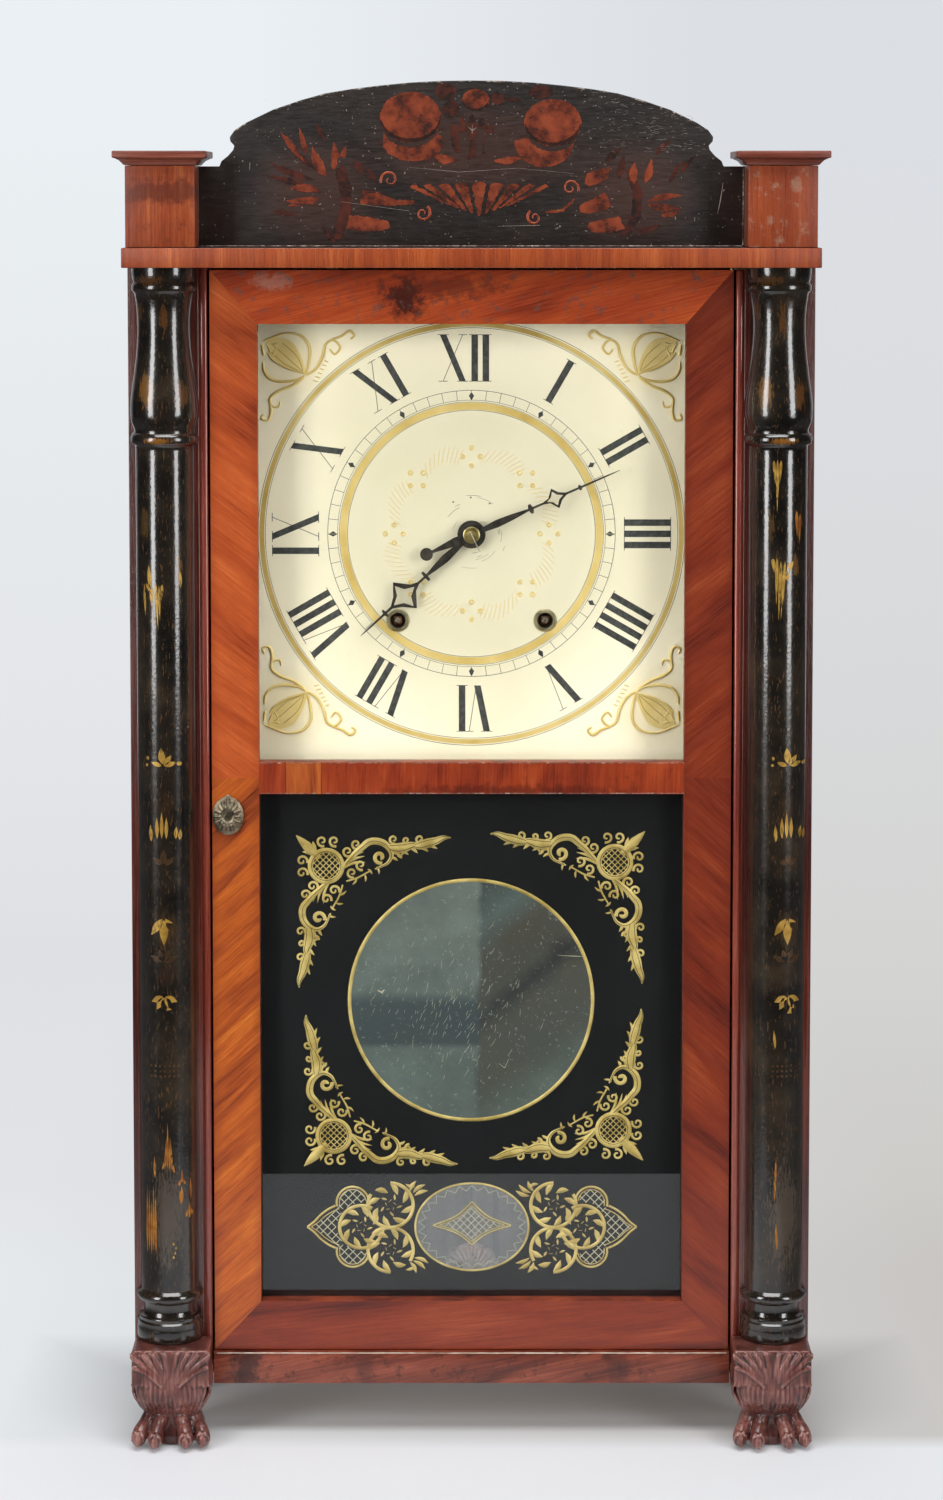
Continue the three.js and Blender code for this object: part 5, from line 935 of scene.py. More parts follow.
def tuft(x, z, size, leaves, way):
    """Leaves fanned from a stem at (x, z): (degrees from upright, length, half width) each."""
    out = []
    for angle, length, wide in leaves:
        dx, dz = size * math.sin(math.radians(angle)), size * way * math.cos(math.radians(angle))
        stem = 0.12 * length
        out.append(leaf(x + dx * stem, z + dz * stem, x + dx * length, z + dz * length, wide * size))
    return out


def ragged(x, z, wide, high, teeth, lean=0.0, seed=1):
    """An upright streaked patch, pointed at its low end when high is negative."""
    random.seed(seed)
    out = []
    for i in range(teeth):
        share = (i + 0.5) / teeth * 2 - 1
        reach = high * (1 - abs(share) ** 1.3) * random.uniform(0.75, 1.1)
        start = z + random.uniform(-2, 2)
        out.append(leaf(x + share * wide, start, x + share * wide * 0.55 + lean, start + reach,
                        wide / teeth * 0.82, fullest=0.3))
    return out


# Tufts are (degrees from upright, length, half width); the spray is (offset, height).
FOUR, DROP = ((
    -72, 8, 1.5), (-6, 12, 2.3), (38, 9, 1.7), (74, 9, 1.7)), ((-34, 15, 2.4), (0, 19, 2.8), (34, 15, 2.4))
FAN = ((-62, 9, 1.9), (-28, 10, 2.0), (0, 11.5, 2.2), (28, 10, 2.0), (62, 9, 1.9))
DULL_THREE = ((-50, 9, 1.8), (50, 9, 1.8), (0, 11, 2.0))
DULL_FOUR = ((-60, 9, 2.0), (-20, 9, 2.0), (20, 9, 2.0), (60, 9, 2.0))
SPRAY = ((-8, 13), (-4, 18), (-1, 21), (2, 18), (8, 12), (10.5, 10))
BROWN_GOLD, ORANGE_GOLD = ("#6B4A26", "#3D2A1A"), ("#D08E34", "#8F4E1C")
for word, side in SIDES:
    x = side * COLUMN_AXIS_X
    mid = x - 1 if side < 0 else x + 6.5
    bright = tuft(mid, 447.5, 1.0, FOUR, 1)
    bright += [oval(mid - 10, 452.5, 0.9, 1.2), oval(mid - 10.5, 448, 0.9, 0.9),
               oval(mid + 10.5, 449, 1.6, 1.3)]
    bright += [leaf(mid + dx, 396 + 2 * (dx % 3), mid + dx * 1.05, 396 + high, 1.2) for dx, high in SPRAY]
    bright += tuft(mid, 349, 1.0, DROP, -1) + tuft(mid, 297, 1.05, FAN, -1)
    dull = tuft(mid, 382, 1.0, DULL_THREE, 1) + tuft(mid, 318, 1.1, DULL_FOUR, 1)
    dull += [oval(mid - 9 + 3 * i, 243.5 + 3.4 * j, 0.85, 0.9, 10) for i in range(7) for j in range(3)]
    rubbed = []
    if side < 0:
        bright += ragged(x - 6, 566, 6.4, -46, 6, lean=2.0, seed=3)
        bright += [leaf(x - 9.5, 578, x - 8.5, 560, 1.3), leaf(x - 12.6, 566, x - 11.8, 545, 0.8),
                   leaf(x + 10.6, 574, x + 11, 563, 1.0)]
        # The rubbed flame: an apex, a long left branch and a broken right one.
        rubbed += ragged(x + 1, 181, 4.6, 33, 6, seed=5) + ragged(x + 9.6, 171, 3.0, 11, 3, seed=9)
        rubbed += ragged(x + 14, 148, 2.6, 13, 3, seed=19)
        rubbed += [leaf(x - 13.6 + 1.5 * i, 125 + 2 * (i % 2), x - 13.4 + 1.4 * i, 171 - 5 * (i % 3), 0.68,
                        fullest=0.4) for i in range(5)]
        rubbed += [leaf(x - 8, 176, x - 8.4, 190, 0.8), leaf(x + 9, 158, x + 9.2, 170, 1.3),
                   leaf(x + 15, 160, x + 14.6, 175, 0.6)]
        bright += [oval(x + 4 + 0.8 * (i % 3), 123 + 3 * i, 0.6, 1.0, 10) for i in range(4)]
    else:
        bright += ragged(x + 2, 582, 8.0, -52, 6, lean=-2.0, seed=13)
        bright += ragged(x - 2, 648, 3.5, -34, 3, seed=15)
        rubbed += ragged(x + 12, 612, 2.5, -30, 2, seed=17)
        bright += [leaf(x - 1, 262, x - 2, 274, 0.9), leaf(x + 10, 284, x + 11, 291, 0.9)]
        rubbed += [leaf(x - 1, 160, x, 190, 0.8), leaf(x + 1, 128, x, 146, 0.8)]
    front = COLUMN_BACK - COLUMN_RADIUS - 0.07
    for part, outlines, gold, wear in (
            ("bright", bright, (GOLD_LEAF, "#9A7228"), 0.43), ("dull", dull, BROWN_GOLD, 0.47),
            ("rubbed", rubbed, ORANGE_GOLD, 0.43)):
        if outlines:
            finish = gilding(f"{part} gilding {word}", gold, wear)
            settle(wrapped(fills(outlines, front), x), f"column_gilding_{part}_{word}", "case",
                   finish, smooth=60)


# Paw feet
# Carved mahogany feet: acanthus leaves over a haunch of combed hair and a four-toed paw with claws,
# varnished over every ridge. They are screwed up under the front corners of the case.

FOOT_X, FOOT_AXIS_Y, FOOT_HALF, FOOT_REACH, FOOT_LEG = 196.5, -38.25, 26.1, 41.5, 41.4
FOOT_BLOCK_FRONT, FOOT_BLOCK_TOP = -71.25, 64.9
LEG_LINE = ((0, 0.9, 0.79), (0.2, 0.85, 0.72), (0.3, 0.75, 0.62), (0.4, 0.68, 0.585), (0.48, 0.7, 0.61),
            (0.6, 0.84, 0.7), (0.75, 0.95, 0.77), (0.9, 1.0, 0.795), (1, 1.0, 0.795))
CARVED_TONES = ("#2A1513", "#502A25", "#703F37", "#94645A")


def foot_front(x, z):
    """How far forward the foot's surface stands at an offset x from its middle and a height z."""
    share = z / FOOT_LEG
    for (a, half_a, reach_a), (b, half_b, reach_b) in zip(LEG_LINE, LEG_LINE[1:]):
        if share <= b:
            t = (share - a) / (b - a)
            half = FOOT_HALF * (half_a + t * (half_b - half_a))
            reach = FOOT_REACH * (reach_a + t * (reach_b - reach_a))
            round_off = max(0.0, 1 - min(1.0, abs(x) / half) ** 3) ** (1 / 3)
            return FOOT_AXIS_Y - reach * (0.4 + 0.6 * round_off)
    return FOOT_BLOCK_FRONT + 0.9


def on_foot(side, points, lift):
    """Smooth rod points on one side of the foot's face, brought forward by lift."""
    laid = smooth_run([(side * x, z, radius) for x, z, radius in points])
    return [(FOOT_X + x, foot_front(x, z) - lift, z, radius) for x, z, radius in laid]


# The leaf's ribs spread from its root to the top edge, and a rolled rim runs out to each corner.
LEAF_RIBS = (
    (-0.3, ((1.6, 42, 0.9), (2.2, 50, 1.7), (3.2, 58, 1.9), (4.6, 63.6, 1.5))),
    (0.1, ((3.0, 43, 0.9), (5.0, 50, 1.8), (8.2, 57, 2.1), (11.6, 63.2, 1.7))),
    (0.2, ((4.2, 43.5, 0.9), (8.0, 50, 1.7), (13.2, 56.5, 2.0), (18.4, 62.8, 1.8))),
    (0.4, ((5.2, 43.5, 0.8), (10.5, 49, 1.6), (17.5, 55.2, 1.9), (24.4, 61.0, 2.0), (24.6, 63, 1.7))),
    (0.9, ((6.0, 41, 0.8), (10.5, 46.2, 1.5), (16.5, 51.0, 1.6), (25.0, 54.6, 1.5))),
)
# Combed hair on the haunch, drawn in to the ankle: offset at its top, offset at its end, top.
FRONT_HAIR = ((24.4, 16.8, 44), (21.4, 14.8, 47), (18.4, 12.8, 46), (15.4, 10.8, 44), (12.4, 8.8, 42),
              (9.4, 6.6, 41), (6.4, 4.4, 40), (3.2, 2.2, 39))
# The same hair down the sides of the haunch, close to the body's swell: depth and top.
SIDE_HAIR = ((-60, 46), (-53, 48), (-46, 47), (-39, 46), (-32, 45))
SIDE_SWELL = ((0, 0.93), (0.25, 0.94), (0.5, 0.86), (0.75, 0.7), (1, 0.56))
ribs = []
for side in (-1, 1):
    for lift, points in LEAF_RIBS:
        ribs.append(on_foot(side, points, lift))
    for start, end, top in FRONT_HAIR:
        lock = ((start, top, 0.9), (start * 1.02, top - 9, 1.6), ((start + end) / 2, 26.5, 1.5),
                (end, 19.0, 0.9))
        ribs.append(on_foot(side, lock, -0.7))
    # Two toes a side: a tendon, a knuckle and a drawn-out claw.
    for top, low, ankle_y, toe_y in ((13.4, 20.9, -54.5, -68.5), (5.6, 9.9, -60.0, -72.0)):
        x = lambda share: FOOT_X + side * (top + (low - top) * share)
        y = lambda share: ankle_y + (toe_y - ankle_y) * share
        toe = [(x(0), y(0), 20.5, 3.0), (x(0.25), y(0.2), 17.0, 4.4), (x(0.55), y(0.45), 13.4, 4.4),
               (x(0.85), y(0.78), 10.0, 5.0), (x(1), y(1), 6.2, 5.2), (x(1), y(1) + 2, 4.4, 4.4)]
        claw = [(x(1), y(1) - 4.2, 10.6, 1.8), (x(1.02), y(1) - 5.6, 8.0, 2.5),
                (x(1.04), y(1) - 6.2, 5.0, 2.2), (x(1.05), y(1) - 6.0, 2.2, 1.2)]
        ribs += [smooth_run(toe), claw]
        for edge in (-1, 1):
            sides = ((1, 1.2, 4.4, 12.2, 1.0), (1, 3.3, 4.4, 9.2, 1.1), (1.02, 3.6, 4.2, 5.0, 1.0))
            ribs.append([(x(share) + edge * out, y(1) - lift, z, r) for share, out, lift, z, r in sides])
    # The web that joins the two toes.
    web = ((10, -55.0, 19.0, 3.4), (13, -60.5, 12.0, 4.6), (15.2, -64.5, 5.0, 4.6))
    ribs.append([(FOOT_X + side * x, y, z, radius) for x, y, z, radius in web])
    for depth, top in SIDE_HAIR:
        ribs.append([(FOOT_X + side * share * FOOT_HALF, FOOT_AXIS_Y + (depth - FOOT_AXIS_Y) * share,
                      top - 21 * t, 1.9 - 0.8 * t) for t, share in SIDE_SWELL])

# The body: an oval leg that swells from the ankle to the haunch, under a square block.
FOOT_BODY = ((0, 0.76, 25, 20), (1.2, 0.8, 26, 21), (5, 0.8, 26.5, 21), (9, 0.76, 25.5, 20),
             (13, 0.7, 24.5, 19.5), (17, 0.67, 24, 19), (20, 0.71, 25.5, 19), (25, 0.85, 29, 20),
             (31, 0.95, 32, 21), (37, 1.0, 33, 21.5), (47, 1.0, 33, 21.5))
foot = turned(FOOT_X, FOOT_AXIS_Y, [(z, half * FOOT_HALF, *reaches) for z, half, *reaches in FOOT_BODY], 40)
low_corner = (FOOT_X - 25.4, FOOT_BLOCK_FRONT + 0.9, 41.0)
high_corner = (FOOT_X + 25.4, -38.6, FOOT_BLOCK_TOP)
bpy.ops.mesh.primitive_cube_add(size=1, location=[(a + b) / 2 * MM for a, b in zip(low_corner, high_corner)])
block = bpy.context.object
block.scale = [(b - a) * MM for a, b in zip(low_corner, high_corner)]
bpy.ops.object.transform_apply(location=True, scale=True)
press(block, "BEVEL", width=1.6 * MM, segments=3)


def grown(piece, parts, voxel, passes):
    """Joins parts to a piece under one new skin, then softens it by some passes."""
    take(piece)
    for part in parts:
        part.select_set(True)
    bpy.ops.object.join()
    press(piece, "REMESH", mode="VOXEL", voxel_size=voxel * MM, use_smooth_shade=True)
    if passes:
        press(piece, "SMOOTH", factor=0.5, iterations=passes)
    return piece


foot = grown(foot, [rods(ribs, 3), block], 0.75, 3)
# The carver works within a sawn block, so nothing stands outside the CAD foot's box.
corners = [corner.co for corner in node_of["paw_foot_right"].data.vertices]
least, most = ([pick(corner[axis] for corner in corners) for axis in range(3)] for pick in (min, max))
for vert in foot.data.vertices:
    vert.co = [min(max(value, low), high) for value, low, high in zip(vert.co, least, most)]


# Carved mahogany: reddish brown, dark in the hollows where varnish pooled, rubbed paler on ridges.
def carved(name, tones, pale):
    finish, here = new_finish(name)
    form = add(finish, "NewGeometry").outputs["Pointiness"]
    broad = add(finish, "TexNoise", {"Vector": here, "Scale": 60.0, "Detail": 4.0})
    fine = streaks(finish, here, (1.2, 20), Detail=4.0)
    ridge = add(finish, "MapRange", {"Value": form, "From Min": 0.44, "From Max": 0.56, "To Min": -0.16,
                                     "To Max": 0.16})
    mixed = add(finish, "Math", {0: broad, 1: fine}, operation="ADD")
    mixed = add(finish, "Math", {0: mixed, 1: 0.5, 2: ridge}, operation="MULTIPLY_ADD")
    shade = add(finish, "ValToRGB", {"Fac": mixed}, stops=list(zip((0.34, 0.45, 0.55, 0.68), tones)))
    shade = stained(finish, shade, pale, form, 0.545, 0.61, 0.6)
    bump = add(finish, "Bump", {"Height": fine, "Strength": 0.2, "Distance": 0.0002})
    return surface(finish, {"Base Color": shade, "Roughness": 0.3, "Normal": bump, "Coat Weight": 0.35,
                            "Coat Roughness": 0.2})


carved_mahogany = carved("carved and varnished mahogany", CARVED_TONES, "#C4AFA5")
for word, shape in (("right", foot), ("left", again(foot, (-2 * FOOT_X, 0, 0)))):
    settle(shape, f"carved_foot_{word}", "case", carved_mahogany, [f"paw_foot_{word}"],
           smooth=70)


# Rear feet
# Plain turned beech feet stained nearly black. From the front they are seen only as dark bulbs
# behind the paws.

REAR_FOOT_X, REAR_FOOT_Y, REAR_FOOT_TOP, REAR_FOOT_RADIUS = 198.0, 49.75, 41.4, 19.0
REAR_TURNING = ((0, 0.6), (0.04, 0.7), (0.12, 0.84), (0.22, 0.95), (0.35, 1), (0.46, 0.985), (0.55, 0.93),
                (0.63, 0.82), (0.7, 0.68), (0.75, 0.54), (0.78, 0.5), (0.81, 0.62), (0.84, 0.72),
                (0.9, 0.77), (1, 0.78))
rear_line = [(share * REAR_FOOT_TOP, radius * REAR_FOOT_RADIUS) for share, radius in REAR_TURNING]
rear_foot = turned(-REAR_FOOT_X, REAR_FOOT_Y, rear_line, 48)
dark_beech = timber("stained turned beech", ("#17100D", "#221713", "#2E1F19", "#3A281F"), figure=(14, 90),
                    sheen=0.4, coat=0.2)
for word, side in SIDES:
    shape = again(rear_foot, (2 * REAR_FOOT_X, 0, 0)) if side > 0 else rear_foot
    settle(shape, f"turned_rear_foot_{word}", "case", dark_beech, [f"rear_foot_{word}"],
           smooth=50)


# Door
# A pine frame faced with thin mitred mahogany veneers laid at a slant, so the figure meets in points
# at the corners and half way up each stile. The knob is a pressed brass rosette gone grey.

DOOR_HALF, LIGHT_HALF = 169.4, 138.8
DOOR_FOOT, DOOR_TOP, TABLET_FOOT, TABLET_TOP, DIAL_FOOT, DIAL_TOP = 55.4, 767.92, 87.8, 426.1, 447.1, 733.1
VENEER_MEET = 436.6
VENEER_Y, VENEER_THICK = -38.4, 0.24
DOOR_TONES = ("#7C2C12", "#AE4A1E", "#C65C28", "#DE7C3E")
DOOR_ORANGE = ("#5A200C", "#A2481A", "#C4601E", "#DC8230")
# The top rail's tones are lighter as painted light, against the shade the top board casts on it.
TOP_TONES_PAINTED_LIGHT = ("#72260F", "#AC401B", "#C65422", "#E07634")
DOOR_PURPLE = ("#4E170C", "#782913", "#8C3618", "#A34C26")
RAIL_TONES = ("#4E180C", "#762812", "#8A3417", "#A24926")
MIDDLE_TONES = ("#5E1D0E", "#8C3015", "#A23E18", "#B85426")
PATCH_TONES = ("#7A3014", "#A84E20", "#BC6228", "#CC7A3C")

door_core = timber("door frame pine, stained", ("#4A1B10", "#6B2A18", "#8A3A20", "#A04C2A"),
                   figure=(20, 300), sheen=0.4)
for node in ("door_stile_left", "door_stile_right", "door_top_rail", "door_middle_rail", "door_bottom_rail"):
    settle(eased(node, 0.3), f"{node}_core", "door", door_core, [node])

stile_upper = [(LIGHT_HALF, VENEER_MEET), (DOOR_HALF, VENEER_MEET), (DOOR_HALF, DOOR_TOP),
               (LIGHT_HALF, DIAL_TOP)]
stile_lower = [(LIGHT_HALF, TABLET_FOOT), (DOOR_HALF, DOOR_FOOT), (DOOR_HALF, VENEER_MEET),
               (LIGHT_HALF, VENEER_MEET)]
top_veneer = [(-LIGHT_HALF, DIAL_TOP), (LIGHT_HALF, DIAL_TOP), (DOOR_HALF, DOOR_TOP), (-DOOR_HALF, DOOR_TOP)]
foot_veneer = [(-DOOR_HALF, DOOR_FOOT), (DOOR_HALF, DOOR_FOOT), (LIGHT_HALF, TABLET_FOOT),
               (-LIGHT_HALF, TABLET_FOOT)]
across_rail = lambda x0, x1: [(x0, TABLET_TOP), (x1, TABLET_TOP), (x1, DIAL_FOOT), (x0, DIAL_FOOT)]
mirrored = lambda outline: [(-x, z) for x, z in outline]
SLANT = dict(streak=(0.9, 30), sheen=0.34, coat=0.3, swirl=0.7, spread=0.2, fleck=0.3)
STILE_EDGE_DARKENING = ("X", 154.1, 15.6)
MIDDLE_SPOTS = ((30, 428, 110, 6, "#4A160C", 0.6),)
TOP_SPOTS = ((-43, 748.6, 19, 18, "#2E0F0B", 0.9), (-130, 760, 18, 8, "#C9A898", 0.35),
             (-20, 757, 60, 12, "#5A2117", 0.6))
# The middle rail is pieced across its width from three short lengths of upright grain.
VENEERS = (
    ("stile_left_upper", mirrored(stile_upper), DOOR_TONES, 128, (24, 130), 0.11, ()),
    ("stile_left_lower", mirrored(stile_lower), DOOR_ORANGE, 48, (11, 90), 0.23, ()),
    ("stile_right_upper", stile_upper, DOOR_PURPLE, 52, (24, 130), 0.37, ()),
    ("stile_right_lower", stile_lower, DOOR_PURPLE, 132, (20, 120), 0.41, ()),
    ("rail_top", top_veneer, TOP_TONES_PAINTED_LIGHT, 76, (26, 130), 0.59, TOP_SPOTS),
    ("rail_bottom", foot_veneer, RAIL_TONES, 84, (20, 120), 0.73, ()),
    ("rail_middle_end", across_rail(-LIGHT_HALF, -121.3), MIDDLE_TONES, 3, (14, 60), 0.83, ()),
    ("rail_middle_patch", across_rail(-121.0, -98.2), PATCH_TONES, -5, (10, 60), 0.19, ()),
    ("rail_middle_long", across_rail(-97.9, LIGHT_HALF), MIDDLE_TONES, 2, (22, 60), 0.47, MIDDLE_SPOTS),
)
for name, outline, tones, angle, figure, seed, spots in VENEERS:
    edge_darkening = STILE_EDGE_DARKENING if name.startswith("stile") else None
    wood = timber(f"slanted veneer {name}", tones, turn=angle, figure=figure, seed=seed, spots=spots,
                  edge_darkening=edge_darkening, **SLANT)
    settle(fills([outline], VENEER_Y, VENEER_THICK), f"veneer_{name}", "door", wood, smooth=0)
# Bare, dusty wood shows where the middle rail's two edges have been knocked.
random.seed(31)
knocked = [
    [(x, z, random.uniform(0.04, 0.34)) for x, z in between((-LIGHT_HALF, edge), (LIGHT_HALF, edge), 140)]
    for edge in (TABLET_TOP + 0.5, DIAL_FOOT - 0.5)]
settle(drawn(knocked, VENEER_Y - VENEER_THICK / 2, 0.3), "knocked_rail_edges", "door",
       dusty_wood, smooth=0)

# The rosette: a raised rim, eight pressed petals and a boss, on a plate with a pointed top.
KNOB_X, KNOB_Z, KNOB_FACE = -159.0, 412.0, -42.6
petals = []
for i in range(16):
    turn = 2 * math.pi * i / 16
    c, s = math.cos(turn), math.sin(turn)
    wide, high = 8.2 + 0.4 * (i % 2), 9.8 + 0.5 * (i % 2) + (1.6 if i == 4 else 0)
    petals.append([(KNOB_X + 3.4 * c, KNOB_FACE + 0.1, KNOB_Z + 3.4 * s, 0.7),
                   (KNOB_X + 0.6 * wide * c, KNOB_FACE - 0.1, KNOB_Z + 0.6 * high * s, 1.15),
                   (KNOB_X + wide * c, KNOB_FACE + 1.3, KNOB_Z + high * s, 0.9 + 0.5 * (i % 2))])
rim = [(x, KNOB_FACE - 0.2, z, 0.75) for x, z in sweep(KNOB_X, KNOB_Z, 4.2, 4.9, 0, 360, 24)]
boss = [(KNOB_X, KNOB_FACE + 0.6, KNOB_Z, 2.6), (KNOB_X, KNOB_FACE - 0.4, KNOB_Z, 2.2)]
knob = grown(eased("door_knob", 0), [rods(petals + [rim, boss], 3)], 0.3, 2)


def metal(name, tones, rough, wear="#C9BFA8", rub=0.4, scale=180.0, bare=1.0):
    """Metal with its tarnish: dull in the hollows, rubbed bright on what stands out.

    Bare is 1 for metal and less for what only holds some of it, such as gilt.
    """
    finish, here = new_finish(name)
    tarnish = add(finish, "TexNoise", {"Vector": here, "Scale": scale, "Detail": 5.0, "Roughness": 0.6})
    shade = add(finish, "ValToRGB", {"Fac": tarnish}, stops=[(0.36, tones[0]), (0.64, tones[1])])
    form = add(finish, "NewGeometry").outputs["Pointiness"]
    shade = stained(finish, shade, wear, form, 0.52, 0.6, rub)
    dull = add(finish, "MapRange", {"Value": tarnish, "From Min": 0.3, "From Max": 0.7,
                                    "To Min": rough - 0.05, "To Max": rough + 0.12})
    bump = add(finish, "Bump", {"Height": tarnish, "Strength": 0.15, "Distance": 0.0001})
    return surface(finish, {"Base Color": shade, "Metallic": bare, "Roughness": dull, "Normal": bump})


# Pressed brass: its lacquer long gone, greyish brown with pale high spots.
greyed_brass = metal("pressed brass gone grey", ("#6E6352", "#A0947C"), 0.38, wear="#D5CBB8", rub=0.6)
settle(knob, "pressed_knob", "knob", greyed_brass, ["door_knob"], smooth=60)
# Drawn brass wire, rubbed bright where the door turns on it.
drawn_brass = metal("drawn brass wire", ("#8A6A34", "#B8924E"), 0.3)
dress(drawn_brass, "hinge_pin_top", "hinge_pin_bottom")


# Glasses
# Two panes of old crown glass, thin and slightly green: the upper one is clear over the dial, the
# lower one is painted on its back.


def pane(name, tint):
    """Clear glass that lets the lamps through to what lies behind it."""
    finish = new_finish(name)[0]
    body = add(finish, "BsdfPrincipled", {"Base Color": tint, "Roughness": 0.0, "IOR": 1.5,
                                          "Transmission Weight": 1.0})
    clear = add(finish, "BsdfTransparent", {"Color": tint})
    ray = add(finish, "LightPath")
    mixed = add(finish, "MixShader", {0: ray.outputs["Is Shadow Ray"], 1: body, 2: clear})
    add(finish, "OutputMaterial", {"Surface": mixed})
    return finish


dress(pane("clear window glass", "#FBFCF9"), "upper_glass")
dress(pane("painted window glass", "#F9FAF7"), "tablet_glass")


# Tablet
# The lower glass is painted on the back: gilt scroll corners and a long cartouche laid on first, a
# silvered disc in a gilt ring, and black paint over all but an oval to watch the pendulum through.

TABLET_HALF = 140.5
VEIN_Y, GILT_Y, MIRROR_Y, FILM_Y, BLACK_Y = -24.92, -24.8, -24.72, -24.66, -24.55
MIRROR_Z, MIRROR_RADIUS = 286.4, 79.4
OVAL_Z, OVAL_WIDE, OVAL_HIGH = 133.9, 37.2, 29.1


def clouded(name, scale, detail, stops, sockets):
    """A finish whose colour runs through its stops in soft clouds."""
    finish, here = new_finish(name)
    cloud = add(finish, "TexNoise", {"Vector": here, "Scale": scale, "Detail": detail})
    shade = add(finish, "ValToRGB", {"Fac": cloud}, stops=stops)
    return surface(finish, {"Base Color": shade, **sockets})


# Black oil paint over the back of the glass, matt and a little uneven.
black_paint = clouded("black paint on glass", 12.0, 3.0, [(0.3, "#08090B"), (0.7, "#101114")],
                      {"Roughness": 0.6, "Specular IOR Level": 0.2})
painted = [(-TABLET_HALF, 85.8), (TABLET_HALF, 85.8), (TABLET_HALF, 428.0), (-TABLET_HALF, 428.0)]
settle(fills([painted, oval(0.3, OVAL_Z, OVAL_WIDE, OVAL_HIGH, 96)], BLACK_Y, 0.06), "tablet_black", "door",
       black_paint, smooth=0)

# Old silvering: a cloudy grey-green mirror with foxed specks. Its bands of light and dark, with a
# dark diagonal among them, are a painted reflection of the studio.
silvering_and_reflection, here = new_finish("old silvering with painted reflection")
apart = add(silvering_and_reflection, "SeparateXYZ", {"Vector": here})
lean = add(silvering_and_reflection, "Math", {0: apart.outputs["X"], 1: -0.75, 2: apart.outputs["Z"]},
           operation="MULTIPLY_ADD")
cloud = add(silvering_and_reflection, "TexNoise", {"Vector": here, "Scale": 22.0, "Detail": 6.0, "Roughness": 0.65})
bent = add(silvering_and_reflection, "Math", {0: cloud, 1: 0.03, 2: lean}, operation="MULTIPLY_ADD")
across = add(silvering_and_reflection, "MapRange", {"Value": bent, "From Min": 0.195, "From Max": 0.375})
right = add(
    silvering_and_reflection, "ValToRGB", {"Fac": across}, stops=[(0.0, "#616F69"), (0.14, "#555D57"), (0.24, "#4B4A43"),
                                                   (0.42, "#4C4A42"), (0.495, "#282A2B"), (0.56, "#43423C"),
                                                   (0.72, "#47443D"), (0.84, "#53615F"), (1.0, "#2F3435")])
low = add(silvering_and_reflection, "MapRange", {"Value": apart.outputs["Z"], "From Min": 0.235, "From Max": 0.33})
left = add(
    silvering_and_reflection, "ValToRGB", {"Fac": low}, stops=[(0.0, "#636F6D"), (0.2, "#636F6D"), (0.24, "#39444A"),
                                                (0.52, "#3B474D"), (0.6, "#697572"), (1.0, "#6D7772")])
bent = add(silvering_and_reflection, "Math", {0: cloud, 1: 0.014, 2: apart.outputs["X"]}, operation="MULTIPLY_ADD")
aside = add(silvering_and_reflection, "MapRange", {"Value": bent, "From Min": 0.010, "From Max": 0.014})
shade = add(silvering_and_reflection, "MixRGB", {"Fac": aside, "Color1": left, "Color2": right})
shade = stained(silvering_and_reflection, shade, "#424B49", cloud, 0.35, 0.65, 0.55)
dust = add(silvering_and_reflection, "TexNoise", {"Vector": here, "Scale": 420.0, "Detail": 3.0, "Roughness": 0.7})
shade = stained(silvering_and_reflection, shade, "#A5B0AC", dust, 0.62, 0.7, 0.45)
surface(silvering_and_reflection, {"Base Color": shade, "Metallic": 0.25, "Roughness": 0.5})
settle(fills([oval(-0.3, MIRROR_Z, MIRROR_RADIUS, MIRROR_RADIUS, 128)], MIRROR_Y, 0.03), "tablet_mirror",
       "door", silvering_and_reflection, smooth=0)

# Gold size and bronze powder seen through the glass: flat, greenish yellow, barely metallic.
tablet_gold = clouded("bronze powder on glass", 90.0, 4.0, [(0.35, "#A8904A"), (0.65, "#D2BC78")],
                      {"Metallic": 0.25, "Roughness": 0.5})


def arc(x, z, radius, half, start=0, end=360, count=64):
    """A round line as (x, z, half width) points."""
    return [(*place, half) for place in sweep(x, z, radius, radius, start, end, count)]


def blade(x0, z0, x1, z1, wide, hook=0.0):
    """A leaf as one stroke that swells in the middle; hook bends it to one side."""
    dx, dz = x1 - x0, z1 - z0
    bent = lambda t, bow: (x0 + dx * t - dz * hook * bow, z0 + dz * t + dx * hook * bow)
    return smooth_run([(x0, z0, 0.2), (*bent(0.3, 0.8), 0.85 * wide), (*bent(0.6, 0.9), wide),
                       (x1, z1, 0.12)], 3)


def lattice(inside, x0, x1, z0, z1, spacing, half):
    """Crossed slanting lines at a spacing, kept where inside(x, z) holds."""
    out, tall = [], z1 - z0
    for way in (-1, 1):
        for k in range(int((x1 - x0 + tall) / spacing) + 1):
            start, run = x0 - (tall if way > 0 else 0) + k * spacing, []
            for i in range(61):
                point = (start + way * tall * i / 60, z0 + tall * i / 60, half)
                if inside(*point[:2]):
                    run.append(point)
                if run and (i == 60 or not inside(*point[:2])):
                    out += [[run[0], run[-1]]] if len(run) > 1 else []
                    run = []
    return out


def veins(stroke, count=1):
    """Thin lines along a broad stroke, as the engraver's needle scratched them through the gold."""
    out = []
    for k in range(count):
        aside = 0 if count == 1 else (k / (count - 1) * 2 - 1) * 0.5
        line = []
        befores, afters = [stroke[0]] + stroke, stroke[1:] + [stroke[-1]]
        for (x0, z0, _), (x1, z1, _), (x, z, half) in zip(befores, afters, stroke):
            length = math.hypot(x1 - x0, z1 - z0) or 1
            line.append((x - (z1 - z0) / length * half * aside, z + (x1 - x0) / length * half * aside, 0.2))
        out.append(line[2:-2])
    return out


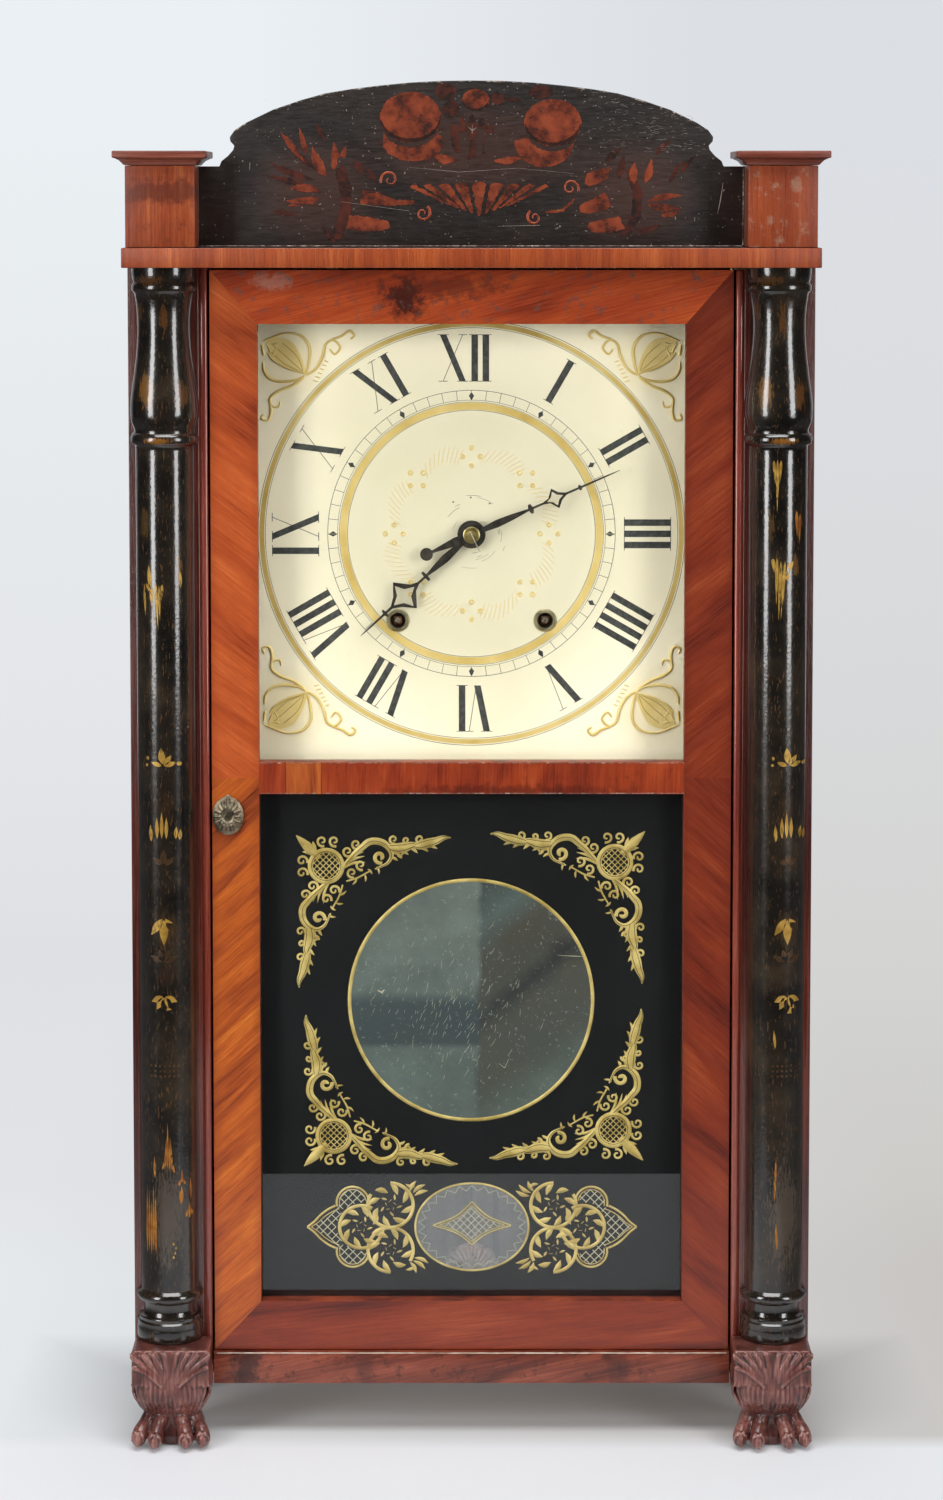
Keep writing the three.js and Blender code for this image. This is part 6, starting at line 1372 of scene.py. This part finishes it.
# A corner in (along, across, half width) from its tip: a scrolled band, a clump of leaf and a long
# end leaf, with curls along both edges. The real lattice is 2 mm apart; it is drawn at 4 to 6 mm,
# so that it shows.
CORNER_BANDS = (
    ((31, 21, 1.5), (35.5, 16, 2.0), (39.5, 11.5, 2.3), (44, 7.6, 2.5), (47.8, 4.6, 2.7), (52.5, 3.9, 2.7),
     (57.5, 5.3, 2.6), (61.4, 9, 2.2), (62.8, 13.6, 1.6), (60.5, 18.2, 1.2), (56.5, 20.6, 0.9),
     (52, 22.6, 0.6)),
    ((60, 8, 2.0), (66, 8.6, 3.7), (71, 8.2, 3.9), (75.5, 6.8, 2.8), (79, 6.2, 1.7)),
    ((77, 7.5, 1.6), (82, 6.6, 3.4), (87, 5.2, 3.6), (92, 3.8, 2.9), (97, 1.8, 1.9), (101.8, 1.7, 0.3)))
CORNER_STEM = ((33, 30.6, 0.6), (40, 28.6, 0.7), (45.5, 25.6, 0.6), (49, 23.6, 0.6))
CORNER_CURLS = ((17.2, 3.9, 3.8), (25.2, 3.9, 3.8), (34, 10.8, 3.6), (39.6, 6, 3.4), (42.6, 19.8, 3.6),
                (36.8, 25, 3.6), (64.2, 2.8, 3.2), (72.5, 3.4, 2.4), (81.5, 2.6, 3.0), (69, 12.4, 2.4))
CORNER_BLADES = (
    (32, 20, 44.5, 11, 1.0), (32, 21, 45, 14, 1.0), (32, 22, 45.5, 18, 1.0), (45, 26, 45.5, 31, 0.8),
    (47, 22.5, 50, 26, 0.8), (62, 15, 67, 17, 1.1), (53, 21, 54.5, 26, 0.8), (75, 9, 80, 12, 1.1),
    (40, 28, 37, 33, 0.8), (63, 12, 69, 13.5, 1.1), (68, 11, 74, 13, 1.1), (82, 9, 87, 11, 1.0),
    (88, 8, 93, 9, 0.9))
CORNER_TIPS = ((-115.4, 396.5, 1, -1), (114.1, 399.1, -1, -1), (-110.9, 174.8, 1, 1), (113.6, 178.8, -1, 1))
ROUND_X, ROUND_Z, ROUND_RADIUS = 19.8, 20.5, 9


def placed(stroke, place):
    """A stroke whose points are carried to their places."""
    return [(*place(a, b), half) for a, b, half in stroke]


gilt, thin_gilt, scratched = [arc(-0.3, MIRROR_Z, 80.2, 1.35, count=128)], [], []
for tip_x, tip_z, across, up in CORNER_TIPS:
    for arm in (0, 1):
        place = lambda a, b: (tip_x + across * (b if arm else a), tip_z + up * (a if arm else b))
        flip = (1 if across * up < 0 else -1) * (-1 if arm else 1)
        for k, stroke in enumerate(CORNER_BANDS):
            band = placed(smooth_run(stroke), place)
            gilt.append(band)
            scratched += veins(band, 2 if k else 1)
        gilt.append(placed(smooth_run(CORNER_STEM), place))
        for a, b, radius in CORNER_CURLS:
            gilt.append(placed(spiral(a, b, radius, 1.15, 70, 1, (1.0, 0.65), 16), place))
        for a0, b0, a1, b1, wide in CORNER_BLADES:
            gilt.append(blade(*place(a0, b0), *place(a1, b1), wide, 0.12 * flip))
        gilt.append(placed(spiral(55.2, 14.6, 4.4, 1.0, 70, 1, (1.4, 1.6), 16), place))
    place = lambda a, b: (tip_x + across * a, tip_z + up * b)
    gilt.append(placed(((0, 0, 0.2), (3.2, 3.2, 2.2), (7, 7, 3.6), (11, 11, 3.4), (15, 15, 2.2)), place))
    gilt += [blade(*place(13, 12), *place(*tip), 1.5) for tip in ((4, 11), (11, 4))]
    x, z = place(ROUND_X, ROUND_Z)
    gilt.append(arc(x, z, 10.4, 2.0, count=40))
    scratched.append(arc(x, z, 9.6, 0.2, count=40))
    in_round = lambda a, b: math.hypot(a - x, b - z) < ROUND_RADIUS
    gilt += lattice(in_round, x - ROUND_RADIUS, x + ROUND_RADIUS, z - ROUND_RADIUS, z + ROUND_RADIUS, 4.0,
                    0.36)

# The cartouche: an oval in a gilt ring with a zigzag and a drawn-in lattice diamond, then on each
# side three round scrolls of acanthus about a rose, and a lattice leaf that ends in a point.
OVAL_X = 0.3


def round_oval(share, half, count):
    """A closed line about the clear oval; share(i) says how far out its point i stands."""
    line = []
    for i in range(count + 1):
        turn, out = 2 * math.pi * i / count, share(i)
        line.append((OVAL_X + OVAL_WIDE * out * math.cos(turn), OVAL_Z + OVAL_HIGH * out * math.sin(turn),
                     half))
    return line


gilt.append(round_oval(lambda i: 1.01, 0.8, 96))
thin_gilt.append(round_oval(lambda i: 0.84 + 0.12 * (i % 2), 0.32, 52))
DIAMOND = ((-26, 1), (0, 17), (26, 1), (0, -12))
for (x0, z0), (x1, z1) in zip(DIAMOND, DIAMOND[1:] + DIAMOND[:1]):
    for share, half in ((1.0, 0.5), (0.84, 0.3)):
        side_run = smooth_run([(x0, z0, half), ((x0 + x1) * 0.4, (z0 + z1) * 0.4 + 0.2, half),
                               (x1, z1, half)])
        gilt.append([(OVAL_X + x * share, OVAL_Z + 1 + (z - 1) * share, half) for x, z, half in side_run])


def in_diamond(x, z):
    """Whether a place lies in the small lattice at the middle of the oval."""
    aside, level = x - OVAL_X, z - OVAL_Z - 1
    return (abs(aside) / 22) ** 0.75 + (abs(level) / (14 if level > 0 else 11)) ** 0.75 < 1


thin_gilt += lattice(in_diamond, -21.7, 22.3, OVAL_Z - 11, OVAL_Z + 16, 5.0, 0.3)


def in_leaf(x, z):
    """Whether a place lies in the lattice leaf at either end of the cartouche."""
    out, high = abs(x - OVAL_X), abs(z - OVAL_Z)
    lobe = math.hypot(out - 79, high - 16.4) < 9.4
    point = 84 < out < 107 and high < 0.75 * (106 - out)
    return (lobe or point) and math.hypot(out - 73.4, high) > 16 and math.hypot(out - 54, high - 15) > 16.8


for side in (-1, 1):
    for up in (-1, 1):
        spot = lambda x, z: (OVAL_X + side * x, OVAL_Z + up * z)
        edge = smooth_run([(109.1, 0, 0.8), (104.5, 3.6, 0.8), (100.5, 7.9, 0.8), (95.5, 11.8, 0.8),
                           (90.5, 14.3, 0.8)])
        gilt.append(placed(edge, spot))
        gilt.append([(*spot(x - 2.6, z * 0.86), 0.35) for x, z, half in edge])
        for radius, half in ((10.7, 0.8), (8.8, 0.35)):
            gilt.append(placed(arc(79, 16.4, radius, half, -14, 172, 24), spot))
        for x0, z0, x1, z1, wide in ((38, 21, 29, 24.5, 1.5), (39, 23, 31, 28.5, 1.5),
                                     (41, 24, 37, 31, 1.5), (38, 27, 44, 29, 1.2)):
            gilt.append(blade(*spot(x0, z0), *spot(x1, z1), wide, 0.1))
    for cx, cz, radius in ((54, 14.6, 15.0), (54, -15.6, 15.0), (73.4, 0, 14.4)):
        x, z = OVAL_X + side * cx, OVAL_Z + cz
        opening = 180 if cx > 60 else (90 if cz > 0 else -90)
        start = opening if side > 0 else 180 - opening
        gilt.append(arc(x, z, radius, 1.3, start, start + 300 * side, 44))
        polar = lambda reach, turn: sweep(x, z, radius * reach, radius * reach, turn, turn, 1)[0]
        for k in range(8):
            gilt.append(blade(*polar(0.95, 45 * k), *polar(0.56, 45 * k + 34 * side), 2.0, -0.12 * side))
        for k in range(5):
            gilt.append([(*polar(0.19, 72 * k + 20), 0.7), (*polar(0.2, 72 * k + 22), 1.7),
                         (*polar(0.21, 72 * k + 24), 0.7)])
            gilt.append(blade(*polar(0.3, 72 * k + 50), *polar(0.52, 72 * k + 70), 0.8))
    thin_gilt += lattice(in_leaf, *sorted((OVAL_X + side * 68, OVAL_X + side * 109)), OVAL_Z - 26,
                         OVAL_Z + 26, 5.6, 0.34)
settle(drawn(gilt, GILT_Y, 0.035), "tablet_gilding", "door", tablet_gold, smooth=0)
pale_gold = plain("thin pale gilding", "#B4B09A", 0.6)
settle(drawn(thin_gilt, GILT_Y, 0.08), "tablet_thin_gilding", "door", pale_gold, smooth=0)
settle(drawn(scratched, VEIN_Y, 0.1), "tablet_needle_lines", "door", black_paint, smooth=0)

# The oval is bare but hazed with dust on its back; old scratches cross the silvering.
haze = new_finish("dust on glass")[0]
film = add(haze, "MixShader", {0: 0.28, 1: add(haze, "BsdfTransparent"),
                               2: add(haze, "BsdfDiffuse", {"Color": "#9A9DA4"})})
add(haze, "OutputMaterial", {"Surface": film})
settle(fills([oval(OVAL_X, OVAL_Z, OVAL_WIDE, OVAL_HIGH, 64)], FILM_Y, 0.02), "tablet_haze", "door",
       haze, smooth=0)
random.seed(21)
scratches = []
for _ in range(170):
    x, z = random.gauss(-14, 26), random.gauss(277, 24)
    lean, long = random.gauss(1.0, 0.5), random.uniform(1.5, 6)
    if math.hypot(x, z - MIRROR_Z) < 72:
        scratches.append([(x, z, 0.05), (x + long * 0.25 * lean, z + long / 2, 0.13),
                          (x + long * 0.4 * lean, z + long, 0.05)])
scratches += [[(57, 316.4, 0.1), (69, 315.8, 0.3), (74, 315.6, 0.1)],
              [(-62, 293, 0.3), (-59, 291.5, 0.9), (-57.5, 293.5, 0.4)],
              [(18, 244, 0.1), (22, 241, 0.3), (24.6, 247, 0.1)]]
settle(drawn(scratches, MIRROR_Y - 0.04, 0.1), "tablet_scratches", "door", pale_gold,
       smooth=0)


# Dial
# A pine board gessoed and painted cream, with Roman numerals and a minute track in black, gilt
# rings, raised gilt leaf work in the corners and a faint gilt wreath about the hands.

DIAL_Z, DIAL_FACE = 594.02, -9.25
PAINT_Y = DIAL_FACE - 0.04
NUMERAL_OUT, NUMERAL_IN, THICK, HAIR = 131.0, 100.5, 2.15, 0.24
CREAM_MIDDLE_PAINTED_SHADE, CREAM_EDGE_PAINTED_LIGHT, CREAM_CLOUD, CORNER_TAN = "#DCD4BC", "#FFF5DC", "#CFC6A4", "#E6D2A2"

# Cream oil paint over gesso, warm in the corners, clouded and flecked with grime. It is painted
# darker in the middle as painted shade against the brighter light there, and lighter out to the edge
# as painted light where the door frame shades it.
cream, here = new_finish("cream dial paint")
middle = round_spot(cream, here, (0, 0, DIAL_Z), (190, 190))
shade = add(cream, "ValToRGB", {"Fac": middle}, stops=[(0.25, CREAM_EDGE_PAINTED_LIGHT), (0.62, CREAM_MIDDLE_PAINTED_SHADE)])
apart = add(cream, "SeparateXYZ", {"Vector": here})
aside = add(cream, "Math", {0: apart.outputs["X"]}, operation="ABSOLUTE")
level = add(cream, "Math", {0: apart.outputs["Z"], 1: DIAL_Z * MM}, operation="SUBTRACT")
level = add(cream, "Math", {0: level}, operation="ABSOLUTE")
folded = add(cream, "CombineXYZ", {0: aside, 2: level})
corner = round_spot(cream, folded, (121, 0, 115), (30, 30))
shade = stained(cream, shade, CORNER_TAN, corner, 0.0, 0.5, 0.4)
cloud = add(cream, "TexNoise", {"Vector": here, "Scale": 9.0, "Detail": 4.0})
shade = stained(cream, shade, CREAM_CLOUD, cloud, 0.4, 0.75, 0.4)
grime = add(cream, "TexNoise", {"Vector": here, "Scale": 260.0, "Detail": 3.0})
shade = stained(cream, shade, "#B3A684", grime, 0.72, 0.78, 0.35)
bump = add(cream, "Bump", {"Height": cloud, "Strength": 0.2, "Distance": 0.0004})
surface(cream, {"Base Color": shade, "Roughness": 0.5, "Normal": bump})
dress(cream, "dial_board")


def on_dial(hour, u, r):
    """A place given round the dial: u millimetres clockwise of an hour's line, r out from the centre."""
    turn = math.radians(30 * hour)
    return r * math.sin(turn) + u * math.cos(turn), DIAL_Z + r * math.cos(turn) - u * math.sin(turn)


def bar(hour, u_out, u_in, half, r_out=NUMERAL_OUT, r_in=NUMERAL_IN):
    """The outline of a thick stroke between two radii."""
    corners = ((u_out - half, r_out), (u_out + half, r_out), (u_in + half, r_in), (u_in - half, r_in))
    return [on_dial(hour, u, r) for u, r in corners]


def hair(hour, u0, r0, u1, r1):
    """A hairline between two places round an hour's line."""
    return [(*on_dial(hour, u, r), HAIR) for u, r in ((u0, r0), (u1, r1))]


NUMERALS = ((1, "I", (0,)), (2, "II", (-3.7, 3.7)), (3, "III", (-7.4, 0, 7.4)),
            (4, "IIII", (-11.1, -3.7, 3.7, 11.1)), (5, "V", (-0.5,)), (6, "VI", (-4.7, 6.2)),
            (7, "VII", (-8.2, 2.6, 9.9)), (8, "VIII", (-12.0, -1.3, 6.1, 13.4)), (9, "IX", (-11.2, 4.6)),
            (10, "X", (-2.0,)), (11, "XI", (-6.3, 8.6)), (12, "XII", (-12.2, 2.1, 9.4)))
# Each letter's thick stroke and hairline, from its outer end to its inner one, and half its serifs.
LETTERS = {"I": ((0, 0), None, 3.7), "V": ((-5.4, 0.8), (6.2, 1.6), 3.7),
           "X": ((-6.4, 6.4), (6.4, -6.4), 3.7)}
THIN_SERIF = 2.8
black_marks, thin_marks = [], []
for hour, letters, places in NUMERALS:
    for letter, u in zip(letters, places):
        (out, into), thin, half = LETTERS[letter]
        black_marks.append(bar(hour, u + out, u + into, THICK))
        thin_marks.append(hair(hour, u + out - half, NUMERAL_OUT, u + out + half, NUMERAL_OUT))
        if letter != "V":
            thin_marks.append(hair(hour, u + into - half, NUMERAL_IN, u + into + half, NUMERAL_IN))
        if thin:
            thin_marks.append(hair(hour, u + thin[0], NUMERAL_OUT, u + thin[1], NUMERAL_IN))
            thin_marks.append(hair(hour, u + thin[0] - THIN_SERIF, NUMERAL_OUT, u + thin[0] + THIN_SERIF,
                                   NUMERAL_OUT))
        if letter == "X":
            thin_marks.append(hair(hour, u + thin[1] - THIN_SERIF, NUMERAL_IN, u + thin[1] + THIN_SERIF,
                                   NUMERAL_IN))
for minute in range(60):
    black_marks.append(bar(minute / 5, 0, 0, 0.16, 94.4, 88.0))
for hour in range(12):
    black_marks.append([on_dial(hour, u, r) for u, r in ((0, 93.4), (1.8, 91.0), (0, 88.6), (-1.8, 91.0))])
black_marks += [oval(x, DIAL_Z + z, 0.7, 0.55, 10) for x, z in ((-12, 21), (-0.5, 24), (12, 20))]
# Lamp black in oil, thinly brushed, so the cream greys it a little.
thin_black = clouded("lamp black numerals", 300.0, 3.0, [(0.4, "#333434"), (0.68, "#4E4F4C")],
                     {"Roughness": 0.45})
settle(fills(black_marks, PAINT_Y, 0.06), "dial_numerals", "case", thin_black, smooth=0)
settle(drawn(thin_marks, PAINT_Y, 0.12), "dial_numeral_hairlines", "case", thin_black, smooth=0)


def bands(pairs):
    """Round bands between two radii on the dial."""
    out = []
    for outer, inner in pairs:
        out += [oval(0, DIAL_Z, outer, outer, 180), oval(0, DIAL_Z, inner, inner, 180)]
    return out


hairlines = bands(((140.5, 140.15), (135.75, 135.45), (94.7, 94.35), (88.2, 87.95), (87.0, 86.75),
                   (81.6, 81.3)))
settle(fills(hairlines, PAINT_Y, 0.05), "dial_hairlines", "case", thin_black, smooth=0)
# Gilt: bronze powder in varnish, straw yellow and only faintly metallic.
dial_gilt = clouded("dial gilding", 40.0, 4.0, [(0.3, "#C6A658"), (0.5, "#D8BC72"), (0.7, "#E6CB86")],
                    {"Metallic": 0.2, "Roughness": 0.45})
settle(fills(bands(((139.5, 136.3), (86.5, 81.9))), PAINT_Y, 0.06), "dial_gilt_rings", "case",
       dial_gilt, smooth=0)

# Raised work: whiting and glue run from a tube, then gilt. One corner is drawn and turned to four.
CORNER_PETAL = [(-133.9, 128.2), (-126, 129.2), (-118.1, 126.6), (-113.3, 120.3), (-110.1, 112.4),
                (-108.8, 105.6), (-118.1, 107.6), (-129.2, 113.9), (-133.2, 121.9)]
raised, domes = [], []
for sx in (-1, 1):
    for sz in (-1, 1):
        m = lambda points: [(-sx * x, DIAL_FACE - 0.1, DIAL_Z + sz * z, r) for x, z, r in smooth_run(points)]
        raised += [m([(-137.0, 126.5, 0.5), (-130, 129.4, 0.8), (-122, 132.0, 0.7), (-112, 130.5, 0.9),
                      (-106.2, 123, 1.0), (-106.8, 112, 0.9), (-109, 104.5, 0.7)]),
                   m([(-136.5, 113, 0.6), (-136.0, 107.6, 0.9), (-132.0, 102.2, 1.0), (-124.0, 100.2, 1.0),
                      (-114, 101.4, 0.9), (-109.5, 104.2, 0.7)]),
                   m([(-133.4, 119.5, 0.5), (-130.5, 115, 0.8), (-122, 109.6, 0.9), (-114, 107.0, 0.8),
                      (-109, 105.4, 0.6)]),
                   m([(-137.2, 124.5, 0.8), (-136.2, 117.5, 0.9)]),
                   m([(-133.6, 124.0, 0.7), (-131.4, 119.4, 0.8)]),
                   m([(-131.5, 124.6, 0.6), (-127.0, 125.4, 0.8)]),
                   m([(-127.5, 122.8, 0.6), (-130.2, 117.2, 0.7)]),
                   m([(-108.5, 104.6, 0.8), (-102.2, 108.6, 0.9), (-97.6, 117, 1.0), (-95.6, 124.6, 0.9),
                      (-90.5, 127.4, 0.8), (-86.0, 122.8, 0.8), (-89.6, 118.2, 0.7), (-92.8, 121.6, 0.6)]),
                   m([(-92, 127.8, 0.7), (-85.5, 130.0, 0.9), (-80, 133.4, 1.0), (-76.8, 130.4, 0.8),
                      (-79.4, 128.2, 0.7)]),
                   m([(-110, 103.0, 0.8), (-117.5, 97.6, 1.0), (-126, 94.2, 1.0), (-131.6, 89.8, 0.9),
                      (-131.2, 84.6, 0.8), (-126.6, 83.6, 0.7), (-125.4, 87.2, 0.6)]),
                   m([(-132.6, 88.6, 0.7), (-131.4, 80.6, 1.0), (-133.4, 75.0, 0.9), (-137.6, 75.8, 0.8),
                      (-136.6, 79.0, 0.6)])]
        raised += [m([(-104 + 1.5 * i, 101 + 2.6 * i, 0.35), (-100.5 + 1.3 * i, 100 + 2.6 * i, 0.35)])
                   for i in range(6)]
        domes.append([(-sx * x, DIAL_Z + sz * z) for x, z in smooth_run(CORNER_PETAL, 4, closed=True)])
gesso = rods(raised, 3)
gesso.scale = (1, 1.1, 1)
gesso.location = (0, (1 - 1.1) * DIAL_FACE * MM, 0)
# Worn gilt gesso: gold left on the swells, the cream ground showing thinly between.
gesso_gilt = metal("gilt gesso", ("#C9A95C", "#DCC384"), 0.45, wear="#F4DC8E", rub=0.8, scale=60.0, bare=0.15)
settle(gesso, "dial_raised_corners", "case", gesso_gilt, smooth=60)
petal_gilt = metal("gilt petals", ("#E2BE62", "#F0D488"), 0.42, wear="#F7E2A4", rub=0.5, scale=90.0, bare=0.3)
domed = fills(domes, DIAL_FACE - 0.3, 0.5)
press(domed, "BEVEL", width=0.25 * MM, segments=3, limit_method="ANGLE", angle_limit=math.radians(50))
settle(domed, "dial_gilt_petals", "case", petal_gilt, smooth=60)
PETAL_VEINS = (((110.4, 107.4), (114.5, 117), (124, 125.6)), ((110.6, 106.8), (120, 115.4), (130.6, 124.6)),
               ((112, 107), (122.4, 111.8), (131, 119.6)))
petal_lines = [[(sx * x, DIAL_Z + sz * z, 0.26) for x, z in smooth_run(vein)] for vein in PETAL_VEINS
               for sx in (-1, 1) for sz in (-1, 1)]
petal_brown = plain("brown lines on the petals", "#A88A48", 0.5)
settle(drawn(petal_lines, DIAL_FACE - 0.56, 0.15), "dial_petal_veins", "case", petal_brown,
       smooth=0)

# The wreath: eight sets of four beads, joined by faint combed ribbons.
beads, ribbons = [], []
for k in range(8):
    turn = math.pi * k / 4
    cx, cz = 50.9 * math.sin(turn), DIAL_Z + 50.9 * math.cos(turn)
    for q in range(4):
        spot = turn + math.pi * q / 2
        bead = arc(cx + 5.9 * math.sin(spot), cz + 5.9 * math.cos(spot), 1.3, 0.5, count=14)
        beads.append([(x, DIAL_FACE - 0.1, z, half) for x, z, half in bead])
    for j in range(9):
        a = turn + math.pi / 4 * (0.2 + 0.075 * j)
        near, far = 46.5 + 3 * math.sin(math.pi * j / 8), 55.5 + 4 * math.sin(math.pi * j / 8)
        ribbons.append([(r * math.sin(a + 0.05 * (r - 50) / 5),
                         DIAL_Z + r * math.cos(a + 0.05 * (r - 50) / 5), 0.34)
                        for r in (near, (near + far) / 2, far)])
settle(rods(beads, 2), "dial_wreath_beads", "case", gesso_gilt, smooth=60)
faint_gilt = plain("faint wreath gilding", "#DCC799", 0.5)
settle(drawn(ribbons, DIAL_FACE - 0.02, 0.15), "dial_wreath_ribbons", "case", faint_gilt,
       smooth=0)

# Scratches the hands and fingers have left round the middle.
random.seed(17)
hub_scratches = []
for _ in range(14):
    reach, start, turn = random.uniform(12, 26), random.uniform(0, 360), random.uniform(8, 34)
    hub_scratches.append(arc(0, DIAL_Z, reach, random.uniform(0.08, 0.16), start, start + turn, 8))
settle(drawn(hub_scratches, PAINT_Y, 0.12), "dial_hub_scratches", "case", thin_black, smooth=0)

# Eyelets: turned brass bushes let into the board round the winding holes, dull yellow grey.
EYELET_X, EYELET_Z = 48.5, 536.7
eyelet_brass = metal("turned brass eyelets", ("#A89C70", "#CDC29A"), 0.32, wear="#E2DABA", rub=0.4)
dress(eyelet_brass, "winding_eyelet_left", "winding_eyelet_right")


# Hands and arbor end
# Sheet-iron hands, once blued and now brown-grey, are held by a brass collet with a taper pin
# through it. The squared ends of the winding arbors stand deep in their eyelets.

hand_steel = metal("browned iron hands", ("#3B3835", "#57524C"), 0.42, wear="#7C766C", rub=0.3)
dress(hand_steel, "hour_hand", "minute_hand")
COLLET_Y, PIN_Y, SQUARE_Y, SQUARE_SIDE = -17.87, -18.9, -7.2, 3.3
COLLET_TURNING = ((0, 5.5), (0.25, 5.5), (0.45, 5.2), (0.45, 4.0), (0.3, 3.6), (0.3, 2.6), (0.75, 2.3),
                  (0.85, 1.6))
collet = turned(0, 0, COLLET_TURNING, 40)
collet.rotation_euler = (math.pi / 2, 0, 0)
collet.location = (0, COLLET_Y * MM, DIAL_Z * MM)
collet_brass = metal("turned brass collet", ("#A89252", "#CDBB7C"), 0.3, wear="#E6DCAE", rub=0.5)
settle(collet, "hand_collet", "centre", collet_brass, smooth=35)
pin = rods([[(-1.0, PIN_Y, DIAL_Z + 2.0, 0.6), (5.6, PIN_Y, DIAL_Z - 11.0, 0.34)]], 3)
pin_steel = metal("bright taper pin", ("#8E8A80", "#BDB9AE"), 0.25)
settle(pin, "hand_taper_pin", "centre", pin_steel, smooth=60)

# The squared iron ends of the winding arbors, deep in their eyelets.
for body, x in (("time_winding", EYELET_X), ("strike_winding", -EYELET_X)):
    bpy.ops.mesh.primitive_cube_add(
        size=1, location=(x * MM, SQUARE_Y * MM, EYELET_Z * MM), rotation=(0, 0.4, 0))
    square = take(bpy.context.object)
    square.scale = (SQUARE_SIDE * MM, SQUARE_SIDE / 5 * MM, SQUARE_SIDE * MM)
    bpy.ops.object.transform_apply(location=True, rotation=True, scale=True)
    press(square, "BEVEL", width=0.25 * MM, segments=2)
    settle(square, f"{body}_square", body, pin_steel)


# Movement
# A thirty-hour wooden movement: oak plates, cherry wheels with laurel arbors on iron pivots. It sits
# behind the dial, so its CAD solids keep their shapes and take their woods and metals.

plate_oak = timber("quartered oak plates", ("#6E4F2C", "#8F6C41", "#A68251", "#BD9A68"), figure=(14, 220),
                   streak=(1.0, 40), sheen=0.6)
wheel_cherry = timber("turned cherry wheels", ("#5E3420", "#7E4A2C", "#95603C", "#AD7A50"),
                      figure=(16, 120), streak=(0.9, 35), sheen=0.45)
wrought_iron = metal("wrought iron wire", ("#3A3734", "#5C5852"), 0.45, rub=0.3)
bell_metal = metal("cast bell metal", ("#6B5A3A", "#94804F"), 0.4)
cast_iron = metal("cast iron weights", ("#2B2927", "#423E39"), 0.62, wear="#6E6861", rub=0.25, scale=70.0)
dress(plate_oak, "front_plate", "back_plate")
dress(wheel_cherry, "time_drum", "time_great_wheel", "time_second_wheel", "time_third_wheel", "centre_arbor",
      "strike_drum", "strike_great_wheel", "pin_wheel", "fly", "count_wheel", "pulley_left", "pulley_right")
dress(wrought_iron, "verge", "pendulum_rod", "hammer")
dress(bell_metal, "bell")
dress(cast_iron, "weight_left", "weight_right")
dress(drawn_brass, "escape_wheel")

# The bob is lead cased in thin pressed brass, fluted from the middle out; it shows in the oval.
# Its pale tones are painted light and its near-white ridges a painted highlight, as the case shades it.
BOB_Z, BOB_RADIUS, BOB_HALF = 97.0, 19.0, 5.0
FLUTE = ((3.5, 0.4), (8, 0.85), (13, 1.3), (17.2, 1.5))
flutes = []
for i in range(28):
    turn = 2 * math.pi * i / 28
    c, s = math.cos(turn), math.sin(turn)
    face = lambda r: -0.94 * BOB_HALF * math.sqrt(1 - (r / BOB_RADIUS) ** 2)
    flutes.append([(r * c, face(r), BOB_Z + r * s, half) for r, half in FLUTE])
bob = grown(eased("pendulum_bob", 0), [rods(flutes, 2)], 0.4, 0)
pale_brass_painted_light = metal("pressed brass bob, painted pale as if lit", ("#C09A88", "#E6C8B8"), 0.28, wear="#FBEFE6", rub=0.8, bare=0.6)
settle(bob, "fluted_bob", "bob", pale_brass_painted_light, ["pendulum_bob"], smooth=50)
